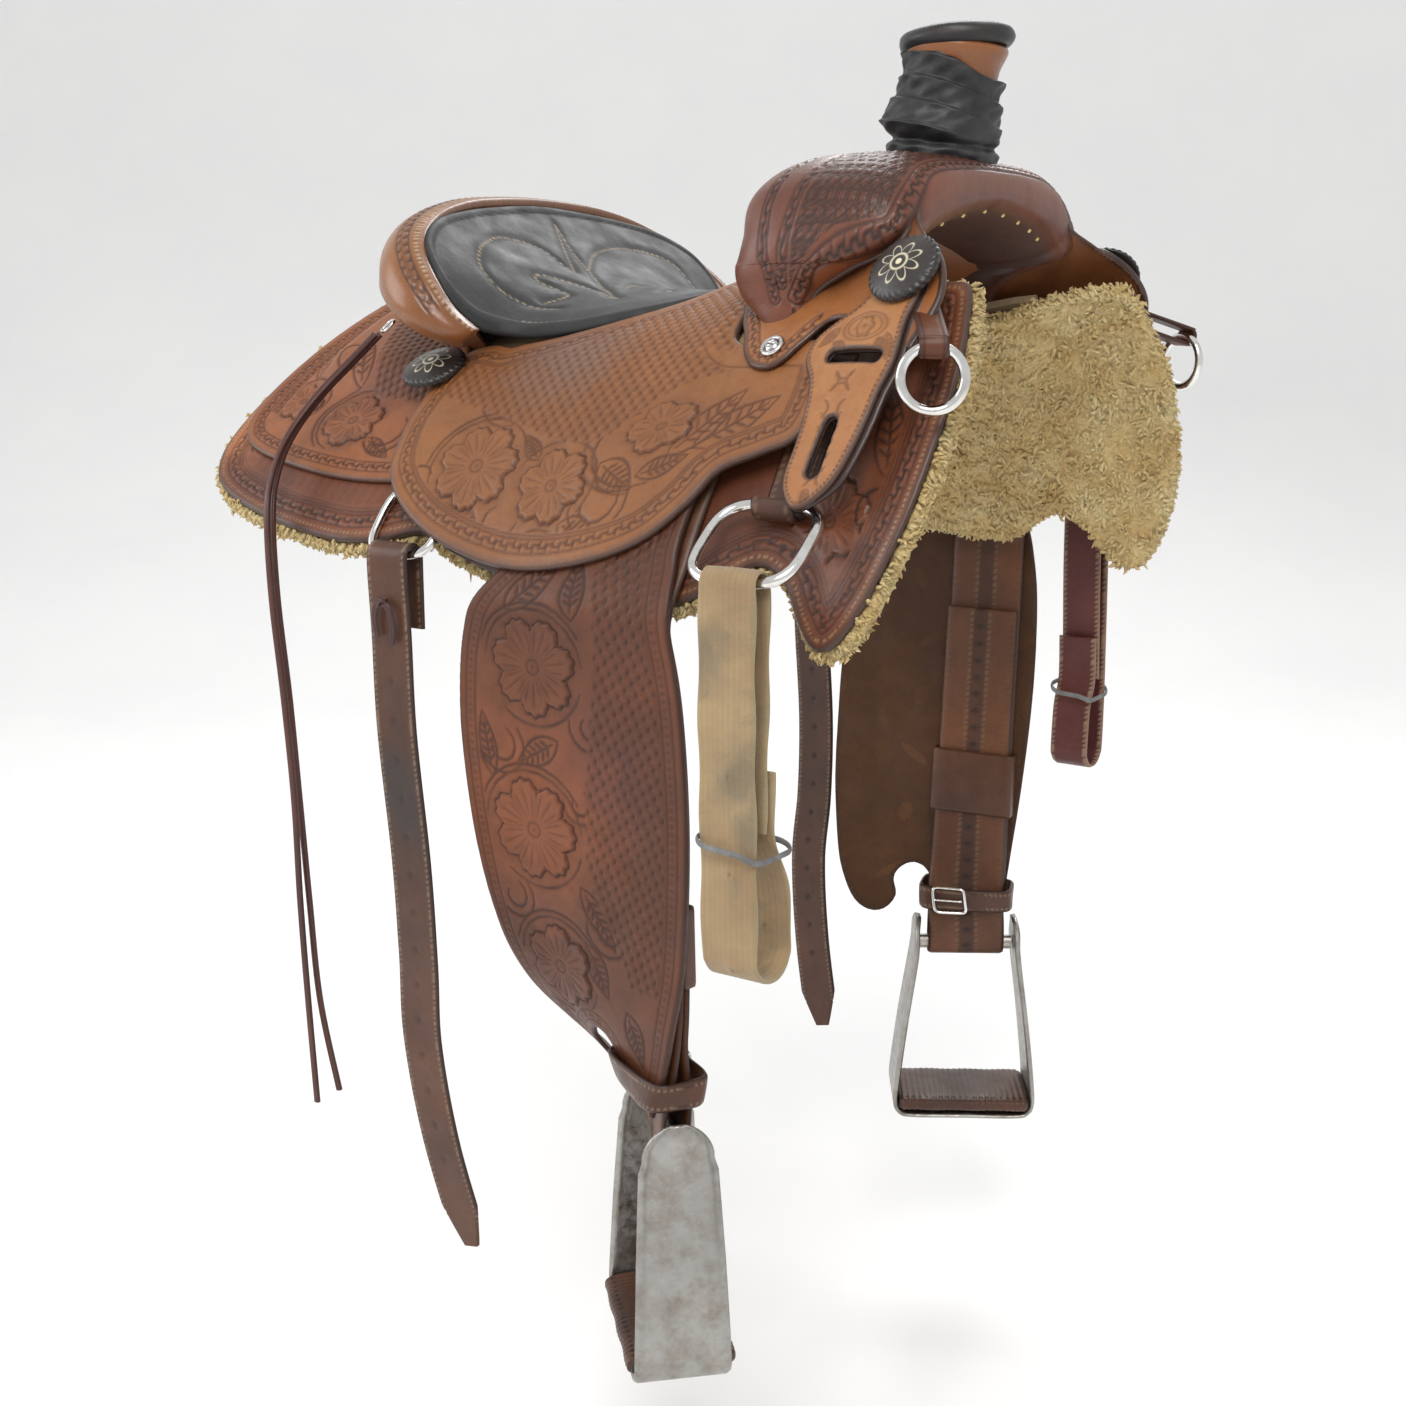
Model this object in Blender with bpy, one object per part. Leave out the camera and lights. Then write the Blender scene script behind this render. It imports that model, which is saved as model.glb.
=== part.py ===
"""A western roping saddle as it hangs on a stand. Metres; +X is the horn end, +Y the left side, +Z up.

Every leather layer on the sides lies on one curved side surface at its own height above the horse's back.
"""
import math

import bmesh
import bpy
from mathutils import Vector
from mathutils.geometry import delaunay_2d_cdt

# Layers on the side surface: heights above the fleece's inner face
FLEECE_THICK = 0.0110
SKIRT_LOW = 0.0120
SKIRT_HIGH = 0.0168
BAR_LOW = 0.0186
BAR_THICK = 0.014
BAR_TIP_THICK = 0.008
OVER_BARS = 0.0400
SEAT_THICK = 0.0050
HANG_SHELF = 0.0325
REAR_SHELF = 0.0280
JOCKEY_THICK = 0.0040

# The side surface: x, then top y and z, then the slope in degrees at the top and SIDE_LENGTH further down
SIDE_LENGTH = 0.33
STATIONS = (
    (-0.360, 0.030, 0.059, 25.0, 43.0),
    (-0.150, 0.038, 0.030, 12.0, 58.0),
    (0.000, 0.044, 0.031, 10.0, 74.0),
    (0.100, 0.050, 0.050, 20.0, 69.0),
    (0.200, 0.062, 0.095, 38.0, 66.0),
    (0.260, 0.085, 0.120, 48.0, 68.0),
    (0.340, 0.093, 0.112, 45.0, 65.0),
)
CENTRE_HALF = 0.050

# The seat's centre line: x and the height of its top, then how fast it falls off sideways
SEAT_LINE = (
    (-0.195, 0.158, 0.2),
    (-0.170, 0.131, -0.1),
    (-0.150, 0.111, -0.1),
    (-0.124, 0.095, 0.33),
    (-0.092, 0.083, 1.2),
    (-0.050, 0.0775, 1.25),
    (0.000, 0.0765, 1.1),
    (0.040, 0.079, 0.9),
    (0.120, 0.102, 0.9),
)
PAD_THICK = 0.010

# Horn
HORN_BASE = Vector((0.203, 0.0, 0.1735))
HORN_TOP = Vector((0.213, 0.0, 0.248))
CAP_RADIUS = 0.042
CAP_TILT = 10.0

# Stirrups and the leathers that carry them
STIRRUP_TURN = {"right": 45.0, "left": 32.0}
STIRRUP_WIDTH = 0.136
STIRRUP_NECK = 0.100
STIRRUP_TOP = -0.511
STIRRUP_FOOT = -0.706
ROLLER_DEPTH = 0.537
ROLLER_REACH = 0.0095
SWING_PIVOT = Vector((0.1095, 0.0, 0.020))

# Rigging rings: x, down, height, half length, half height, outward lean and the wire's radius
FRONT_RING = (0.214, 0.272, 0.0440, 0.040, 0.036, 0.45, 0.0040)
REAR_RING = (-0.089, 0.262, 0.0236, 0.031, 0.030, 0.05, 0.0033)
RING_POWER = 0.6

# Half width of the strap over each front ring, and how far the billets' folds clear the rings' wire centres
STRAP_HALF = 0.0165
BILLET_REACH = 0.0086
REAR_REACH = 0.0084

SIDES = (("right", -1), ("left", 1))

COLOURS = {
    "saddle_leather": ((0.30, 0.13, 0.06), 0.5, 0.0),
    "dark_leather": ((0.10, 0.045, 0.03), 0.5, 0.0),
    "black_leather": ((0.03, 0.03, 0.03), 0.45, 0.0),
    "burgundy_leather": ((0.12, 0.03, 0.03), 0.45, 0.0),
    "rawhide": ((0.62, 0.50, 0.33), 0.6, 0.0),
    "sheepskin": ((0.75, 0.58, 0.30), 0.95, 0.0),
    "rubber": ((0.02, 0.02, 0.02), 0.8, 0.0),
    "chrome": ((0.80, 0.80, 0.80), 0.15, 1.0),
    "cast_aluminium": ((0.50, 0.51, 0.52), 0.40, 1.0),
    "nylon_webbing": ((0.48, 0.37, 0.22), 0.8, 0.0),
}


def clear_scene():
    for thing in list(bpy.data.objects):
        bpy.data.objects.remove(thing)


def material(name):
    found = bpy.data.materials.get(name)
    if found:
        return found
    made = bpy.data.materials.new(name)
    made.use_nodes = True
    shader = made.node_tree.nodes["Principled BSDF"]
    colour, roughness, metallic = COLOURS[name]
    shader.inputs["Base Color"].default_value = (*colour, 1.0)
    shader.inputs["Roughness"].default_value = roughness
    shader.inputs["Metallic"].default_value = metallic
    return made


def add_solid(name, points, faces, finish, origin=(0, 0, 0)):
    """One closed body, its faces turned outward, with its object's origin where its joint turns."""
    mesh = bpy.data.meshes.new(name)
    start = Vector(origin)
    mesh.from_pydata([Vector(p) - start for p in points], [], faces)
    work = bmesh.new()
    work.from_mesh(mesh)
    bmesh.ops.recalc_face_normals(work, faces=work.faces)
    work.to_mesh(mesh)
    work.free()
    mesh.shade_smooth()
    mesh.set_sharp_from_angle(angle=math.radians(35))
    mesh.materials.append(material(finish))
    made = bpy.data.objects.new(name, mesh)
    made.location = start
    bpy.context.collection.objects.link(made)
    return made


def smoothstep(value):
    value = min(1.0, max(0.0, value))
    return value * value * (3.0 - 2.0 * value)


def along(table, x):
    """The columns of a table at x, on a smooth curve through its rows."""
    last = len(table) - 1
    row = 0
    while row < last - 1 and x > table[row + 1][0]:
        row += 1
    low, high = table[row], table[row + 1]
    before, after = table[max(row - 1, 0)], table[min(row + 2, last)]
    span = high[0] - low[0]
    t = (x - low[0]) / span
    out = []
    for k in range(1, len(low)):
        rate_low = (high[k] - before[k]) / (high[0] - before[0]) * span
        rate_high = (after[k] - low[k]) / (after[0] - low[0]) * span
        a = 2 * t**3 - 3 * t**2 + 1
        b = t**3 - 2 * t**2 + t
        c = -2 * t**3 + 3 * t**2
        d = t**3 - t**2
        out.append(a * low[k] + b * rate_low + c * high[k] + d * rate_high)
    return out


def side_point(side, x, down, height):
    """A point on one side: how far down the side surface from its top, and how high above it."""
    top_y, top_z, first, last = along(STATIONS, x)
    first, last = math.radians(first), math.radians(last)
    bend = (last - first) / SIDE_LENGTH
    slope = first + bend * down
    y = top_y + (math.sin(slope) - math.sin(first)) / bend + height * math.sin(slope)
    z = top_z + (math.cos(slope) - math.cos(first)) / bend + height * math.cos(slope)
    return Vector((x, side * y, z))


def down_at(x, y, height):
    """How far down the side surface a point with this y lies."""
    low, high = 0.0, SIDE_LENGTH
    for _ in range(30):
        middle = (low + high) / 2
        if side_point(1, x, middle, height).y < y:
            low = middle
        else:
            high = middle
    return low


def seat_line(x):
    return along(SEAT_LINE, x)


def seat_surface(x, y):
    """Height of the pad's top."""
    height, fall = seat_line(x)
    return height - fall * y * y


def seat_under(x, down):
    """How high the seat leather lies above the side surface: over the bars, then on the layers below."""
    shelf = REAR_SHELF + (HANG_SHELF - REAR_SHELF) * smoothstep((x + 0.135) / 0.03)
    over = OVER_BARS - 0.007 * smoothstep((x - 0.10) / 0.03)
    return shelf + (over - shelf) * smoothstep((0.20 - down) / 0.12)


def seat_point(x, across, lift):
    """The seat leather unrolled: across is 0 on the centre line and grows down each side."""
    side = 1 if across >= 0 else -1
    down = abs(across) - CENTRE_HALF
    if down >= 0:
        return side_point(side, x, down, seat_under(x, down) + lift)
    edge = side_point(side, x, 0.0, seat_under(x, 0.0) + lift)
    middle = seat_line(x)[0] - SEAT_THICK + lift
    t = abs(across) / CENTRE_HALF
    return Vector((x, edge.y * t, middle + (edge.z - middle) * t * t))


def curve(points, step, closed=False):
    """Points about a step apart on a smooth curve through the given ones. A point given twice is a corner."""
    given = [Vector(p) for p in points]
    count = len(given)
    runs = count if closed else count - 1
    out = []
    for i in range(runs):
        if closed:
            a, b, c, d = (given[(i + k) % count] for k in (-1, 0, 1, 2))
        else:
            a, b, c, d = (given[min(max(i + k, 0), count - 1)] for k in (-1, 0, 1, 2))
        length = (c - b).length
        if length < 1e-6:
            continue
        pieces = max(1, round(length / step))
        for k in range(pieces):
            t = k / pieces
            out.append(
                (
                    b * 2
                    + (c - a) * t
                    + (a * 2 - b * 5 + c * 4 - d) * t**2
                    + (b * 3 - a - c * 3 + d) * t**3
                )
                / 2
            )
    if not closed:
        out.append(given[-1])
    return out


def inside(point, loops):
    """Whether a flat point is inside an odd number of the loops."""
    x, y = point
    odd = False
    for loop in loops:
        for i, a in enumerate(loop):
            b = loop[i - 1]
            if (a[1] > y) != (b[1] > y) and x < (b[0] - a[0]) * (y - a[1]) / (b[1] - a[1]) + a[0]:
                odd = not odd
    return odd


def edge_distance(point, loops):
    here = Vector(point)
    return min((here - Vector(p)).length for loop in loops for p in loop)


def sheet(name, outline, place, finish, step=0.034, holes=(), origin=(0, 0, 0)):
    """A leather sheet: a flat outline filled with triangles, its two faces placed by place(a, b, face)."""
    loops = [[tuple(p) for p in outline]] + [[tuple(p) for p in hole] for hole in holes]
    points, edges = [], []
    for loop in loops:
        first = len(points)
        points += loop
        edges += [(first + i, first + (i + 1) % len(loop)) for i in range(len(loop))]
    low_a, high_a = min(p[0] for p in loops[0]), max(p[0] for p in loops[0])
    low_b, high_b = min(p[1] for p in loops[0]), max(p[1] for p in loops[0])
    for i in range(1, int((high_a - low_a) / step) + 1):
        for j in range(1, int((high_b - low_b) / step) + 1):
            spot = (low_a + i * step, low_b + (j + 0.5 * (i % 2)) * step)
            if inside(spot, loops) and edge_distance(spot, loops) > 0.45 * step:
                points.append(spot)
    flat, _, faces, _, _, _ = delaunay_2d_cdt([Vector(p) for p in points], edges, [], 0, 1e-6)
    kept = []
    for face in faces:
        centre = sum((flat[i] for i in face), Vector((0, 0))) / 3
        if inside(centre, loops):
            kept.append(list(face))
    used = sorted({i for face in kept for i in face})
    index = {old: new for new, old in enumerate(used)}
    kept = [[index[i] for i in face] for face in kept]
    count = len(used)
    solid = [place(flat[i].x, flat[i].y, 0) for i in used] + [place(flat[i].x, flat[i].y, 1) for i in used]
    rims = {}
    for face in kept:
        for k in range(3):
            a, b = face[k], face[(k + 1) % 3]
            if (b, a) in rims:
                del rims[(b, a)]
            else:
                rims[(a, b)] = True
    walls = [[a, b, b + count, a + count] for a, b in rims]
    backs = [[i + count for i in reversed(face)] for face in kept]
    return add_solid(name, solid, kept + backs + walls, finish, origin)


def loft(name, loops, finish, origin=(0, 0, 0), ring=False):
    """A skin through loops of equally many points, closed by its two end loops or round on itself."""
    count = len(loops[0])
    points = [p for loop in loops for p in loop]
    faces = []
    rows = len(loops) if ring else len(loops) - 1
    for i in range(rows):
        for k in range(count):
            a, b = i * count + k, i * count + (k + 1) % count
            shift = ((i + 1) % len(loops)) * count
            faces.append([a, b, shift + (k + 1) % count, shift + k])
    if not ring:
        faces.append(list(range(count))[::-1])
        faces.append([(len(loops) - 1) * count + k for k in range(count)])
    return add_solid(name, points, faces, finish, origin)


def ribbon(name, path, across, widths, thick, finish, origin=(0, 0, 0)):
    """A strap: a flat section carried along a path, its width lying along across at each point."""
    loops = []
    for i, centre in enumerate(path):
        run = (path[min(i + 1, len(path) - 1)] - path[max(i - 1, 0)]).normalized()
        wide = (across[i] - run * across[i].dot(run)).normalized() * widths[i] / 2
        flat = run.cross(wide).normalized() * thick / 2
        loops.append([centre - wide - flat, centre + wide - flat, centre + wide + flat, centre - wide + flat])
    return loft(name, loops, finish, origin)


def wire_ring(name, path, normal, radius, finish, origin=(0, 0, 0), sides=6):
    """A round wire bent into a closed loop that lies in one plane."""
    loops = []
    count = len(path)
    for i, centre in enumerate(path):
        run = (path[(i + 1) % count] - path[i - 1]).normalized()
        outward = run.cross(normal).normalized()
        loop = []
        for k in range(sides):
            angle = 2 * math.pi * k / sides
            loop.append(centre + (outward * math.cos(angle) + normal * math.sin(angle)) * radius)
        loops.append(loop)
    return loft(name, loops, finish, origin, ring=True)


def turned(name, profile, centre, axis, finish, turns=16, origin=(0, 0, 0)):
    """A round piece: radius and height pairs turned about an axis, its first and last pair on the axis."""
    axis = Vector(axis).normalized()
    first = axis.orthogonal().normalized()
    second = axis.cross(first)
    centre = Vector(centre)
    points = [centre + axis * profile[0][1]]
    for radius, height in profile[1:-1]:
        for k in range(turns):
            angle = 2 * math.pi * k / turns
            ray = first * math.cos(angle) + second * math.sin(angle)
            points.append(centre + axis * height + ray * radius)
    points.append(centre + axis * profile[-1][1])
    last = len(points) - 1
    faces = []
    for k in range(turns):
        after = (k + 1) % turns
        faces.append([0, 1 + after, 1 + k])
        base = 1 + (len(profile) - 3) * turns
        faces.append([last, base + k, base + after])
        for row in range(len(profile) - 3):
            a = 1 + row * turns
            faces.append([a + k, a + after, a + turns + after, a + turns + k])
    return add_solid(name, points, faces, finish, origin)


# ---- Lining and skirts -------------------------------------------------------------------------------------

SKIRT_OUTLINE = (
    (-0.325, -0.026),
    (-0.325, -0.026),
    (-0.334, 0.100),
    (-0.334, 0.205),
    (-0.322, 0.250),
    (-0.292, 0.273),
    (-0.230, 0.286),
    (-0.160, 0.289),
    (-0.120, 0.281),
    (-0.083, 0.266),
    (-0.048, 0.275),
    (0.010, 0.285),
    (0.070, 0.289),
    (0.130, 0.300),
    (0.163, 0.296),
    (0.200, 0.276),
    (0.226, 0.290),
    (0.242, 0.315),
    (0.258, 0.332),
    (0.276, 0.327),
    (0.296, 0.290),
    (0.312, 0.225),
    (0.316, 0.140),
    (0.304, 0.072),
    (0.288, 0.064),
    (0.255, 0.068),
    (0.200, 0.070),
    (0.160, 0.052),
    (0.120, 0.012),
    (0.060, 0.004),
    (-0.100, 0.004),
    (-0.200, 0.002),
    (-0.250, -0.020),
)


def make_skirts():
    outline = curve([(x, s, 0) for x, s in SKIRT_OUTLINE], 0.028, closed=True)
    outline = [(p.x, p.y) for p in outline]
    for word, side in SIDES:
        sheet(
            f"fleece_{word}",
            outline,
            lambda x, s, face, side=side: side_point(side, x, s, (0.0, FLEECE_THICK)[face]),
            "sheepskin",
        )
        sheet(
            f"skirt_{word}",
            outline,
            lambda x, s, face, side=side: side_point(side, x, s, (SKIRT_LOW, SKIRT_HIGH)[face]),
            "saddle_leather",
        )


def rear_under(x, s):
    over = (BAR_LOW + BAR_THICK + 0.001 - SKIRT_HIGH - 0.001) * smoothstep((0.165 - s) / 0.05)
    return SKIRT_HIGH + 0.001 + over * smoothstep((x + 0.300) / 0.035)


REAR_JOCKEY_OUTLINE = (
    (-0.314, -0.022),
    (-0.314, -0.022),
    (-0.324, 0.100),
    (-0.325, 0.175),
    (-0.314, 0.214),
    (-0.280, 0.232),
    (-0.200, 0.240),
    (-0.140, 0.236),
    (-0.124, 0.224),
    (-0.124, 0.190),
    (-0.130, 0.170),
    (-0.146, 0.162),
    (-0.168, 0.140),
    (-0.184, 0.110),
    (-0.197, 0.070),
    (-0.203, 0.020),
    (-0.204, -0.022),
    (-0.204, -0.022),
)


def make_rear_jockeys():
    outline = curve([(x, s, 0) for x, s in REAR_JOCKEY_OUTLINE], 0.024, closed=True)
    outline = [(p.x, p.y) for p in outline]
    for word, side in SIDES:
        sheet(
            f"rear_jockey_{word}",
            outline,
            lambda x, s, face, side=side: side_point(side, x, s, rear_under(x, s) + JOCKEY_THICK * face),
            "saddle_leather",
        )


# ---- Tree ----------------------------------------------------------------------------------------

BAR_OUTLINE = (
    (-0.218, 0.014),
    (-0.216, 0.070),
    (-0.180, 0.104),
    (-0.100, 0.112),
    (0.100, 0.112),
    (0.180, 0.108),
    (0.222, 0.095),
    (0.222, 0.072),
    (0.160, 0.060),
    (0.115, 0.018),
    (0.060, 0.014),
)


def bar_top(x):
    return BAR_LOW + BAR_THICK + (BAR_TIP_THICK - BAR_THICK) * smoothstep((x - 0.11) / 0.05)


def make_tree_bars():
    outline = [(p.x, p.y) for p in curve([(x, s, 0) for x, s in BAR_OUTLINE], 0.025, closed=True)]
    for word, side in SIDES:
        sheet(
            f"tree_bar_{word}",
            outline,
            lambda x, s, face, side=side: side_point(side, x, s, (BAR_LOW, bar_top(x))[face]),
            "rawhide",
            step=0.03,
        )


# The fork's arch from its right foot to the top: y, z, half height, half length along X and centre x
FORK_ARCH = (
    (0.142, 0.085, 0.014, 0.038, 0.186),
    (0.142, 0.103, 0.021, 0.056, 0.185),
    (0.125, 0.125, 0.027, 0.063, 0.184),
    (0.090, 0.140, 0.025, 0.063, 0.186),
    (0.045, 0.146, 0.019, 0.062, 0.188),
    (0.000, 0.149, 0.016, 0.061, 0.189),
)
ROUND_POWER = 0.75
COVER_GAP = 0.0022
COVER_THICK = 0.0040


def fork_rows():
    half = curve([(y, z, b) for y, z, b, _, _ in FORK_ARCH], 0.025)
    other = curve([(a, x, 0) for _, _, _, a, x in FORK_ARCH], 1.0)
    rows = []
    for i, p in enumerate(half):
        t = i / (len(half) - 1) * (len(other) - 1)
        k = min(int(t), len(other) - 2)
        mix = other[k].lerp(other[k + 1], t - k)
        rows.append((-p.x, p.y, p.z, mix.x, mix.y))
    return rows + [(-y, z, b, a, x) for y, z, b, a, x in reversed(rows[:-1])]


def fork_loop(rows, i, grow, sides=14):
    """The arch's section at one row, swollen by grow, square to the arch."""
    y, z, half_height, half_length, x = rows[i]
    before, after = rows[max(i - 1, 0)], rows[min(i + 1, len(rows) - 1)]
    run = Vector((0, after[0] - before[0], after[1] - before[1])).normalized()
    outward = Vector((0, -run.z, run.y))
    loop = []
    for k in range(sides):
        angle = 2 * math.pi * k / sides
        c, s = math.cos(angle), math.sin(angle)
        along_x = math.copysign(abs(c) ** ROUND_POWER, c) * (half_length + grow)
        along_out = math.copysign(abs(s) ** ROUND_POWER, s) * (half_height + grow)
        loop.append(Vector((x + along_x, y, z)) + outward * along_out)
    return loop


def make_fork():
    rows = fork_rows()
    loft("tree_fork", [fork_loop(rows, i, 0.0) for i in range(len(rows))], "rawhide")
    outer = [fork_loop(rows, i, COVER_GAP + COVER_THICK) for i in range(len(rows))]
    inner = [fork_loop(rows, i, COVER_GAP) for i in range(len(rows))]
    loft("swell_cover", outer + inner[::-1], "saddle_leather", ring=True)


def make_horn():
    up = (HORN_TOP - HORN_BASE).normalized()
    tall = (HORN_TOP - HORN_BASE).length
    post = ((0, -0.001), (0.0165, -0.001), (0.0165, tall - 0.012), (0, tall - 0.012))
    turned("horn_post", post, HORN_BASE, up, "rawhide")
    neck_low, neck_high = tall - 0.030, tall - 0.0115
    neck = [(0.0176, neck_low), (0.0335, neck_low), (0.0365, neck_high), (0.0176, neck_high)]
    tube("horn_neck_leather", neck, HORN_BASE, up, "saddle_leather")
    wrap = [
        (0.0176, 0.004),
        (0.036, 0.004),
        (0.043, 0.012),
        (0.044, 0.024),
        (0.038, 0.034),
        (0.038, neck_low - 0.001),
        (0.0176, neck_low - 0.001),
    ]
    tube("horn_wrap", wrap, HORN_BASE, up, "rubber")
    tilt = math.radians(CAP_TILT)
    cap_axis = Vector((-math.sin(tilt), 0, math.cos(tilt)))
    cap = (
        (0, -0.004),
        (CAP_RADIUS - 0.006, -0.004),
        (CAP_RADIUS, 0.001),
        (CAP_RADIUS - 0.001, 0.007),
        (CAP_RADIUS - 0.008, 0.011),
        (0, 0.011),
    )
    turned("horn_cap", cap, HORN_TOP + up * 0.004, cap_axis, "black_leather", turns=24)


def tube(name, section, base, axis, finish, turns=18):
    """A ring: a closed section of radius and height pairs turned about an axis that it doesn't reach."""
    axis = Vector(axis).normalized()
    first = axis.orthogonal().normalized()
    second = axis.cross(first)
    loops = []
    for k in range(turns):
        angle = 2 * math.pi * k / turns
        ray = first * math.cos(angle) + second * math.sin(angle)
        loops.append([Vector(base) + axis * height + ray * radius for radius, height in section])
    return loft(name, loops, finish, ring=True)


# ---- Seat and cantle -----------------------------------------------------------------------------

PAD_EDGE = (
    (0.066, 0.000),
    (0.060, 0.040),
    (0.036, 0.088),
    (-0.005, 0.120),
    (-0.045, 0.143),
    (-0.086, 0.158),
    (-0.103, 0.178),
    (-0.120, 0.189),
    (-0.139, 0.184),
    (-0.153, 0.169),
    (-0.165, 0.144),
    (-0.173, 0.111),
    (-0.179, 0.068),
    (-0.183, 0.000),
)
ROLL_INNER = (
    (-0.098, 0.182, 0.046),
    (-0.110, 0.195, 0.062),
    (-0.125, 0.1975, 0.083),
    (-0.143, 0.189, 0.102),
    (-0.158, 0.173, 0.119),
    (-0.170, 0.147, 0.133),
    (-0.178, 0.113, 0.144),
    (-0.184, 0.069, 0.151),
    (-0.188, 0.000, 0.154),
)
ROLL_OUTER = (
    (-0.108, 0.198, 0.034),
    (-0.126, 0.212, 0.040),
    (-0.150, 0.219, 0.055),
    (-0.174, 0.211, 0.073),
    (-0.192, 0.193, 0.089),
    (-0.210, 0.163, 0.104),
    (-0.223, 0.120, 0.114),
    (-0.231, 0.070, 0.120),
    (-0.235, 0.000, 0.123),
)
ROLL_STEPS = 26


def whole(points):
    """A half outline from its first point to the centre line, then its mirror image back."""
    return list(points) + [(p[0], -p[1], *p[2:]) for p in reversed(points[:-1])]


def pad_outline(gap):
    half = [(x, y) for x, y in PAD_EDGE]
    loop = half + [(x, -y) for x, y in reversed(half[1:-1])]
    flat = curve([(x, y, 0) for x, y in loop], 0.016, closed=True)
    out = []
    for i, p in enumerate(flat):
        run = (flat[(i + 1) % len(flat)] - flat[i - 1]).normalized()
        out.append((p.x - run.y * gap, p.y + run.x * gap))
    return out


def make_seat():
    sheet(
        "seat_pad",
        pad_outline(0.0),
        lambda x, y, face: Vector((x, y, seat_surface(x, y) - PAD_THICK * (1 - face))),
        "black_leather",
        step=0.030,
    )
    plan = (
        (0.095, 0.0),
        (0.090, 0.036),
        (0.0, 0.040),
        (-0.06, 0.060),
        (-0.120, 0.090),
        (-0.150, 0.085),
        (-0.156, 0.0),
    )
    ground = curve([(x, y, 0) for x, y in plan], 0.024)
    loop = [(p.x, p.y) for p in ground] + [(p.x, -p.y) for p in reversed(ground[1:-1])]
    sheet(
        "ground_seat",
        loop,
        lambda x, y, face: Vector((x, y, seat_surface(x, y) - PAD_THICK - 0.0055 + 0.004 * face)),
        "rawhide",
    )
    edge = [
        (0.118, 0.0),
        (0.118, 0.060),
        (0.118, 0.130),
        (0.132, 0.152),
        (0.175, 0.160),
        (0.216, 0.168),
        (0.216, 0.168),
        (0.222, 0.205),
        (0.216, 0.242),
        (0.190, 0.254),
        (0.163, 0.264),
        (0.148, 0.287),
        (0.120, 0.313),
        (0.070, 0.328),
        (0.000, 0.331),
        (-0.070, 0.318),
        (-0.116, 0.288),
        (-0.135, 0.246),
        (-0.137, 0.215),
        (-0.128, 0.196),
        (-0.104, 0.184),
        (-0.094, 0.181),
    ]
    notch = []
    for x, y in reversed(pad_half(0.0022)):
        across = CENTRE_HALF + down_at(x, y, OVER_BARS + 0.003)
        inner = side_point(1, x, 0.0, OVER_BARS + 0.003).y
        if y < inner:
            across = CENTRE_HALF * y / inner
        notch.append((x, across))
    half = [(p.x, p.y) for p in curve([(x, w, 0) for x, w in edge], 0.018)] + notch
    outline = half + [(x, -w) for x, w in reversed(half) if w > 1e-6]
    sheet(
        "seat_leather",
        outline,
        lambda x, w, face: seat_point(x, w, SEAT_THICK * face),
        "saddle_leather",
        step=0.030,
    )


def pad_half(gap):
    """The left half of the pad's front edge, from the centre line to its widest point, moved out by gap."""
    points = [(x, y) for x, y in pad_outline(-gap) if y > -1e-6 and x > -0.088]
    points.sort(key=lambda p: math.atan2(p[1], p[0] + 0.088))
    return points


# The cantle roll's section: how far out across it, and how far above the line between its edges
ROLL_SHAPE = (
    (0.02, 0.001),
    (0.20, 0.010),
    (0.50, 0.014),
    (0.80, 0.010),
    (1.00, 0.000),
    (0.92, -0.007),
    (0.50, -0.009),
    (0.20, -0.006),
    (0.02, -0.002),
)

# Where the cantle's back stands on the bars
CANTLE_FOOT = (
    (-0.128, 0.141),
    (-0.146, 0.147),
    (-0.165, 0.145),
    (-0.182, 0.132),
    (-0.1945, 0.102),
    (-0.2000, 0.058),
    (-0.2015, 0.000),
)
CANTLE_FIRST = 4
BACK_THICK = 0.0036
CANTLE_DEEP = 0.014


def make_cantle():
    inner = resample([Vector(p) for p in whole(ROLL_INNER)], ROLL_STEPS)
    outer = resample([Vector(p) for p in whole(ROLL_OUTER)], ROLL_STEPS)
    loops, tops = [], []
    for i, (a, b) in enumerate(zip(inner, outer)):
        run = (inner[min(i + 1, ROLL_STEPS)] - inner[max(i - 1, 0)]).normalized()
        out = b - a
        up = run.cross(out).normalized()
        if up.z < 0:
            up = -up
        loops.append([a + out * t + up * lift for t, lift in ROLL_SHAPE])
        tops.append((a + out * 0.20 - up * 0.0085, a + out * 0.12 - up * 0.0078))
    loft("cantle_roll", loops, "saddle_leather")
    used = range(CANTLE_FIRST, ROLL_STEPS + 1 - CANTLE_FIRST)
    foot = resample([Vector((x, y, 0)) for x, y in whole(CANTLE_FOOT)], len(used) - 1)
    backs, walls = [], []
    for i, k in enumerate(used):
        low = foot[i]
        out = plan_normal(foot, i)
        backs.append(rungs(stand(low), tops[k][0]) + rungs(tops[k][1], stand(low - out * BACK_THICK)))
        rim_out = plan_normal(inner, k)
        high_a = inner[k] - rim_out * (0.008 + CANTLE_DEEP)
        high_b = inner[k] - rim_out * 0.008
        low_a = low - out * (0.0105 + CANTLE_DEEP)
        low_b = low - out * 0.0105
        walls.append(rungs(stand(low_b), under_pad(high_b)) + rungs(under_pad(high_a), stand(low_a)))
    loft("cantle_back", backs, "saddle_leather")
    loft("tree_cantle", walls, "rawhide")


def rungs(first, last):
    return [first.lerp(last, k / 3) for k in range(4)]


def plan_normal(line, i):
    """The outward direction in plan at one point of a line round the cantle."""
    run = line[min(i + 1, len(line) - 1)] - line[max(i - 1, 0)]
    out = Vector((run.y, -run.x, 0)).normalized()
    return out if out.dot(Vector((line[i].x + 0.09, line[i].y, 0))) > 0 else -out


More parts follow.
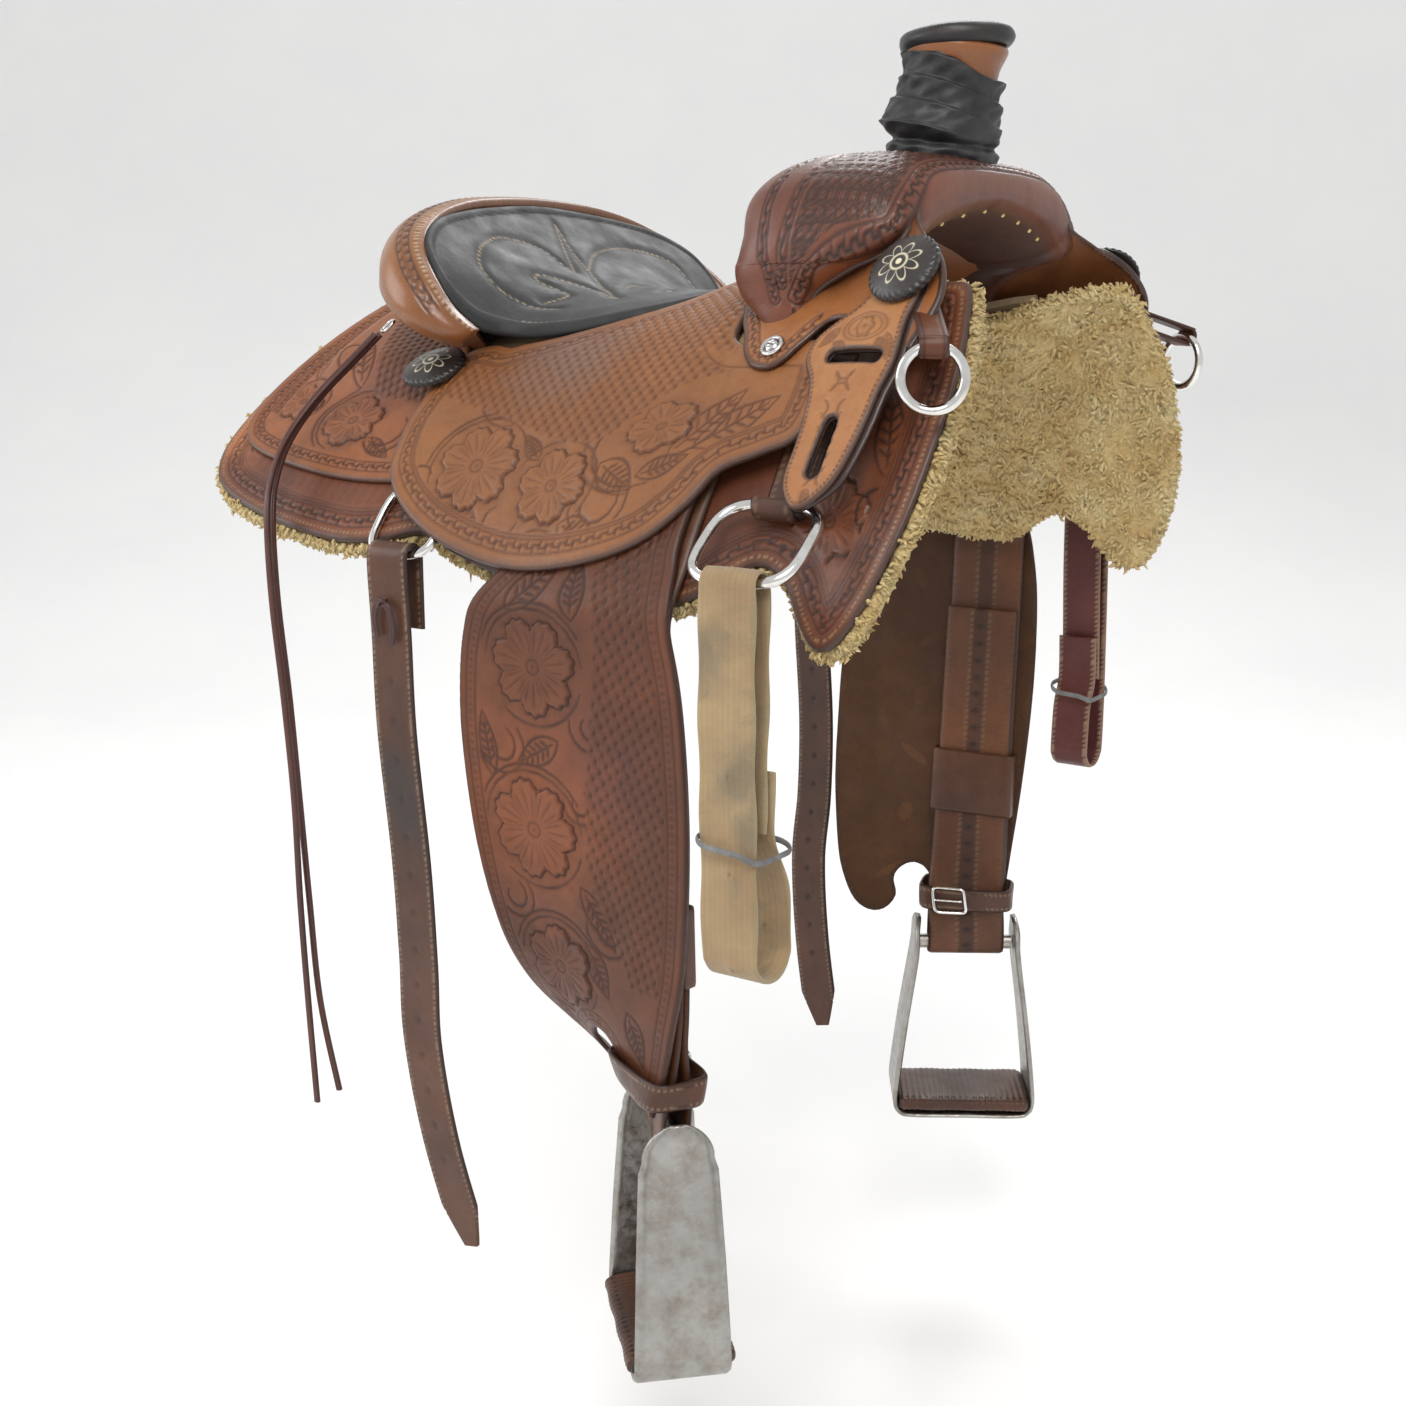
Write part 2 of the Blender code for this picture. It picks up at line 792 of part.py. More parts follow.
def stand(point):
    """The point of the plan, just above the bar."""
    high = bar_top(point.x)
    down = down_at(point.x, abs(point.y), high)
    return Vector((point.x, point.y, side_point(1, point.x, down, high).z + 0.0015))


def under_pad(point):
    """The point of the plan, just under the seat pad."""
    return Vector((point.x, point.y, seat_surface(point.x, point.y) - PAD_THICK - 0.0015))


def resample(points, pieces):
    fine = curve(points, 0.002)
    lengths = [0.0]
    for a, b in zip(fine, fine[1:]):
        lengths.append(lengths[-1] + (b - a).length)
    out = []
    k = 0
    for i in range(pieces + 1):
        want = lengths[-1] * i / pieces
        while k < len(fine) - 2 and lengths[k + 1] < want:
            k += 1
        span = lengths[k + 1] - lengths[k]
        out.append(fine[k].lerp(fine[k + 1], (want - lengths[k]) / span if span else 0.0))
    return out


# ---- Rigging -------------------------------------------------------------------------------------


def ring_path(side, ring, count=18):
    """Points of a rigging ring that leans out from the side surface, its normal, and its top and foot."""
    x, down, height, long, tall, lean, _ = ring
    centre = side_point(side, x, down, height)
    below = side_point(side, x, down + 0.01, height + 0.01 * lean)
    above = side_point(side, x, down - 0.01, height - 0.01 * lean)
    slope = (below - above).normalized()
    forward = Vector((1, 0, 0))
    normal = forward.cross(slope).normalized()
    path = []
    for k in range(count):
        angle = 2 * math.pi * (k + 0.5) / count
        c, s = math.cos(angle), math.sin(angle)
        across = math.copysign(abs(c) ** RING_POWER, c) * long
        downward = math.copysign(abs(s) ** RING_POWER, s) * tall
        path.append(centre + forward * across + slope * downward)
    return path, normal, centre - slope * tall, centre + slope * tall


def side_loft(name, side, xs, profile, finish):
    """A strap across the side surface: a closed profile of down and height pairs, carried along x."""
    loft(name, [[side_point(side, x, s, h) for s, h in profile] for x in xs], finish)


def make_rigging():
    for word, side in SIDES:
        for place, ring in (("front", FRONT_RING), ("rear", REAR_RING)):
            path, normal, top, _ = ring_path(side, ring)
            wire_ring(f"{place}_rigging_ring_{word}", path, normal, ring[6], "chrome", origin=top)
        x, down, height, _, tall, lean, wire = FRONT_RING
        top = down - tall / math.hypot(1, lean)
        level = height - lean * tall / math.hypot(1, lean)
        under = SKIRT_HIGH + 0.0018
        reach = wire + 0.0038
        skin = 0.0035
        low_face = [(0.118 + 0.020 * k, under) for k in range(5)]
        high_face = [(s, under + skin) for s, _ in reversed(low_face)]
        outer, inner = [], []
        for k in range(7):
            angle = -math.pi * 0.62 + math.pi * 1.12 * k / 6
            c, s = math.cos(angle), math.sin(angle)
            outer.append((top + c * (reach + skin), level + s * (reach + skin)))
            inner.append((top + c * reach, level + s * reach))
        side_loft(
            f"front_rigging_strap_{word}",
            side,
            [x + STRAP_HALF * k / 2 for k in range(-2, 3)],
            low_face + outer + inner[::-1] + high_face,
            "saddle_leather",
        )


def strap_drop(side, x, lean, y, z_top, z_low, gap, radius):
    """A strap folded over a ring's wire and doubled in one long loop: its middle line, from end to end."""
    y_out = y + 2 * radius
    points = [(x, y, z_top - 0.060), (x, y, z_top - 0.015)]
    for k in range(7):
        angle = math.pi * k / 6
        points.append((x, y + radius - radius * math.cos(angle), z_top + radius * math.sin(angle)))
    points.append((x, y_out, z_top - 0.015))
    points.append((x + lean * 0.3, y_out + 0.006, z_top - 0.090))
    points.append((x + lean * 0.9, y_out + 0.008, z_low + gap / 2 + 0.05))
    for k in range(7):
        angle = math.pi * k / 6
        shift = gap / 2 * (math.cos(angle) - 1)
        points.append((x + lean, y_out + 0.008 + shift, z_low + gap / 2 - gap / 2 * math.sin(angle)))
    points.append((x + lean * 0.9, y_out + 0.008 - gap * 0.9, z_low + gap / 2 + 0.05))
    points.append((x + lean * 0.4, y + 0.002, z_top - 0.105))
    points.append((x + lean * 0.3, y + 0.0065, z_top - 0.085))
    return [Vector((p.x, side * p.y, p.z)) for p in curve(points, 0.016)]


def band(name, side, x, y_low, y_high, z, half_width, finish, origin):
    """A rubber band round a folded strap."""
    points = []
    corner = 0.004
    centre_y = (y_low + y_high) / 2
    half_deep = (y_high - y_low) / 2
    for k in range(16):
        angle = 2 * math.pi * k / 16
        c, s = math.cos(angle), math.sin(angle)
        points.append(
            Vector(
                (
                    x + math.copysign(abs(c) ** 0.35, c) * (half_width + corner),
                    side * (centre_y + math.copysign(abs(s) ** 0.35, s) * (half_deep + corner)),
                    z,
                )
            )
        )
    wire_ring(name, points, Vector((0, 0, 1)), 0.0015, finish, origin=origin, sides=4)


# Name, side word and sign, x, forward lean, width, lowest z, the loop's width across, finish
FRONT_STRAPS = (
    ("off_billet", "right", -1, 0.216, 0.008, 0.044, -0.378, 0.043, "nylon_webbing"),
    ("latigo", "left", 1, 0.208, 0.000, 0.036, -0.358, 0.036, "burgundy_leather"),
)
BAND_DEPTH = -0.290


def make_front_straps():
    for name, word, side, x, lean, width, low, gap, finish in FRONT_STRAPS:
        _, _, _, foot = ring_path(side, FRONT_RING)
        y = abs(foot.y) - BILLET_REACH
        path = strap_drop(side, x, lean, y, foot.z, low, gap, BILLET_REACH)
        across = [Vector((1, 0, 0))] * len(path)
        ribbon(f"{name}_{word}", path, across, [width] * len(path), 0.0034, finish, origin=foot)
        depths = [abs(p.y) for p in path if abs(p.z - BAND_DEPTH) < 0.03]
        low_y, high_y = min(depths) - 0.003, max(depths) + 0.003
        middle = x + lean * 0.8
        band(f"{name}_band_{word}", side, middle, low_y, high_y, BAND_DEPTH, width / 2, "rubber", foot)


def make_rear_billets():
    for word, side in SIDES:
        _, _, _, foot = ring_path(side, REAR_RING)
        radius = REAR_REACH
        y = abs(foot.y) - radius
        x = REAR_RING[0]
        points = [(x, y, foot.z - 0.055), (x, y, foot.z - 0.015)]
        for k in range(7):
            angle = math.pi * k / 6
            points.append((x, y + radius - radius * math.cos(angle), foot.z + radius * math.sin(angle)))
        y_out = y + 2 * radius
        points += [
            (x, y_out, foot.z - 0.015),
            (x + 0.002, y_out, -0.175),
            (x + 0.004, y_out, -0.250),
            (x + 0.014, y_out - 0.002, -0.350),
            (x + 0.016, y_out - 0.005, -0.430),
            (x + 0.008, y_out - 0.010, -0.500),
            (x + 0.020, y_out - 0.017, -0.585),
            (x + 0.040, y_out - 0.027, -0.672),
        ]
        path = [Vector((p.x, side * p.y, p.z)) for p in curve(points, 0.016)]
        widths = [0.040] * len(path)
        widths[-1] = 0.012
        widths[-2] = 0.028
        across = [Vector((1, 0, 0))] * len(path)
        ribbon(f"rear_billet_{word}", path, across, widths, 0.0036, "dark_leather", origin=foot)


# ---- Fenders, stirrup leathers and stirrups ------------------------------------------------------

HANG_TOP = -0.165
LEATHER_LINE = (
    (0.165, 0.1180, 0.2860),
    (0.220, 0.1185, 0.2825),
    (0.300, 0.1188, 0.2765),
    (0.380, 0.1190, 0.2700),
    (0.450, 0.1190, 0.2645),
    (0.520, 0.1185, 0.2590),
    (0.720, 0.1185, 0.2590),
)
TWIST = (
    (0.165, 0.00),
    (0.300, 0.04),
    (0.400, 0.17),
    (0.450, 0.36),
    (0.485, 0.62),
    (0.510, 0.90),
    (0.530, 1.00),
    (0.720, 1.00),
)
FLAP_START = 0.215
FLAP_EDGE = 0.278
FLAP_FREE = 0.330
LEATHER_END = 0.215


def hang_point(side, across, depth, outward):
    """A point on the hanging leathers: forward across them, down to a depth below the origin, and outward."""
    x, y = along(LEATHER_LINE, depth)
    turn = math.radians(along(TWIST, depth)[0] * STIRRUP_TURN["right" if side < 0 else "left"])
    x += across * math.cos(turn) - outward * math.sin(turn)
    y += across * math.sin(turn) + outward * math.cos(turn)
    return Vector((x, side * y, -depth))


def leather_point(side, across, length, low, outward):
    """A point on a leather that leaves the side surface at the skirt's edge: length runs from FLAP_START."""
    down = FLAP_START + length
    if down <= FLAP_EDGE:
        return side_point(side, LEATHER_LINE[0][1] + across, down, low)
    depth = -HANG_TOP + (down - FLAP_FREE)
    if down >= FLAP_FREE:
        return hang_point(side, across, depth, outward)
    t = (down - FLAP_EDGE) / (FLAP_FREE - FLAP_EDGE)
    start = side_point(side, LEATHER_LINE[0][1] + across, down, low)
    finish = hang_point(side, across, depth, outward)
    return start.lerp(finish, smoothstep(t))


FENDER_OUTLINE = (
    (-0.070, 0.012),
    (-0.070, 0.012),
    (-0.110, 0.060),
    (-0.140, 0.110),
    (-0.152, 0.170),
    (-0.154, 0.240),
    (-0.152, 0.310),
    (-0.146, 0.365),
    (-0.132, 0.416),
    (-0.112, 0.450),
    (-0.094, 0.463),
    (-0.078, 0.462),
    (-0.068, 0.450),
    (-0.073, 0.435),
    (-0.067, 0.424),
    (-0.056, 0.419),
    (-0.045, 0.422),
    (-0.037, 0.431),
    (-0.0355, 0.440),
    (-0.0355, 0.458),
    (-0.0355, 0.458),
    (0.0355, 0.458),
    (0.0355, 0.458),
    (0.038, 0.400),
    (0.045, 0.330),
    (0.050, 0.240),
    (0.048, 0.150),
    (0.038, 0.090),
    (0.030, 0.050),
    (0.030, 0.012),
    (0.030, 0.012),
)
FENDER_LOW = 0.0060
FENDER_THICK = 0.0045
LEATHER_THICK = 0.0040
LEATHER_HALF = 0.036
HOBBLE_TOP = 0.4800
HOBBLE_FOOT = 0.5012


def make_fenders():
    outline = [(p.x, p.y) for p in curve([(u, v, 0) for u, v in FENDER_OUTLINE], 0.020, closed=True)]
    for word, side in SIDES:
        pivot = Vector((SWING_PIVOT.x, side * 0.15, SWING_PIVOT.z))

        def place(u, v, face, side=side):
            more = 0.0025 * smoothstep((v - 0.34) / 0.06) + FENDER_THICK * face
            return leather_point(side, u, v, 0.0260 + FENDER_THICK * face, FENDER_LOW + more)

        sheet(f"fender_{word}", outline, place, "saddle_leather", step=0.030, origin=pivot)
        make_leather(word, side, pivot)
        make_hobble(word, side, pivot)


def make_leather(word, side, pivot):
    """The stirrup leather: from under the seat down to the roller, round it, and back up inside."""
    spots = []
    for k in range(7):
        length = 0.118 - FLAP_START + (FLAP_EDGE - 0.118) * k / 6
        spots.append((length, 0.0, 0.0))
    last = ROLLER_DEPTH - 0.05
    first = FLAP_EDGE - FLAP_START
    for k in range(1, 24):
        spots.append((first + (last - first) * k / 23, 0.0, 0.0))
    for k in range(1, 6):
        angle = math.pi * k / 5
        spots.append((last + ROLLER_REACH * math.sin(angle), ROLLER_REACH * (math.cos(angle) - 1), angle))
    for k in range(1, 15):
        length = last - (ROLLER_DEPTH - LEATHER_END) * k / 14
        inward = 2 * ROLLER_REACH + (0.0065 - 2 * ROLLER_REACH) * smoothstep((0.47 - length) / 0.07)
        spots.append((length, -inward, math.pi))
    loops = []
    for length, outward, angle in spots:
        loop = []
        for face, order in ((-1, 1), (1, -1)):
            for k in range(4)[::order]:
                u = LEATHER_HALF * (-1 + 2 * k / 3)
                thick = LEATHER_THICK / 2 * face
                reach = outward + thick * math.cos(angle)
                loop.append(leather_point(side, u, length + thick * math.sin(angle), 0.0208 + thick, reach))
        loops.append(loop)
    loft(f"stirrup_leather_{word}", loops, "dark_leather", origin=pivot)


def make_hobble(word, side, pivot):
    """The strap buckled round the leathers just above the stirrup."""
    loops = []
    for k in range(20):
        angle = 2 * math.pi * k / 20
        c, s = math.cos(angle), math.sin(angle)
        u = math.copysign(abs(c) ** 0.4, c) * 0.0415
        w = math.copysign(abs(s) ** 0.4, s) * 0.0226
        scale = 1 + 0.0032 / math.hypot(u, w)
        loops.append(
            [
                hang_point(side, u, HOBBLE_TOP, w - 0.0040),
                hang_point(side, u * scale, HOBBLE_TOP, w * scale - 0.0040),
                hang_point(side, u * scale, HOBBLE_FOOT, w * scale - 0.0040),
                hang_point(side, u, HOBBLE_FOOT, w - 0.0040),
            ]
        )
    loft(f"hobble_strap_{word}", loops, "saddle_leather", origin=pivot, ring=True)


def stirrup_axes(word, side):
    turn = math.radians(STIRRUP_TURN[word])
    tread = Vector((math.cos(turn), side * math.sin(turn), 0))
    depth = Vector((-math.sin(turn), side * math.cos(turn), 0))
    roller = hang_point(side, 0.0, ROLLER_DEPTH, -ROLLER_REACH)
    return tread, depth, Vector((roller.x, roller.y, 0))


def make_stirrups():
    thick = 0.005
    for word, side in SIDES:
        tread, depth, centre = stirrup_axes(word, side)
        pivot = centre - Vector((0, 0, ROLLER_DEPTH))
        half_neck, half_foot = STIRRUP_NECK / 2, STIRRUP_WIDTH / 2
        outer = [
            (half_neck - 0.002, STIRRUP_TOP, 0.020),
            (half_neck, STIRRUP_TOP - 0.010, 0.027),
            (half_neck + 0.001, STIRRUP_TOP - 0.035, 0.0295),
            (half_foot - 0.008, STIRRUP_TOP - 0.100, 0.0330),
            (half_foot, STIRRUP_FOOT + 0.020, 0.0360),
            (half_foot, STIRRUP_FOOT, 0.0360),
        ]
        inner = [
            (half_foot - thick, STIRRUP_FOOT + 0.005, 0.0360),
            (half_foot - thick, STIRRUP_FOOT + 0.022, 0.0360),
            (half_foot - 0.008 - thick, STIRRUP_TOP - 0.100, 0.0330),
            (half_neck + 0.001 - thick, STIRRUP_TOP - 0.035, 0.0295),
            (half_neck - thick, STIRRUP_TOP - 0.010, 0.027),
            (half_neck - 0.002 - thick, STIRRUP_TOP, 0.020),
        ]
        section = outer + [(-a, z, d) for a, z, d in reversed(outer)]
        section += [(-a, z, d) for a, z, d in reversed(inner)] + inner
        near = [centre + tread * a - depth * d + Vector((0, 0, z)) for a, z, d in section]
        far = [centre + tread * a + depth * d + Vector((0, 0, z)) for a, z, d in section]
        count = len(section)
        half = len(outer)
        faces = []
        for k in range(count):
            after = (k + 1) % count
            faces.append([k, after, after + count, k + count])
        ends = []
        for k in range(half - 1):
            ends.append([k, k + 1, count - 2 - k, count - 1 - k])
        for k in range(half - 1):
            a = half + k
            ends.append([a, a + 1, 3 * half - 2 - k, 3 * half - 1 - k])
        ends.append([half - 1, half, 3 * half - 1, 3 * half])
        faces += [face[::-1] for face in ends] + [[i + count for i in face] for face in ends]
        add_solid(f"stirrup_frame_{word}", near + far, faces, "cast_aluminium", origin=pivot)
        half_tread = half_foot - thick - 0.0012
        deep = 0.040
        box = []
        for a in (-half_tread, half_tread):
            loop = []
            for d, z in (
                (-deep, 0.0065),
                (-deep - 0.002, 0.014),
                (-deep + 0.004, 0.023),
                (deep - 0.004, 0.023),
                (deep + 0.002, 0.014),
                (deep, 0.0065),
            ):
                loop.append(centre + tread * a + depth * d + Vector((0, 0, STIRRUP_FOOT + z)))
            box.append(loop)
        loft(f"stirrup_tread_{word}", box, "saddle_leather", origin=pivot)
        spool = half_neck - thick - 0.0012
        turned(
            f"stirrup_roller_{word}",
            ((0, -spool), (0.0070, -spool), (0.0070, spool), (0, spool)),
            pivot,
            tread,
            "chrome",
            turns=16,
            origin=pivot,
        )


# ---- Fittings ------------------------------------------------------------------------------------

CONCHO = (
    (0, 0.0),
    (0.0245, 0.0),
    (0.0260, 0.003),
    (0.0230, 0.006),
    (0.0190, 0.007),
    (0.0100, 0.0095),
    (0, 0.0100),
)
FRONT_CONCHO = (0.268, 0.080, 0.0470)
REAR_CONCHO = (-0.142, 0.137, 0.0410)
KEEPER_OUTLINE = (
    (0.252, 0.072),
    (0.240, 0.098),
    (0.216, 0.113),
    (0.205, 0.125),
    (0.205, 0.141),
    (0.216, 0.159),
    (0.221, 0.182),
    (0.222, 0.205),
    (0.221, 0.226),
    (0.225, 0.239),
    (0.236, 0.249),
    (0.251, 0.242),
    (0.263, 0.227),
    (0.271, 0.203),
    (0.275, 0.183),
    (0.277, 0.167),
    (0.281, 0.151),
    (0.282, 0.137),
    (0.281, 0.115),
    (0.283, 0.088),
    (0.268, 0.062),
)
KEEPER_LOW = 0.0420
KEEPER_THICK = 0.0042
DEE_CENTRE = Vector((0.316, 0.226, 0.019))
DEE_RADIUS = 0.0205
DEE_WIRE = 0.0026
DEE_NORMAL = Vector((0.45, 0.89, 0.0))


def surface_normal(side, x, down):
    forward = side_point(side, x + 0.01, down, 0.03) - side_point(side, x - 0.01, down, 0.03)
    slope = side_point(side, x, down + 0.01, 0.03) - side_point(side, x, down - 0.01, 0.03)
    normal = forward.cross(slope).normalized()
    return normal if normal.z > 0 else -normal


def slot(centre, half_long, half_wide, turn):
    """A keeper's slot: a narrow outline with round ends."""
    points = []
    turn = math.radians(turn)
    for end in (0, 1):
        for k in range(4):
            angle = -math.pi / 2 + math.pi * k / 3 + math.pi * end
            a = math.cos(angle) * half_wide + (half_long - half_wide) * (1 if end == 0 else -1)
            b = math.sin(angle) * half_wide
            across = a * math.cos(turn) - b * math.sin(turn)
            down = a * math.sin(turn) + b * math.cos(turn)
            points.append((centre[0] + across, centre[1] + down))
    return points


def make_fittings():
    keeper = [(p.x, p.y) for p in curve([(x, s, 0) for x, s in KEEPER_OUTLINE], 0.012, closed=True)]
    slots = [slot((0.247, 0.141), 0.0225, 0.0045, 4), slot((0.2445, 0.2065), 0.0210, 0.0050, 96)]
    for word, side in SIDES:
        for place, (x, down, height) in (("front", FRONT_CONCHO), ("rear", REAR_CONCHO)):
            centre = side_point(side, x, down, height)
            normal = surface_normal(side, x, down)
            turned(f"concho_{place}_{word}", CONCHO, centre, normal, "black_leather", turns=18)
        sheet(
            f"latigo_keeper_{word}",
            keeper,
            lambda x, s, face, side=side: side_point(side, x, s, KEEPER_LOW + KEEPER_THICK * face),
            "saddle_leather",
            step=0.016,
            holes=slots,
        )
        normal = Vector((DEE_NORMAL.x, side * DEE_NORMAL.y, 0)).normalized()
        centre = Vector((DEE_CENTRE.x, side * DEE_CENTRE.y, DEE_CENTRE.z))
        flat = normal.cross(Vector((0, 0, 1))).normalized()
        path = []
        for k in range(18):
            angle = 2 * math.pi * k / 18
            ray = flat * math.cos(angle) + Vector((0, 0, 1)) * math.sin(angle)
            path.append(centre + ray * DEE_RADIUS)
        hinge = centre + Vector((0, 0, DEE_RADIUS))
        wire_ring(f"breast_dee_{word}", path, normal, DEE_WIRE, "chrome", origin=hinge)
        make_chafe(word, side, hinge, normal, flat)
        screw = side_point(side, 0.168, 0.118, 0.0450)
        turned(
            f"swell_screw_{word}",
            ((0, 0), (0.0085, 0), (0.0095, 0.0012), (0.0080, 0.0028), (0.0045, 0.0035), (0, 0.0038)),
            screw,
            surface_normal(side, 0.168, 0.118),
            "chrome",
            turns=14,
        )


def make_chafe(word, side, hinge, normal, flat):
    """The folded strap that holds the breast ring: two layers, joined round the ring's wire."""
    anchor = side_point(side, 0.286, 0.105, 0.0290)
    run = (hinge - anchor).normalized()
    wide = flat if flat.dot(Vector((1, 0, 0))) > 0 else -flat
    lift = run.cross(wide).normalized()
    if lift.dot(normal) < 0:
        lift = -lift
    length = (hinge - anchor).length
    inner = DEE_WIRE + 0.0020
    outer = inner + 0.0028
    profile = [(-0.006, inner), (length - 0.002, inner)]
    for k in range(1, 6):
        angle = math.pi / 2 - math.pi * k / 6
        profile.append((length + inner * math.cos(angle), inner * math.sin(angle)))
    profile += [(length - 0.002, -inner), (-0.006, -inner), (-0.006, -outer), (length - 0.002, -outer)]
    for k in range(1, 6):
        angle = -math.pi / 2 + math.pi * k / 6
        profile.append((length + outer * math.cos(angle), outer * math.sin(angle)))
    profile += [(length - 0.002, outer), (-0.006, outer)]
    loops = []
    for k in range(3):
        shift = wide * (k - 1) * 0.0060
        loops.append([anchor + run * a + lift * b + shift for a, b in profile])
    loft(f"breast_chafe_{word}", loops, "saddle_leather")


# The right rear string: two laces from the clip, lying on the skirt and hanging past it
STRING_CLIP = Vector((-0.1785, 0.200, 0.0484))
STRING_TOP = (
    (-0.1850, 0.2080, 0.0420),
    (-0.2037, 0.2200, 0.0203),
    (-0.2206, 0.2420, -0.0076),
    (-0.2268, 0.2680, -0.0378),
    (-0.2190, 0.2930, -0.0668),
    (-0.2096, 0.3080, -0.0974),
    (-0.2042, 0.3120, -0.1588),
    (-0.1963, 0.3120, -0.2371),
    (-0.1927, 0.3100, -0.3180),
)
STRING_ENDS = (
    ("outer", 0.0, ((-0.1936, 0.3080, -0.4016), (-0.1921, 0.3060, -0.4869), (-0.1893, 0.3040, -0.5742))),
    ("inner", -0.0070, ((-0.1900, 0.3015, -0.4016), (-0.1880, 0.2970, -0.4869), (-0.1757, 0.2920, -0.5647))),
)
STRING_DIAMETER = 0.0050


def make_saddle_string():
    """Two laces, each a round tube here, side by side from the clip down."""
    for word, inward, end in STRING_ENDS:
        points = [(x + inward * 0.2, -y - inward, z) for x, y, z in STRING_TOP]
        points += [(x, -y, z) for x, y, z in end]
        path = curve(points, STRING_DIAMETER * 3)
        line = bpy.data.curves.new(f"saddle_string_{word}_right", "CURVE")
        line.dimensions = "3D"
        line.bevel_depth = STRING_DIAMETER / 2
        line.bevel_resolution = 2
        line.use_fill_caps = True
        spline = line.splines.new("POLY")
        spline.points.add(len(path) - 1)
        for point, place in zip(spline.points, path):
            point.co = (*place, 1.0)
        line.materials.append(material("burgundy_leather"))
        bpy.context.collection.objects.link(bpy.data.objects.new(line.name, line))


def make_string_clips():
    for word, side in SIDES:
        clip = Vector((STRING_CLIP.x, side * STRING_CLIP.y, STRING_CLIP.z))
        down = Vector((-0.5, side * 0.5, -0.7)).normalized()
        across = Vector((0.8, side * 0.6, 0)).normalized()
        path = []
        for k in range(14):
            angle = 2 * math.pi * k / 14
            c, s = math.cos(angle), math.sin(angle)
            flat = math.copysign(abs(c) ** 0.5, c) * 0.0095
            tall = math.copysign(abs(s) ** 0.5, s) * 0.0060
            path.append(clip + across * flat + down * tall)
        wire_ring(f"string_clip_{word}", path, across.cross(down).normalized(), 0.0013, "chrome", sides=6)


def main():
    clear_scene()
    make_skirts()
    make_rear_jockeys()
    make_tree_bars()
    make_fork()
    make_horn()
    make_seat()
    make_cantle()
    make_rigging()
    make_front_straps()
    make_rear_billets()
    make_fenders()
    make_stirrups()
    make_fittings()
    make_string_clips()
    make_saddle_string()


main()
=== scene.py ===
"""The looks of a western saddle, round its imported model. Metres; +X is the horn end, +Y the left side."""
import math

import bpy
import numpy as np
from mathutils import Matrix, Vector


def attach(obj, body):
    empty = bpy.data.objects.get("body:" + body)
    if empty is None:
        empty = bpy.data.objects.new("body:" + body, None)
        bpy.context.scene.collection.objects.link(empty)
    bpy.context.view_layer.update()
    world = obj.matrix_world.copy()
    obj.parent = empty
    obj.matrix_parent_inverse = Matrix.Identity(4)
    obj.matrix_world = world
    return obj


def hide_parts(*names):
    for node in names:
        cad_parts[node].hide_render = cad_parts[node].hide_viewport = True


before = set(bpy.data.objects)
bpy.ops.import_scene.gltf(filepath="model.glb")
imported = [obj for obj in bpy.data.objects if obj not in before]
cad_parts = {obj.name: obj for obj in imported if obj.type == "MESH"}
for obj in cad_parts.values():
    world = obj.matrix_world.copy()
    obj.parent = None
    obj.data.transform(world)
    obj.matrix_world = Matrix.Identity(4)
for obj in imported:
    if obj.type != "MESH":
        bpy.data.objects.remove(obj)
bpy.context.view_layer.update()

SIDES = (("right", -1), ("left", 1))
# Spacing of the points on a leather sheet, on the side towards the camera and on the other
NEAR_STEP = 0.0012
FAR_STEP = 0.003

FLEECE_THICK = 0.0110
SKIRT_LOW = 0.0120
SKIRT_HIGH = 0.0168
REAR_SHELF = 0.0280
HANG_SHELF = 0.0325
OVER_BARS = 0.0400
SIDE_LENGTH = 0.33
CENTRE_HALF = 0.050

# The side surface: x, then top y and z, then the slope in degrees at the top and SIDE_LENGTH further down
STATIONS = (
    (-0.360, 0.030, 0.059, 25.0, 43.0), (-0.150, 0.038, 0.030, 12.0, 58.0),
    (0.000, 0.044, 0.031, 10.0, 74.0), (0.100, 0.050, 0.050, 20.0, 69.0),
    (0.200, 0.062, 0.095, 38.0, 66.0), (0.260, 0.085, 0.120, 48.0, 68.0),
    (0.340, 0.093, 0.112, 45.0, 65.0),
)
# The seat's centre line: x and the height of its top, then how fast it falls off sideways
SEAT_LINE = (
    (-0.195, 0.158, 0.2), (-0.170, 0.131, -0.1), (-0.150, 0.111, -0.1), (-0.124, 0.095, 0.33),
    (-0.092, 0.083, 1.2), (-0.050, 0.0775, 1.25), (0.000, 0.0765, 1.1), (0.040, 0.079, 0.9),
    (0.120, 0.102, 0.9),
)


# ---- Shapes ----


def smoothstep(value):
    value = np.clip(value, 0.0, 1.0)
    return value * value * (3.0 - 2.0 * value)


def dome(x):
    """A half circle's height: 1 over its middle, 0 at x = 1 and beyond."""
    return np.sqrt(np.clip(1 - x**2, 0, 1))


def rounded(wave, power):
    """A sine or cosine squared up toward the corners of a rounded box."""
    return np.sign(wave) * np.abs(wave) ** power


def together(*values):
    """These numbers or arrays, all as arrays of one shape."""
    return np.broadcast_arrays(*(np.asarray(value, float) for value in values))


def round_angles(count):
    return np.arange(count) * 2 * math.pi / count


def run_length(path):
    """How far along a path each of its points is."""
    return np.concatenate(([0.0], np.cumsum(np.linalg.norm(np.diff(path, axis=0), axis=1))))


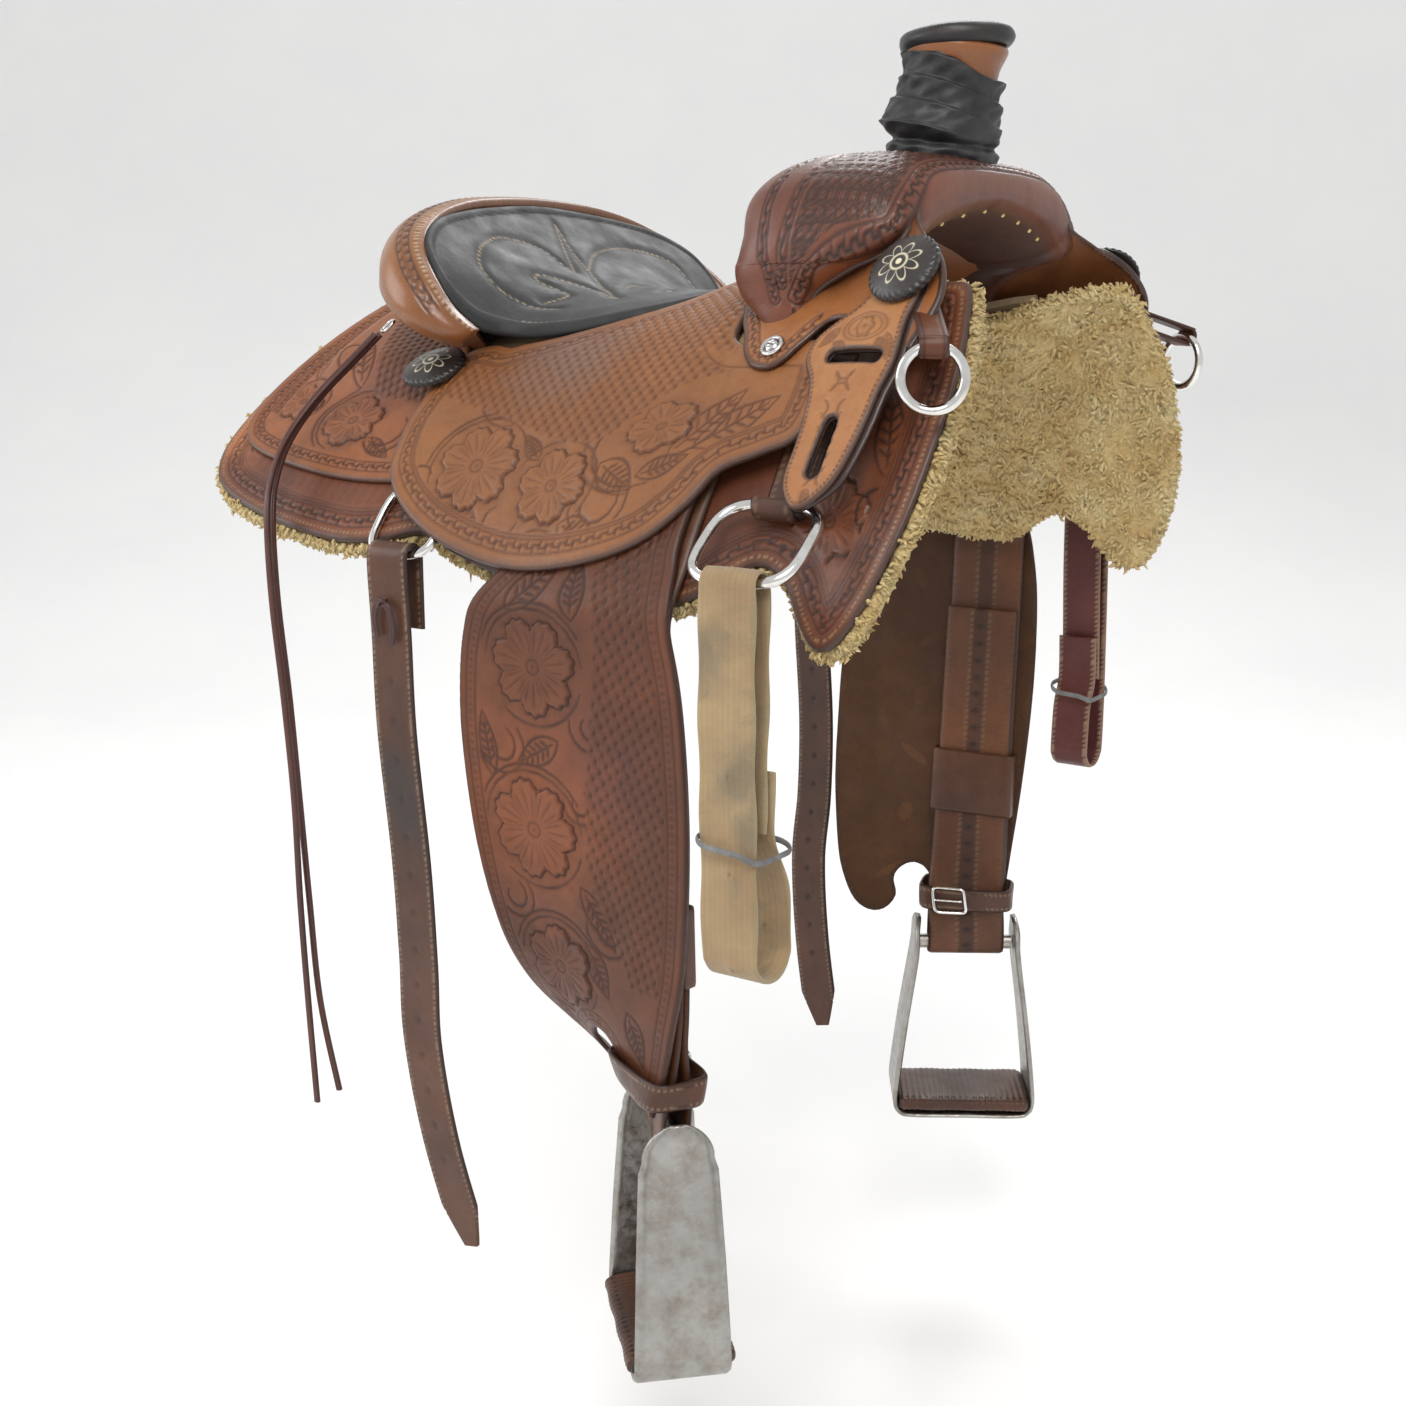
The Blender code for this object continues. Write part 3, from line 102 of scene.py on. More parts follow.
def along(table, x):
    """The columns of a table at x, on a smooth curve through its rows."""
    table = np.array(table, float)
    x = np.asarray(x, float)
    keys = table[:, 0]
    last = len(keys) - 1
    row = np.searchsorted(keys[1:last], x, side="left")
    before, after = np.maximum(row - 1, 0), np.minimum(row + 2, last)
    span = (keys[row + 1] - keys[row])[..., None]
    t = (x - keys[row])[..., None] / span
    low, high = table[row, 1:], table[row + 1, 1:]
    rate_low = (high - table[before, 1:]) / (keys[row + 1] - keys[before])[..., None] * span
    rate_high = (table[after, 1:] - low) / (keys[after] - keys[row])[..., None] * span
    out = low * (2 * t**3 - 3 * t**2 + 1) + rate_low * (t**3 - 2 * t**2 + t)
    return out + high * (3 * t**2 - 2 * t**3) + rate_high * (t**3 - t**2)


def side_point(side, x, down, height):
    """A point on one side: how far down the side surface from its top, and how high above it."""
    x, down, height = together(x, down, height)
    top = along(STATIONS, x)
    first, last = np.radians(top[..., 2]), np.radians(top[..., 3])
    bend = (last - first) / SIDE_LENGTH
    slope = first + bend * down
    y = top[..., 0] + (np.sin(slope) - np.sin(first)) / bend + height * np.sin(slope)
    z = top[..., 1] + (np.cos(slope) - np.cos(first)) / bend + height * np.cos(slope)
    return np.stack((x, side * y, z), -1)


def seat_surface(x, y):
    line = along(SEAT_LINE, x)
    return line[..., 0] - line[..., 1] * y * y


def seat_under(x, down):
    shelf = REAR_SHELF + (HANG_SHELF - REAR_SHELF) * smoothstep((x + 0.135) / 0.03)
    over = OVER_BARS - 0.007 * smoothstep((x - 0.10) / 0.03)
    return shelf + (over - shelf) * smoothstep((0.20 - down) / 0.12)


def seat_point(x, across, lift):
    """The seat leather unrolled: across is 0 on the centre line and grows down each side."""
    x, across, lift = together(x, across, lift)
    side = np.where(across >= 0, 1.0, -1.0)
    down = np.abs(across) - CENTRE_HALF
    outer = side_point(1, x, np.maximum(down, 0.0), seat_under(x, np.maximum(down, 0.0)) + lift)
    edge = side_point(1, x, 0.0, seat_under(x, 0.0) + lift)
    t = np.clip(np.abs(across) / CENTRE_HALF, 0, 1)
    middle = along(SEAT_LINE, x)[..., 0] - 0.005 + lift
    y = np.where(down >= 0, outer[..., 1], edge[..., 1] * t)
    z = np.where(down >= 0, outer[..., 2], middle + (edge[..., 2] - middle) * t * t)
    return np.stack((x, side * y, z), -1)


def curve(points, step, closed=False):
    """Points about a step apart on a smooth curve through the given ones. One given twice is a corner."""
    given = np.array(points, float)
    count = len(given)
    out = []
    for i in range(count if closed else count - 1):
        picks = [i + k for k in (-1, 0, 1, 2)]
        picks = [p % count for p in picks] if closed else [min(max(p, 0), count - 1) for p in picks]
        a, b, c, d = given[picks]
        length = np.linalg.norm(c - b)
        if length < 1e-6:
            continue
        pieces = max(1, round(length / step))
        t = (np.arange(pieces) / pieces)[:, None]
        twice = 2 * b + (c - a) * t + (2 * a - 5 * b + 4 * c - d) * t**2 + (3 * b - a - 3 * c + d) * t**3
        out.append(twice / 2)
    if not closed:
        out.append(given[-1:])
    return np.concatenate(out)


def evenly(points, pieces):
    """The curve through these points, cut into equal pieces."""
    fine = curve(points, 0.001)
    lengths = run_length(fine)
    want = np.linspace(0, lengths[-1], pieces + 1)
    return np.stack([np.interp(want, lengths, fine[:, k]) for k in range(fine.shape[1])], 1)


def unit(vectors):
    return vectors / np.maximum(np.linalg.norm(vectors, axis=-1, keepdims=True), 1e-12)


def loop_field(a, b, loop):
    """How deep inside a closed loop each point is, how far along it, and the nearest point on it."""
    depth = np.full(a.shape, 1e9)
    where, near_a, near_b = np.zeros(a.shape), np.zeros(a.shape), np.zeros(a.shape)
    odd = np.zeros(a.shape, bool)
    total = 0.0
    for p, q in zip(loop, np.roll(loop, -1, 0)):
        run = q - p
        length = math.hypot(*run)
        if length < 1e-9:
            continue
        t = np.clip(((a - p[0]) * run[0] + (b - p[1]) * run[1]) / length**2, 0, 1)
        spot_a, spot_b = p[0] + run[0] * t, p[1] + run[1] * t
        far = np.hypot(a - spot_a, b - spot_b)
        closer = far < depth
        depth = np.where(closer, far, depth)
        where = np.where(closer, total + length * t, where)
        near_a, near_b = np.where(closer, spot_a, near_a), np.where(closer, spot_b, near_b)
        if abs(run[1]) > 1e-12:
            odd ^= ((p[1] > b) != (q[1] > b)) & (a < run[0] * (b - p[1]) / run[1] + p[0])
        total += length
    return np.where(odd, depth, -depth), where, near_a, near_b


def line_distance(a, b, points):
    """Distance to an open line, and how far along it, from 0 to 1."""
    best, where = np.full(a.shape, 1e9), np.zeros(a.shape)
    points = np.asarray(points, float)
    for i, (p, q) in enumerate(zip(points, points[1:])):
        run = q - p
        t = np.clip(((a - p[0]) * run[0] + (b - p[1]) * run[1]) / (run @ run), 0, 1)
        far = np.hypot(a - p[0] - run[0] * t, b - p[1] - run[1] * t)
        closer = far < best
        best, where = np.where(closer, far, best), np.where(closer, (i + t) / (len(points) - 1), where)
    return best, where


def painted(recess, edge=0.0, special=0.0):
    """Paint for each point: how dark from recesses and painted shade, how much a dark edge, and how special
    it is.
    """
    return np.stack(np.broadcast_arrays(np.clip(recess, 0, 1), edge, special), -1)


# ---- Meshes ----


def make_mesh(name, points, quads, triangles=None, paint=None):
    """A closed mesh, its faces turned outward. Paint: how dark from recesses and painted shade, how
    edge-dark and how special each point is.
    """
    points = np.asarray(points, float)
    quads = np.asarray(quads, np.int64).reshape(-1, 4)
    triangles = np.asarray(triangles if triangles is not None else [], np.int64).reshape(-1, 3)
    volume = 0.0
    for corners in (quads[:, (0, 1, 2)], quads[:, (0, 2, 3)], triangles):
        p, q, r = points[corners[:, 0]], points[corners[:, 1]], points[corners[:, 2]]
        volume += np.einsum("ij,ij->", p, np.cross(q, r))
    if volume < 0:
        quads, triangles = quads[:, ::-1], triangles[:, ::-1]
    mesh = bpy.data.meshes.new(name)
    corners = np.concatenate((quads.ravel(), triangles.ravel()))
    starts = np.concatenate((np.arange(len(quads)) * 4, len(quads) * 4 + np.arange(len(triangles)) * 3))
    mesh.vertices.add(len(points))
    mesh.vertices.foreach_set("co", points.astype(np.float32).ravel())
    mesh.loops.add(len(corners))
    mesh.loops.foreach_set("vertex_index", corners.astype(np.int32))
    mesh.polygons.add(len(starts))
    mesh.polygons.foreach_set("loop_start", starts.astype(np.int32))
    mesh.update(calc_edges=True)
    mesh.validate()
    mesh.shade_smooth()
    layer = mesh.attributes.new("paint", "FLOAT_COLOR", "POINT")
    colours = np.zeros((len(points), 4), np.float32)
    if paint is not None:
        colours[:, :3] = np.clip(paint, 0, 1)
    colours[:, 3] = 1.0
    layer.data.foreach_set("color", colours.ravel())
    return mesh


def show(mesh, finish, body, stands_for=()):
    """Puts a mesh in the scene with its material, on its body, in place of CAD nodes."""
    made = bpy.data.objects.new(mesh.name, mesh)
    bpy.context.scene.collection.objects.link(made)
    mesh.materials.append(MATERIALS[finish])
    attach(made, body)
    if stands_for:
        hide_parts(*stands_for)
    return made


def sheet_mesh(name, outline, lines, place, thick, relief=None, holes=(), low=0.0):
    """A leather sheet. Place(a, b, height) puts a flat point in space; relief gives its lift and paint."""
    a, b = np.meshgrid(*lines, indexing="ij")
    depth, where, near_a, near_b = loop_field(a, b, np.asarray(outline, float))
    rim = depth
    for hole in holes:
        hole_depth, _, hole_a, hole_b = loop_field(a, b, np.asarray(hole, float))
        closer = -hole_depth < rim
        rim = np.where(closer, -hole_depth, rim)
        near_a, near_b = np.where(closer, hole_a, near_a), np.where(closer, hole_b, near_b)
    inside = rim > 0
    index = np.arange(a.size).reshape(a.shape)
    some = inside[:-1, :-1] | inside[1:, :-1] | inside[:-1, 1:] | inside[1:, 1:]
    quads = np.stack((index[:-1, :-1], index[1:, :-1], index[1:, 1:], index[:-1, 1:]), -1)[some]
    a, b = np.where(inside, a, near_a).ravel(), np.where(inside, b, near_b).ravel()
    depth, rim, where = np.maximum(depth, 0).ravel(), np.maximum(rim, 0).ravel(), where.ravel()
    used = np.unique(quads)
    renumber = np.zeros(a.size, np.int64)
    renumber[used] = np.arange(len(used))
    quads = renumber[quads]
    a, b, depth, rim, where = a[used], b[used], depth[used], rim[used], where[used]
    count = len(used)
    lift, paint = np.zeros(count), np.zeros((count, 3))
    if relief:
        lift, paint = relief(a, b, depth, where)
        paint = np.array(paint, float)
    round_off = thick * 0.45
    lift = lift - round_off * (1 - dome(1 - np.clip(rim / (thick * 0.7), 0, 1)))
    paint[:, 1] = np.maximum(paint[:, 1], smoothstep(1.15 - rim / 0.0032))
    top = place(a, b, low + thick + lift)
    under = place(a, b, low + 0 * lift)
    directed = np.concatenate([quads[:, (k, (k + 1) % 4)] for k in range(4)])
    key = directed[:, 0] * count + directed[:, 1]
    back = directed[:, 1] * count + directed[:, 0]
    rims = directed[~np.isin(key, back)]
    walls = np.stack((rims[:, 1], rims[:, 0], rims[:, 0] + count, rims[:, 1] + count), 1)
    faces = np.concatenate((quads, quads[:, ::-1] + count, walls))
    under_paint = np.stack((np.full(count, 0.25), np.maximum(paint[:, 1], 0.35), np.zeros(count)), 1)
    return make_mesh(name, np.concatenate((top, under)), faces, paint=np.concatenate((paint, under_paint)))


def refinish(node, finish):
    """A CAD piece that stays in sight gets its material."""
    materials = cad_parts[node].data.materials
    materials.clear()
    materials.append(MATERIALS[finish])


def grid_normals(grid, closed_rows, closed_columns):
    if closed_rows:
        along_rows = np.roll(grid, -1, 0) - np.roll(grid, 1, 0)
    else:
        along_rows = np.gradient(grid, axis=0)
    if closed_columns:
        along_columns = np.roll(grid, -1, 1) - np.roll(grid, 1, 1)
    else:
        along_columns = np.gradient(grid, axis=1)
    normals = unit(np.cross(along_rows, along_columns))
    centre = grid.mean(axis=1, keepdims=True)
    return normals if np.sum(normals * (grid - centre)) > 0 else -normals


def skin_mesh(name, grid, closed_rows=False, lift=None, paint=None):
    """A skin over rows of points, each row a closed loop. Open ends are capped."""
    rows, count = grid.shape[:2]
    if lift is not None:
        grid = grid + grid_normals(grid, closed_rows, True) * lift[..., None]
    index = np.arange(rows * count).reshape(rows, count)
    after = np.roll(index, -1, 1)
    if closed_rows:
        next_row, next_after = np.roll(index, -1, 0), np.roll(after, -1, 0)
        quads = np.stack((index, after, next_after, next_row), -1).reshape(-1, 4)
        paint = None if paint is None else paint.reshape(-1, 3)
        return make_mesh(name, grid.reshape(-1, 3), quads, paint=paint)
    quads = np.stack((index[:-1], after[:-1], after[1:], index[1:]), -1).reshape(-1, 4)
    middles = np.stack((grid[0].mean(0), grid[-1].mean(0)))
    points = np.concatenate((grid.reshape(-1, 3), middles))
    last = rows * count
    first_cap = np.stack((after[0], index[0], np.full(count, last)), 1)
    last_cap = np.stack((index[-1], after[-1], np.full(count, last + 1)), 1)
    if paint is not None:
        ends = np.stack((paint[0].mean(0), paint[-1].mean(0)))
        paint = np.concatenate((paint.reshape(-1, 3), ends))
    return make_mesh(name, points, quads, np.concatenate((first_cap, last_cap)), paint)


def sweep_grid(path, across, section, scale=None, closed=False):
    """Carries a flat section, pairs of wide and thick, along a path. Across is the way its width lies."""
    path, across = np.asarray(path, float), np.asarray(across, float)
    if closed:
        run = unit(np.roll(path, -1, 0) - np.roll(path, 1, 0))
    else:
        run = unit(np.gradient(path, axis=0))
    across = np.broadcast_to(across, path.shape)
    wide = unit(across - run * np.sum(run * across, axis=1, keepdims=True))
    flat = np.cross(run, wide)
    section = np.asarray(section, float)
    sizes = np.ones((len(path), 2)) if scale is None else np.asarray(scale, float)
    part_wide = wide[:, None, :] * (section[None, :, 0] * sizes[:, :1])[..., None]
    part_flat = flat[:, None, :] * (section[None, :, 1] * sizes[:, 1:])[..., None]
    return path[:, None, :] + part_wide + part_flat


def circle(radius, sides=16):
    angle = round_angles(sides)
    return np.stack((np.cos(angle) * radius, np.sin(angle) * radius), 1)


def strap_section(width, thick, across=14):
    """A strap's section with round edges: its two faces, each with points across."""
    u = np.linspace(-1, 1, across)
    past = (np.abs(u) * width / 2 - width / 2 + thick * 0.6) / (thick * 0.62)
    half = thick / 2 * dome(np.clip(past, 0, 1))
    top = np.stack((u * width / 2, half), 1)
    under = np.stack((u[::-1] * width / 2, -half[::-1]), 1)
    return np.concatenate((top, under))


def turned_mesh(name, profile, centre, axis, turns=64, lift=None):
    """Radius and height pairs turned about an axis; the first and last lie near the axis."""
    axis = unit(np.asarray(axis, float))
    first = unit(np.cross(axis, (0.3, 0.9, 0.1)))
    second = np.cross(axis, first)
    angle = round_angles(turns)
    ray = np.cos(angle)[:, None] * first + np.sin(angle)[:, None] * second
    profile = np.asarray(profile, float)
    radius, height = profile[:, :1] + 0 * angle, profile[:, 1:] + 0 * angle
    paint = None
    if lift:
        radius, height, paint = lift(radius, height, angle[None, :] + 0 * radius)
    grid = np.asarray(centre, float) + axis * height[..., None] + ray[None] * radius[..., None]
    return skin_mesh(name, grid, paint=paint)


# ---- Tooling: each pattern gives how far the face lifts, and how dark it is ----


def groove(distance, width=0.0010):
    return np.exp(-((distance / width) ** 2))


def bar_distance(u, v, centre_u, centre_v, half_u, half_v):
    past_u = np.maximum(np.abs(u - centre_u) - half_u, 0)
    past_v = np.maximum(np.abs(v - centre_v) - half_v, 0)
    return np.hypot(past_u, past_v)


def chain(depth, where, middle, half=0.0036, period=0.0116):
    """A border of interlocked hooks between two lines, at a depth inside the edge."""
    v = depth - middle
    marks = np.zeros(depth.shape)
    for shift, flip in ((0.0, 1), (0.5, -1)):
        u = np.mod(where - shift * period, period) - period / 2
        upright = bar_distance(u, v * flip, -0.20 * period, -0.0012, 0.0, half * 0.55)
        hook = bar_distance(u, v * flip, 0.0, 0.0011, 0.20 * period, 0.0)
        tip = bar_distance(u, v * flip, 0.20 * period, 0.0004, 0.0, 0.0006)
        marks = np.maximum(marks, groove(np.minimum(np.minimum(upright, hook), tip), 0.00095))
    lines = groove(np.abs(v) - half - 0.0010, 0.0009)
    beads = groove(np.abs(v) - half * 0.55, 0.0016)
    return 0.0004 * beads - 0.0009 * marks - 0.0007 * lines, np.maximum(marks, 0.75 * lines)


def basket(a, b, wide=0.0094, tall=0.0062):
    """Basket-weave stamping: offset rows of small pillows between dark pits."""
    row = np.floor(b / tall)
    u = np.mod(a / wide + 0.5 * np.mod(row, 2), 1) - 0.5
    v = b / tall - row - 0.5
    pits = np.exp(-(((np.abs(u) - 0.5) * wide / 0.0017) ** 2) - ((v * tall) / 0.0021) ** 2)
    pillow = (1 - (2 * u) ** 4) * (1 - (2 * v) ** 2)
    ribs = groove(np.abs(v * tall) - 0.0016, 0.0006) * (np.abs(u) < 0.32)
    return 0.0006 * pillow - 0.0009 * pits, 0.95 * pits + 0.30 * (1 - pillow) * (1 - pits) + 0.22 * ribs


def flower(a, b, centre, radius, petals=6, turn=0.0, flat=1.0):
    """A cupped blossom with veined petals, its ground pressed down round it."""
    x, y = a - centre[0], (b - centre[1]) / flat
    far, angle = np.hypot(x, y), np.arctan2(y, x) + turn
    lobe = np.abs(np.cos(angle * petals / 2))
    ruffle = 0.025 * np.cos(angle * petals * 4)
    rim = radius * (0.70 + 0.30 * np.sqrt(lobe) + ruffle)
    q = far / rim
    inside = smoothstep((1.04 - q) / 0.08)
    veins = np.clip(np.cos(angle * petals * 3), 0, 1) ** 3
    veins = veins * smoothstep((q - 0.22) / 0.2) * smoothstep((0.95 - q) / 0.25)
    outline = groove((q - 1.03) * rim, 0.0012)
    heart = groove(far - 0.15 * radius, 0.0010)
    seeds = groove(far, 0.0018) * 0.6
    split = smoothstep((0.30 - lobe) / 0.3) * inside * smoothstep((q - 0.35) / 0.3)
    ground = smoothstep((1.45 - q) / 0.4) * (1 - inside)
    lift = inside * (0.0002 + 0.0012 * q**2) - 0.0006 * veins * inside - 0.0011 * outline - 0.0005 * heart
    dark = 0.62 * veins * inside + 0.95 * outline + 0.7 * heart + seeds + 0.35 * split + 0.18 * ground
    return lift - 0.0005 * ground - 0.0005 * split, dark, np.maximum(inside, ground * 0.6)


def strokes(a, b, lines, width=0.0010):
    """Swivel-knife cuts along open lines, each tapering to its ends."""
    total = np.zeros(a.shape)
    for points in lines:
        points = np.asarray(points, float)
        low, high = points.min(0) - 0.006, points.max(0) + 0.006
        near = (a > low[0]) & (a < high[0]) & (b > low[1]) & (b < high[1])
        if not near.any():
            continue
        far, where = line_distance(a[near], b[near], points)
        taper = width * (0.55 + 0.75 * np.sin(np.clip(where, 0, 1) * math.pi))
        total[near] = np.maximum(total[near], groove(far, taper))
    return -0.0009 * total, total


def arc(centre, radius, start, end, shrink=1.0, flat=1.0, points=10):
    """Part of a spiral, with angles in degrees."""
    angle = np.radians(np.linspace(start, end, points))
    far = radius * np.linspace(1, shrink, points)
    return np.stack((centre[0] + far * np.cos(angle), centre[1] + far * np.sin(angle) * flat), 1)


def leaf(base, tip, width, bend=0.0):
    """A leaf's two sides, its middle vein and short cuts from it."""
    base, tip = np.array(base, float), np.array(tip, float)
    run = tip - base
    side = np.array((-run[1], run[0]))
    side = side / np.linalg.norm(side)
    t = np.linspace(0, 1, 9)[:, None]
    middle = base + run * t + side * bend * np.sin(math.pi * t)
    swell = side * width * np.sin(math.pi * t**0.8)
    out = [middle + swell, middle - swell, middle[1:8]]
    for k in (2, 3, 4, 5, 6):
        for way in (1, -1):
            out.append([middle[k] + side * way * 0.001, middle[k] + run * 0.09 + swell[k] * way * 0.75])
    return out


def dashes(run, pitch, half=0.36, soft=0.12):
    """1 on each stitch of a row and 0 between them."""
    return smoothstep((half - np.abs(np.mod(run / pitch, 1) - 0.5)) / soft)


def stitches(depth, where, at, pitch=0.0042):
    """A row of thread at a depth inside the edge: its lift, its thread and the holes between."""
    dash = dashes(where, pitch)
    line = groove(depth - at, 0.0009)
    return 0.0003 * line * dash - 0.0005 * line * (1 - dash), line * dash, line * (1 - dash) * 0.9


# ---- Materials ----


class Nodes:
    """A short way to write a material's node tree."""

    def __init__(self, name):
        self.material = bpy.data.materials.new(name)
        self.material.use_nodes = True
        self.tree = self.material.node_tree
        self.shader = self.tree.nodes["Principled BSDF"]
        place = self.tree.nodes.new("ShaderNodeTexCoord")
        self.place = place.outputs["Object"]
        layer = self.tree.nodes.new("ShaderNodeAttribute")
        layer.attribute_name = "paint"
        parts = self.tree.nodes.new("ShaderNodeSeparateColor")
        self.tree.links.new(layer.outputs["Color"], parts.inputs[0])
        self.recess, self.edge, self.special = parts.outputs[0], parts.outputs[1], parts.outputs[2]

    def link(self, value, socket):
        if isinstance(value, bpy.types.NodeSocket):
            self.tree.links.new(value, socket)
        elif isinstance(value, (tuple, list)) and len(value) == 3 and socket.type == "RGBA":
            socket.default_value = (*value, 1.0)
        else:
            socket.default_value = value

    def set(self, **values):
        for name, value in values.items():
            self.link(value, self.shader.inputs[name.replace("_", " ")])

    def noise(self, scale, detail=4.0, rough=0.6, stretch=None, distortion=0.0):
        place = self.place
        if stretch:
            mapping = self.tree.nodes.new("ShaderNodeMapping")
            mapping.inputs["Scale"].default_value = stretch
            self.link(place, mapping.inputs["Vector"])
            place = mapping.outputs["Vector"]
        node = self.tree.nodes.new("ShaderNodeTexNoise")
        self.link(place, node.inputs["Vector"])
        node.inputs["Scale"].default_value = scale
        node.inputs["Detail"].default_value = detail
        node.inputs["Roughness"].default_value = rough
        node.inputs["Distortion"].default_value = distortion
        return node.outputs["Fac"]

    def cells(self, scale):
        node = self.tree.nodes.new("ShaderNodeTexVoronoi")
        node.feature = "DISTANCE_TO_EDGE"
        self.link(self.place, node.inputs["Vector"])
        node.inputs["Scale"].default_value = scale
        return node.outputs["Distance"]

    def ramp(self, value, low, high, to_low=0.0, to_high=1.0):
        node = self.tree.nodes.new("ShaderNodeMapRange")
        for socket, amount in zip(node.inputs[:5], (value, low, high, to_low, to_high)):
            self.link(amount, socket)
        return node.outputs["Result"]

    def math(self, kind, first, second=0.0):
        node = self.tree.nodes.new("ShaderNodeMath")
        node.operation = kind
        self.link(first, node.inputs[0])
        self.link(second, node.inputs[1])
        return node.outputs[0]

    def mix(self, factor, first, second, kind="MIX"):
        node = self.tree.nodes.new("ShaderNodeMix")
        node.data_type = "RGBA"
        node.blend_type = kind
        self.link(factor, node.inputs[0])
        self.link(first, node.inputs[6])
        self.link(second, node.inputs[7])
        return node.outputs[2]

    def patch(self, centre, reach):
        """1 at a centre, falling to 0 at a reach from it, for wear and stains."""
        node = self.tree.nodes.new("ShaderNodeVectorMath")
        node.operation = "DISTANCE"
        self.link(self.place, node.inputs[0])
        node.inputs[1].default_value = centre
        ragged = self.math("MULTIPLY", self.math("SUBTRACT", self.noise(45.0, 4.0), 0.5), reach * 1.1)
        return self.ramp(self.math("ADD", node.outputs["Value"], ragged), reach * 0.35, reach, 1.0, 0.0)

    def bump(self, height, strength, distance, normal=None):
        node = self.tree.nodes.new("ShaderNodeBump")
        self.link(height, node.inputs["Height"])
        node.inputs["Strength"].default_value = strength
        node.inputs["Distance"].default_value = distance
        if normal:
            self.link(normal, node.inputs["Normal"])
        return node.outputs["Normal"]


def leather(
    name, colour, dark, edge, warm=None, rough=0.42, thread=None,
    patches=(), coat=0.12, grain=1.0, depth=0.68,
):
    """Oiled leather: mottled, darker where pressed in and where shade is painted, burnished at its edges,
    with pores and creases.
    """
    n = Nodes(name)
    warm = warm or tuple(c * f for c, f in zip(colour, (1.25, 1.10, 0.9)))
    colour, warm, dark = (tuple(c * depth for c in shade) for shade in (colour, warm, dark))
    shade = n.mix(n.ramp(n.noise(7.0, 3.0), 0.38, 0.64), colour, warm)
    deep, deepest = (tuple(c * f for c in colour) for f in (0.62, 0.55))
    shade = n.mix(n.ramp(n.noise(60.0, 5.0, 0.7), 0.45, 0.75, 0.0, 0.45), shade, deep)
    shade = n.mix(n.ramp(n.noise(420.0, 2.0), 0.5, 0.8, 0.0, 0.25), shade, deepest)
    for centre, reach, stain, amount in patches:
        shade = n.mix(n.math("MULTIPLY", n.patch(centre, reach), amount), shade, stain)
    # Darker in tooled recesses, from the antique dye, and where a part paints shade into this channel.
    shade = n.mix(n.math("MULTIPLY", n.recess, 0.92), shade, dark)
    ragged = n.math("ADD", n.edge, n.math("MULTIPLY", n.math("SUBTRACT", n.noise(90.0), 0.5), 0.5))
    shade = n.mix(n.ramp(ragged, 0.15, 0.85, 0.0, 0.93), shade, edge)
    if thread:
        shade = n.mix(n.special, shade, thread)
    n.set(Base_Color=shade, Coat_Weight=coat, Coat_Roughness=0.32, Specular_IOR_Level=0.38)
    gloss = n.ramp(n.noise(35.0, 4.0), 0.3, 0.7, rough - 0.07, rough + 0.12)
    n.set(Roughness=n.math("ADD", gloss, n.math("MULTIPLY", n.recess, 0.2)))
    pores = n.bump(n.noise(1500.0, 3.0), 0.18 * grain, 0.0006)
    creases = n.bump(n.cells(260.0), 0.14 * grain, 0.0008, pores)
    n.set(Normal=n.bump(n.noise(38.0, 5.0), 0.16, 0.006, creases))
    return n.material


def metal(name, colour, rough, stain, scratch=0.1):
    n = Nodes(name)
    clouds = n.ramp(n.noise(55.0, 6.0, 0.7), 0.42, 0.72, 0.0, 0.85)
    shade = n.mix(clouds, colour, stain)
    shade = n.mix(n.ramp(n.noise(9.0, 3.0), 0.45, 0.7, 0.0, 0.35), shade, tuple(c * 0.55 for c in colour))
    shade = n.mix(n.recess, shade, (0.04, 0.03, 0.025))
    gloss = n.ramp(n.noise(130.0, 5.0), 0.3, 0.7, rough * 0.75, rough * 1.6)
    n.set(Base_Color=shade, Metallic=1.0, Roughness=gloss)
    fine = n.bump(n.noise(700.0, 2.0, stretch=(1, 1, 0.1)), scratch, 0.0004)
    n.set(Normal=n.bump(n.noise(80.0, 4.0), scratch * 1.2, 0.002, fine))
    return n.material


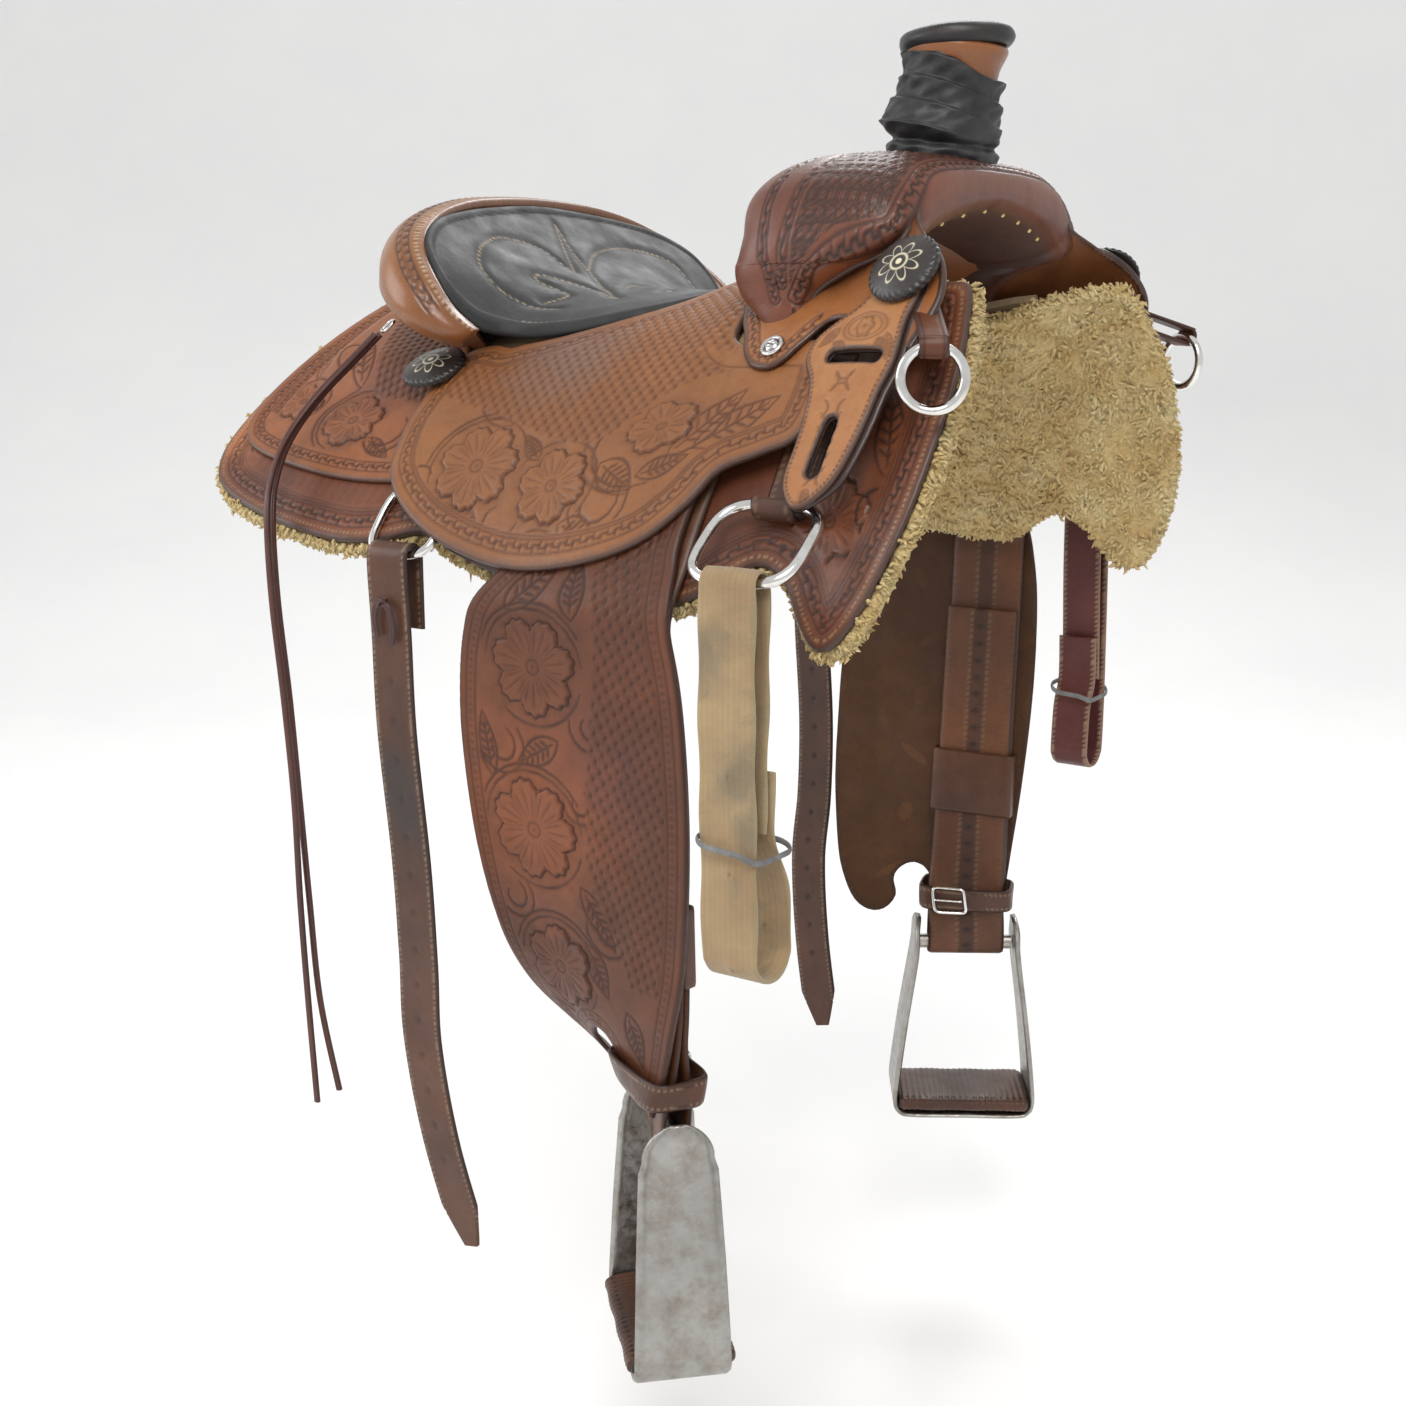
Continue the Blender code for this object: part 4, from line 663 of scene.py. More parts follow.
def make_materials():
    made = {}
    tan_dark = (0.085, 0.022, 0.008)
    grey_wear = (0.20, 0.115, 0.085)
    made["seat"] = leather(
        "jockey_leather", (0.375, 0.145, 0.052), tan_dark, (0.085, 0.050, 0.040),
        warm=(0.47, 0.182, 0.056), thread=(0.6, 0.4, 0.2),
        patches=(
            ((-0.015, -0.185, 0.04), 0.065, grey_wear, 0.75),
            ((0.11, -0.20, 0.07), 0.05, (0.50, 0.20, 0.08), 0.5),
        ),
        depth=0.60,
    )
    made["rear"] = leather(
        "rear_jockey_leather", (0.33, 0.110, 0.042), (0.060, 0.016, 0.008), (0.10, 0.050, 0.035),
        warm=(0.44, 0.150, 0.050),
        patches=(
            ((-0.19, -0.20, 0.02), 0.05, (0.13, 0.035, 0.02), 0.8),
            ((-0.20, -0.24, -0.03), 0.02, (0.05, 0.035, 0.03), 0.7),
        ),
    )
    made["skirt"] = leather(
        "skirt_leather", (0.165, 0.050, 0.024), (0.022, 0.008, 0.005), (0.055, 0.030, 0.022),
        warm=(0.30, 0.090, 0.032),
        thread=(0.34, 0.22, 0.12), rough=0.38, coat=0.2,
        patches=(
            ((-0.325, -0.20, -0.03), 0.075, (0.42, 0.15, 0.055), 0.9),
            ((0.28, -0.29, -0.09), 0.05, (0.02, 0.015, 0.013), 0.8),
        ),
    )
    made["fender"] = leather(
        "fender_leather", (0.150, 0.046, 0.019), (0.026, 0.009, 0.006), (0.050, 0.020, 0.013),
        warm=(0.245, 0.074, 0.026), rough=0.45, depth=0.60, coat=0.05,
        patches=(
            ((0.10, -0.30, -0.26), 0.07, (0.09, 0.030, 0.022), 0.7),
            ((0.03, -0.28, -0.30), 0.10, (0.30, 0.085, 0.026), 0.5),
        ),
    )
    made["suede"] = leather(
        "fender_flesh_side", (0.105, 0.043, 0.018), (0.03, 0.015, 0.008), (0.06, 0.028, 0.016),
        warm=(0.21, 0.088, 0.031), rough=0.75, coat=0.0, grain=2.5,
    )
    made["swell"] = leather(
        "swell_leather", (0.150, 0.048, 0.028), (0.018, 0.008, 0.006), (0.030, 0.016, 0.012),
        warm=(0.24, 0.072, 0.034), rough=0.34, coat=0.25,
        thread=(0.25, 0.085, 0.034),
    )
    made["welt"] = leather(
        "bevelled_edge_leather", (0.060, 0.032, 0.026), (0.02, 0.01, 0.008), (0.04, 0.022, 0.018),
        warm=(0.10, 0.050, 0.036), rough=0.30, coat=0.3,
    )
    made["caramel"] = leather(
        "smooth_swell_leather", (0.36, 0.125, 0.040), (0.08, 0.025, 0.012), (0.05, 0.022, 0.014),
        warm=(0.46, 0.170, 0.052), rough=0.30, coat=0.35,
    )
    made["roll"] = leather(
        "cantle_leather", (0.42, 0.150, 0.045), (0.12, 0.040, 0.020), (0.12, 0.06, 0.04),
        warm=(0.54, 0.205, 0.058), rough=0.26, coat=0.5,
        thread=(0.42, 0.28, 0.14), grain=0.5, depth=0.50,
    )
    made["keeper"] = leather(
        "keeper_leather", (0.60, 0.245, 0.085), (0.20, 0.070, 0.028), (0.075, 0.045, 0.036),
        warm=(0.68, 0.300, 0.110),
        thread=(0.05, 0.025, 0.02), rough=0.40, coat=0.08, depth=0.56,
    )
    made["dark"] = leather(
        "dark_strap_leather", (0.088, 0.034, 0.018), (0.018, 0.009, 0.007), (0.026, 0.012, 0.009),
        warm=(0.165, 0.062, 0.028),
        thread=(0.28, 0.19, 0.12), rough=0.40,
        patches=(((-0.085, -0.31, -0.30), 0.05, (0.03, 0.022, 0.02), 0.8),),
    )
    made["strap"] = leather(
        "stirrup_strap_leather", (0.130, 0.045, 0.018), (0.024, 0.011, 0.008), (0.040, 0.020, 0.014),
        warm=(0.235, 0.082, 0.028),
        thread=(0.34, 0.24, 0.15), rough=0.44,
    )
    made["lace"] = leather(
        "lace_leather", (0.085, 0.026, 0.020), (0.02, 0.01, 0.01), (0.05, 0.02, 0.018),
        warm=(0.14, 0.045, 0.030), rough=0.36,
    )
    made["latigo"] = leather(
        "burgundy_leather", (0.100, 0.022, 0.022), (0.02, 0.01, 0.01), (0.26, 0.15, 0.10),
        warm=(0.15, 0.035, 0.03), thread=(0.3, 0.2, 0.12), rough=0.42,
    )
    made["charcoal"] = leather(
        "charcoal_seat_leather", (0.060, 0.062, 0.064), (0.010, 0.010, 0.011), (0.020, 0.020, 0.021),
        warm=(0.078, 0.080, 0.081), rough=0.56,
        thread=(0.36, 0.28, 0.19), coat=0.0, grain=0.6,
    )
    made["cap"] = leather(
        "horn_cap_leather", (0.026, 0.025, 0.026), (0.008, 0.008, 0.008), (0.045, 0.035, 0.03),
        warm=(0.045, 0.040, 0.038), rough=0.42, grain=1.3,
    )
    made["concho"] = leather(
        "concho_leather_inlaid", (0.034, 0.028, 0.026), (0.008, 0.007, 0.007), (0.014, 0.011, 0.010),
        warm=(0.05, 0.04, 0.036),
        rough=0.30, coat=0.4, thread=(0.66, 0.60, 0.42),
    )
    made["rawhide"] = leather(
        "rawhide", (0.55, 0.42, 0.26), (0.25, 0.17, 0.10), (0.40, 0.28, 0.16), rough=0.55, coat=0.0,
    )
    made["chrome"] = metal("chrome", (0.88, 0.88, 0.87), 0.13, (0.66, 0.62, 0.55), 0.05)
    made["steel"] = metal("worn_steel", (0.55, 0.52, 0.48), 0.30, (0.22, 0.19, 0.16), 0.1)
    made["aluminium"] = metal("cast_aluminium", (0.42, 0.41, 0.39), 0.36, (0.25, 0.21, 0.17), 0.3)
    made["brass"] = metal("brass", (0.80, 0.60, 0.28), 0.28, (0.40, 0.26, 0.10), 0.1)

    n = Nodes("sheepskin")
    shade = n.mix(n.ramp(n.noise(28.0, 4.0), 0.35, 0.65), (0.80, 0.57, 0.23), (0.95, 0.78, 0.41))
    shade = n.mix(n.ramp(n.noise(240.0, 4.0, 0.7), 0.42, 0.7, 0.0, 0.55), shade, (0.46, 0.28, 0.085))
    # Painted shade: darker where the mat dips between its lumps and at the roots of the locks.
    shade = n.mix(n.math("MULTIPLY", n.recess, 0.8), shade, (0.36, 0.21, 0.065))
    shade = n.mix(n.ramp(n.noise(9.0, 3.0), 0.5, 0.72, 0.0, 0.5), shade, (0.50, 0.31, 0.10))
    n.set(Base_Color=shade, Roughness=0.95, Sheen_Weight=0.2, Sheen_Roughness=0.5)
    n.set(Subsurface_Weight=0.08, Subsurface_Scale=0.006)
    wool = n.bump(n.noise(420.0, 5.0, 0.7, distortion=0.8), 0.9, 0.003)
    n.set(Normal=n.bump(n.noise(130.0, 3.0, distortion=1.2), 0.6, 0.006, wool))
    made["wool"] = n.material

    n = Nodes("rubber")
    shade = n.mix(n.ramp(n.noise(70.0, 4.0), 0.4, 0.7), (0.012, 0.012, 0.013), (0.030, 0.030, 0.032))
    shade = n.mix(n.ramp(n.noise(14.0, 3.0), 0.5, 0.7, 0.0, 0.3), shade, (0.07, 0.065, 0.06))
    n.set(Base_Color=shade, Roughness=n.ramp(n.noise(60.0, 3.0), 0.3, 0.7, 0.42, 0.62))
    n.set(Normal=n.bump(n.noise(350.0, 4.0), 0.15, 0.002))
    made["rubber"] = n.material

    n = Nodes("grey_rubber_band")
    shade = n.mix(n.ramp(n.noise(90.0, 4.0), 0.4, 0.7), (0.13, 0.13, 0.13), (0.22, 0.215, 0.21))
    n.set(Base_Color=shade, Roughness=0.7, Normal=n.bump(n.noise(500.0, 3.0), 0.2, 0.001))
    made["band"] = n.material

    n = Nodes("nylon_webbing")
    shade = n.mix(n.ramp(n.noise(11.0, 4.0), 0.35, 0.65), (0.29, 0.19, 0.095), (0.42, 0.30, 0.155))
    clouds = n.ramp(n.noise(30.0, 4.0, distortion=1.0), 0.52, 0.68, 0.0, 0.75)
    shade = n.mix(clouds, shade, (0.24, 0.18, 0.10))
    stains = (
        ((0.200, -0.325, -0.16), 0.030), ((0.235, -0.325, -0.235), 0.035), ((0.240, -0.325, -0.27), 0.02),
    )
    for centre, reach in stains:
        shade = n.mix(n.math("MULTIPLY", n.patch(centre, reach), 0.65), shade, (0.125, 0.105, 0.075))
    shade = n.mix(n.math("MULTIPLY", n.recess, 0.75), shade, (0.12, 0.09, 0.055))
    shade = n.mix(n.edge, shade, (0.30, 0.27, 0.16))
    n.set(Base_Color=shade, Roughness=0.88, Sheen_Weight=0.3)
    weave = n.bump(n.noise(1100.0, 2.0, stretch=(0.35, 1, 1)), 0.5, 0.0012)
    n.set(Normal=n.bump(n.noise(60.0, 3.0), 0.25, 0.004, weave))
    made["webbing"] = n.material

    n = Nodes("studio_floor")
    shade = n.mix(n.ramp(n.noise(3.0, 3.0), 0.3, 0.7), (0.90, 0.90, 0.90), (0.93, 0.93, 0.925))
    n.set(Base_Color=shade, Roughness=0.9)
    made["floor"] = n.material
    return made


MATERIALS = make_materials()


# ---- Sheets on the sides: skirts, rear jockeys, seat, keepers ----

SKIRT_OUTLINE = (
    (-0.325, -0.026), (-0.325, -0.026), (-0.334, 0.100), (-0.334, 0.205), (-0.322, 0.250),
    (-0.292, 0.273), (-0.230, 0.286), (-0.160, 0.289), (-0.120, 0.281), (-0.083, 0.266), (-0.048, 0.275),
    (0.010, 0.285), (0.070, 0.289), (0.130, 0.300), (0.163, 0.296), (0.200, 0.276), (0.226, 0.290),
    (0.242, 0.315), (0.258, 0.332), (0.276, 0.327), (0.296, 0.290), (0.312, 0.225), (0.316, 0.140),
    (0.304, 0.072), (0.288, 0.064), (0.255, 0.068), (0.200, 0.070), (0.160, 0.052), (0.120, 0.012),
    (0.060, 0.004), (-0.100, 0.004), (-0.200, 0.002), (-0.250, -0.020),
)
REAR_JOCKEY_OUTLINE = (
    (-0.314, -0.022), (-0.314, -0.022), (-0.324, 0.100), (-0.325, 0.175), (-0.314, 0.214),
    (-0.280, 0.232), (-0.200, 0.240), (-0.140, 0.236), (-0.112, 0.224), (-0.108, 0.180), (-0.112, 0.145),
    (-0.130, 0.110), (-0.155, 0.080), (-0.180, 0.050), (-0.190, 0.020), (-0.192, -0.022),
    (-0.192, -0.022),
)
PAD_EDGE = (
    (0.066, 0.000), (0.060, 0.040), (0.036, 0.088), (-0.005, 0.120), (-0.045, 0.143), (-0.086, 0.158),
    (-0.103, 0.178), (-0.120, 0.189), (-0.139, 0.184), (-0.153, 0.169), (-0.165, 0.144), (-0.173, 0.111),
    (-0.179, 0.068), (-0.183, 0.000),
)
SEAT_EDGE = (
    (0.118, 0.0), (0.118, 0.060), (0.118, 0.130), (0.132, 0.152), (0.175, 0.160), (0.216, 0.168),
    (0.216, 0.168), (0.222, 0.205), (0.216, 0.242), (0.190, 0.254), (0.163, 0.264), (0.148, 0.287),
    (0.120, 0.313), (0.070, 0.328), (0.000, 0.331), (-0.070, 0.318), (-0.116, 0.288), (-0.135, 0.246),
    (-0.137, 0.215), (-0.136, 0.192), (-0.130, 0.172), (-0.120, 0.158), (-0.102, 0.152),
)
KEEPER_OUTLINE = (
    (0.252, 0.072), (0.240, 0.098), (0.216, 0.113), (0.205, 0.125), (0.205, 0.141), (0.216, 0.159),
    (0.221, 0.182), (0.222, 0.205), (0.221, 0.226), (0.225, 0.239), (0.236, 0.249), (0.251, 0.242),
    (0.263, 0.227), (0.271, 0.203), (0.275, 0.183), (0.277, 0.167), (0.281, 0.151), (0.282, 0.137),
    (0.281, 0.115), (0.283, 0.088), (0.268, 0.062),
)
PAD_THICK = 0.010


def grid_lines(outline, step, fine_low=None):
    """Grid lines over an outline. Where fine_low is given, across lines above it are coarser."""
    outline = np.asarray(outline)
    low, high = outline.min(0) - step, outline.max(0) + step
    lines_a = np.arange(low[0], high[0] + step, step)
    if fine_low is None:
        return lines_a, np.arange(low[1], high[1] + step, step)
    fine = np.arange(low[1], fine_low, step)
    return lines_a, np.concatenate((fine, np.arange(fine_low, high[1] + FAR_STEP, FAR_STEP)))


def side_step(side):
    return NEAR_STEP if side < 0 else FAR_STEP


def skirt_relief(a, b, depth, where):
    lift, dark = chain(depth, where, 0.0165, half=0.0042, period=0.0128)
    thread_lift, thread, holes = stitches(depth, where, 0.0062, 0.0040)
    inner = np.maximum(groove(depth - 0.0245, 0.0009), 0.6 * groove(depth - 0.0275, 0.0009))
    more, petals, _ = flower(a, b, (0.249, 0.246), 0.030, petals=6, turn=0.4)
    scrolls = [
        arc((0.262, 0.292), 0.016, -40, 200, 0.5),
        arc((0.262, 0.292), 0.022, -30, 190, 0.8),
        arc((0.285, 0.235), 0.020, 100, 300, 0.6),
        arc((-0.300, 0.235), 0.022, 60, 330, 0.6),
        arc((-0.300, 0.235), 0.030, 60, 330, 0.75),
        arc((-0.300, 0.235), 0.014, 60, 330, 0.5),
    ]
    scrolls += leaf((0.285, 0.215), (0.270, 0.150), 0.011)
    cuts, lines = strokes(a, b, scrolls)
    field = smoothstep((depth - 0.0295) / 0.003)
    dots = 0.35 * np.abs(np.sin(a * 2600) * np.sin(b * 2450 + a * 900))
    stipple = field * dots * (np.abs(a + 0.18) < 0.10)
    more, petals, cuts, lines = more * field, petals * field, cuts * field, lines * field
    dark = dark + 0.8 * inner + petals + lines + stipple + 0.5 * holes
    edge = 0.75 * smoothstep((0.0062 - depth) / 0.005)
    lift = lift + thread_lift + more + cuts - 0.0006 * inner - 0.0002 * stipple
    return lift, painted(dark, edge, 0.7 * thread)


def make_skirts():
    outline = curve(SKIRT_OUTLINE, 0.006, closed=True)
    for word, side in SIDES:
        step = side_step(side) * 1.15
        mesh = sheet_mesh(
            f"skirt_leather_{word}", outline, grid_lines(outline, step),
            lambda a, b, h, side=side: side_point(side, a, b, SKIRT_LOW + h), SKIRT_HIGH - SKIRT_LOW,
            skirt_relief,
        )
        show(mesh, "skirt", "saddle", [f"skirt_{word}"])
        make_fleece(word, side, outline)


def make_fleece(word, side, outline):
    """The sheepskin lining: a lumpy mat, with locks of wool along its edge and over its inner face."""
    step = 0.0035
    random = np.random.default_rng(5 + side)

    def wool_lift(a, b):
        lumps = np.sin(a * 310 + 2 * np.sin(b * 170)) * np.sin(b * 290 + 2 * np.sin(a * 190))
        return lumps * 0.0014 + 0.0009 * np.sin(a * 830 + 3 * b * 100) * np.sin(b * 910)

    def relief(a, b, depth, where):
        lift = wool_lift(a, b)
        # Painted shade: the mat is darkened where its wool dips low between lumps.
        return np.minimum(lift - 0.0012, 0.0008), painted(np.clip(0.5 - lift / 0.003, 0, 1) * 0.7)

    def place(a, b, h):
        bulge = np.where(h < 0.002, -np.abs(wool_lift(a, b)) * 1.5, 0)
        return side_point(side, a, b, h + bulge)

    middle = np.array((0.0, 0.14))
    away = np.maximum(np.linalg.norm(outline - middle, axis=1, keepdims=True), 0.05)
    grown = middle + (outline - middle) * (1 + 0.004 / away)
    mesh = sheet_mesh(f"fleece_mat_{word}", grown, grid_lines(grown, step), place, FLEECE_THICK, relief)
    mat = show(mesh, "wool", "saddle", [f"fleece_{word}"])
    count_edge, count_face = ((5200, 9000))
    starts, ways = [], []
    loop = np.concatenate((outline, outline[:1]))
    pick = random.random(count_edge) * len(outline)
    base = pick.astype(int)
    part = (pick - base)[:, None]
    flat = loop[base] * (1 - part) + loop[base + 1] * part
    run = unit(loop[base + 1] - loop[base])
    out = np.stack((run[:, 1], -run[:, 0]), 1)
    out = np.where((out * (flat - middle)).sum(1, keepdims=True) > 0, out, -out)
    height = random.random(count_edge) * 0.010
    inset = random.random(count_edge)[:, None] * 0.004
    spot = flat - out * inset
    starts.append(side_point(side, spot[:, 0], spot[:, 1], height))
    reach = out * 0.007 + run * random.normal(0, 0.0035, (count_edge, 1))
    tip = spot + reach
    tip_height = height - 0.001 + random.normal(0, 0.002, count_edge)
    ends = side_point(side, tip[:, 0], tip[:, 1], tip_height)
    ways.append(ends - starts[0])
    low, high = outline.min(0), outline.max(0)
    face = low + random.random((count_face * 2, 2)) * (high - low)
    inside, _, _, _ = loop_field(face[:, 0], face[:, 1], outline)
    face = face[inside > 0.004][:count_face]
    starts.append(side_point(side, face[:, 0], face[:, 1], 0.001))
    lean = random.normal(0, 0.0045, (len(face), 2)) + (0.0, 0.003)
    ends = side_point(side, face[:, 0] + lean[:, 0], face[:, 1] + lean[:, 1], -0.0035)
    ways.append(ends - starts[1])
    locks = lock_mesh(f"fleece_locks_{word}", np.concatenate(starts), np.concatenate(ways), random)
    show(locks, "wool", "saddle")


def lock_mesh(name, starts, ways, random):
    """Many curled locks of wool, each a tapering five-sided horn."""
    count = len(starts)
    sides, rows = 5, 4
    run = unit(ways)
    first = unit(np.cross(run, random.normal(0, 1, (count, 3))))
    second = np.cross(run, first)
    thick = random.uniform(0.0011, 0.0022, count)
    curl = random.normal(0, 0.0022, (count, 2))
    points = []
    for row in range(rows):
        t = row / (rows - 1)
        middle = starts + ways * t + (first * curl[:, :1] + second * curl[:, 1:]) * math.sin(t * 2.4)
        width = thick * (1.0, 1.1, 0.75, 0.12)[row]
        for k in range(sides):
            angle = 2 * math.pi * k / sides + 0.4 * row
            points.append(middle + (first * math.cos(angle) + second * math.sin(angle)) * width[:, None])
    points = np.stack(points, 1)
    quads = []
    for row in range(rows - 1):
        for k in range(sides):
            a, b = row * sides + k, row * sides + (k + 1) % sides
            quads.append((a, b, b + sides, a + sides))
    caps = [(0, k + 1, k) for k in range(1, sides - 1)]
    last = (rows - 1) * sides
    caps += [(last, last + k, last + k + 1) for k in range(1, sides - 1)]
    base = (np.arange(count) * sides * rows)[:, None, None]
    faces = (np.array(quads)[None] + base).reshape(-1, 4)
    ends = (np.array(caps)[None] + base).reshape(-1, 3)
    # Painted shade: each lock is darkened towards its root, where it grows out of the mat.
    paint = painted(np.repeat((0.5, 0.22, 0.08, 0.0), sides)[None] * random.uniform(0.4, 1.0, (count, 1)))
    return make_mesh(name, points.reshape(-1, 3), faces, ends, paint.reshape(-1, 3))


def rear_under(x, s):
    over = (0.0186 + 0.014 - SKIRT_HIGH) * smoothstep((0.165 - s) / 0.05)
    return SKIRT_HIGH + 0.001 + over * smoothstep((x + 0.300) / 0.035)


def rear_relief(a, b, depth, where):
    lift, dark = chain(depth, where, 0.0125, half=0.0034, period=0.0108)
    second, second_dark = chain(depth, where, 0.0235, half=0.0026, period=0.0100)
    outer = (a < -0.22) & (b < 0.19)
    lift, dark = lift + second * outer, dark + second_dark * outer
    field = smoothstep((depth - 0.0185 - 0.011 * outer) / 0.002)
    one, one_dark, one_in = flower(a, b, (-0.207, 0.184), 0.027, petals=6, turn=0.5)
    two, two_dark, two_in = flower(a, b, (-0.278, 0.172), 0.021, petals=6, turn=1.0)
    weave, weave_dark = basket(a * 0.94 + b * 0.34, b * 0.94 - a * 0.34)
    slant = (a + 0.215) * 0.85 + (0.150 - b) * 0.4 - 0.002
    patch = smoothstep(slant / 0.006) * (1 - one_in) * (1 - two_in) * field
    patch *= smoothstep((0.158 - b) / 0.006)
    scrolls = [
        arc((-0.207, 0.184), 0.034, 100, 290, 1.0),
        arc((-0.207, 0.184), 0.038, 120, 240, 1.0),
        arc((-0.165, 0.190), 0.020, -60, 150, 0.6),
        arc((-0.165, 0.190), 0.026, -50, 140, 0.8),
        arc((-0.278, 0.172), 0.028, 200, 400, 0.9),
        arc((-0.255, 0.120), 0.020, 20, 290, 0.4),
    ]
    scrolls += leaf((-0.225, 0.150), (-0.250, 0.100), 0.010) + leaf((-0.180, 0.200), (-0.145, 0.215), 0.007)
    scrolls += leaf((-0.285, 0.145), (-0.292, 0.095), 0.009)
    cuts, lines = strokes(a, b, scrolls)
    free = (1 - one_in) * (1 - two_in) * (1 - patch)
    total = lift + (one + two) * field + weave * patch + cuts * field * free
    dark = dark + (one_dark + two_dark) * field + weave_dark * patch + 0.12 * patch + lines * field * free
    return total, painted(dark, 0.9 * smoothstep((0.0045 - depth) / 0.004))


def make_rear_jockeys():
    outline = curve(REAR_JOCKEY_OUTLINE, 0.006, closed=True)
    for word, side in SIDES:
        mesh = sheet_mesh(
            f"rear_jockey_leather_{word}", outline, grid_lines(outline, side_step(side)),
            lambda a, b, h, side=side: side_point(side, a, b, rear_under(a, b) + h), 0.004, rear_relief,
        )
        show(mesh, "rear", "saddle", [f"rear_jockey_{word}"])


def pad_outline(gap, step):
    half = list(PAD_EDGE)
    loop = half + [(x, -y) for x, y in reversed(half[1:-1])]
    flat = curve(loop, step, closed=True)
    run = unit(np.roll(flat, -1, 0) - np.roll(flat, 1, 0))
    return np.stack((flat[:, 0] - run[:, 1] * gap, flat[:, 1] + run[:, 0] * gap), 1)


def across_at(x, y):
    """How far across the unrolled seat leather a point with this y lies."""
    low, high = 0.0, SIDE_LENGTH
    for _ in range(26):
        middle = (low + high) / 2
        if side_point(1, x, middle, OVER_BARS + 0.003)[1] < y:
            low = middle
        else:
            high = middle
    inner = side_point(1, x, 0.0, OVER_BARS + 0.003)[1]
    return CENTRE_HALF * y / inner if y < inner else CENTRE_HALF + low


def seat_outline():
    pad = [p for p in pad_outline(-0.0022, 0.006) if p[1] > -1e-6 and p[0] > -0.088]
    pad.sort(key=lambda p: -math.atan2(p[1], p[0] + 0.088))
    notch = [(x, across_at(x, y)) for x, y in pad]
    half = [tuple(p) for p in curve(SEAT_EDGE, 0.006)] + notch
    return np.array(half + [(x, -w) for x, w in reversed(half) if w > 1e-6])


# The lower edge of the seat's basket stamping: x, and how far down the side
SEAT_WEAVE_EDGE = (
    (-0.16, 0.150), (-0.102, 0.166), (-0.043, 0.176), (0.033, 0.192), (0.063, 0.183), (0.086, 0.158),
    (0.121, 0.136), (0.158, 0.128), (0.230, 0.120),
)


def seat_relief(a, b, depth, where):
    s = np.abs(b) - CENTRE_HALF
    lift, dark = chain(depth, where, 0.0150, half=0.0040, period=0.0120)
    front = smoothstep((a - 0.095) / 0.01) * smoothstep((0.150 - s) / 0.02)
    near_pad = smoothstep((0.12 - s) / 0.02) * (a > -0.115)
    keep = (1 - front) * (1 - 0.55 * near_pad * smoothstep((a + 0.02) / 0.03))
    lift, dark = lift * keep, dark * keep
    inner = groove(depth - 0.0225, 0.0009) * (1 - near_pad)
    field = smoothstep((depth - 0.0235) / 0.002) * (1 - near_pad)
    field = field + near_pad * smoothstep((depth - 0.0205 * keep - 0.003) / 0.003)
    flowers = [
        flower(a, s, (-0.042, 0.216), 0.033, petals=7, turn=0.3),
        flower(a, s, (0.031, 0.223), 0.028, petals=6, turn=0.9),
        flower(
            a * 0.94 - s * 0.34, s * 0.94 + a * 0.34, (0.037, 0.2005), 0.026, petals=5, turn=0.4,
            flat=0.75,
        ),
    ]
    taken = np.clip(sum(f[2] for f in flowers), 0, 1)
    edge_line = along(SEAT_WEAVE_EDGE, a)[..., 0]
    patch = smoothstep((edge_line - s) / 0.004) * field * (1 - taken)
    weave, weave_dark = basket(a * 0.98 - s * 0.18, s * 0.98 + a * 0.18)
    scrolls = [
        arc((-0.042, 0.216), 0.041, 150, 330, 1.0),
        arc((-0.042, 0.216), 0.045, 170, 300, 1.0),
        arc((0.031, 0.223), 0.036, -160, 30, 1.0),
        arc((0.092, 0.192), 0.040, 60, 250, 0.9, 0.8),
        arc((0.092, 0.192), 0.046, 80, 230, 1.0, 0.8),
        arc((0.075, 0.235), 0.020, -60, 200, 0.5),
        arc((0.075, 0.235), 0.026, -40, 180, 0.8),
        arc((-0.005, 0.250), 0.018, 0, 240, 0.5),
        arc((-0.085, 0.235), 0.018, 80, 320, 0.5),
        arc((0.185, 0.205), 0.030, 150, 300, 0.6, 0.7),
        arc((0.185, 0.205), 0.038, 150, 300, 0.7, 0.7),
    ]
    for base, tip, width in (
        ((-0.030, 0.180), (-0.078, 0.150), 0.012),
        ((0.010, 0.205), (-0.012, 0.186), 0.006),
        ((0.050, 0.250), (0.085, 0.262), 0.011),
        ((0.065, 0.205), (0.100, 0.225), 0.012),
        ((0.118, 0.200), (0.160, 0.150), 0.012),
        ((0.135, 0.195), (0.190, 0.160), 0.012),
        ((0.100, 0.215), (0.135, 0.200), 0.008),
        ((-0.060, 0.245), (-0.020, 0.258), 0.010),
        ((0.020, 0.260), (0.060, 0.268), 0.009),
    ):
        scrolls += leaf(base, tip, width)
    cuts, lines = strokes(a, s, scrolls, 0.0011)
    free = (1 - taken) * (1 - patch) * field
    bloom = sum(f[0] for f in flowers) * field
    bloom_dark = sum(f[1] for f in flowers) * field
    total = lift + bloom * (1 - patch) + weave * patch + cuts * free - 0.0006 * inner
    dark = dark + 0.8 * inner + bloom_dark * (1 - patch) + weave_dark * patch + lines * free
    band = 0.55 * smoothstep((0.0085 - depth) / 0.007) * (1 - near_pad)
    return total, painted(dark * 0.85, band)


def make_seat():
    outline = seat_outline()
    mesh = sheet_mesh(
        "seat_jockey_leather", outline, grid_lines(outline, NEAR_STEP, -0.03),
        seat_point, 0.005, seat_relief,
    )
    show(mesh, "seat", "saddle", ["seat_leather"])
    make_pad()


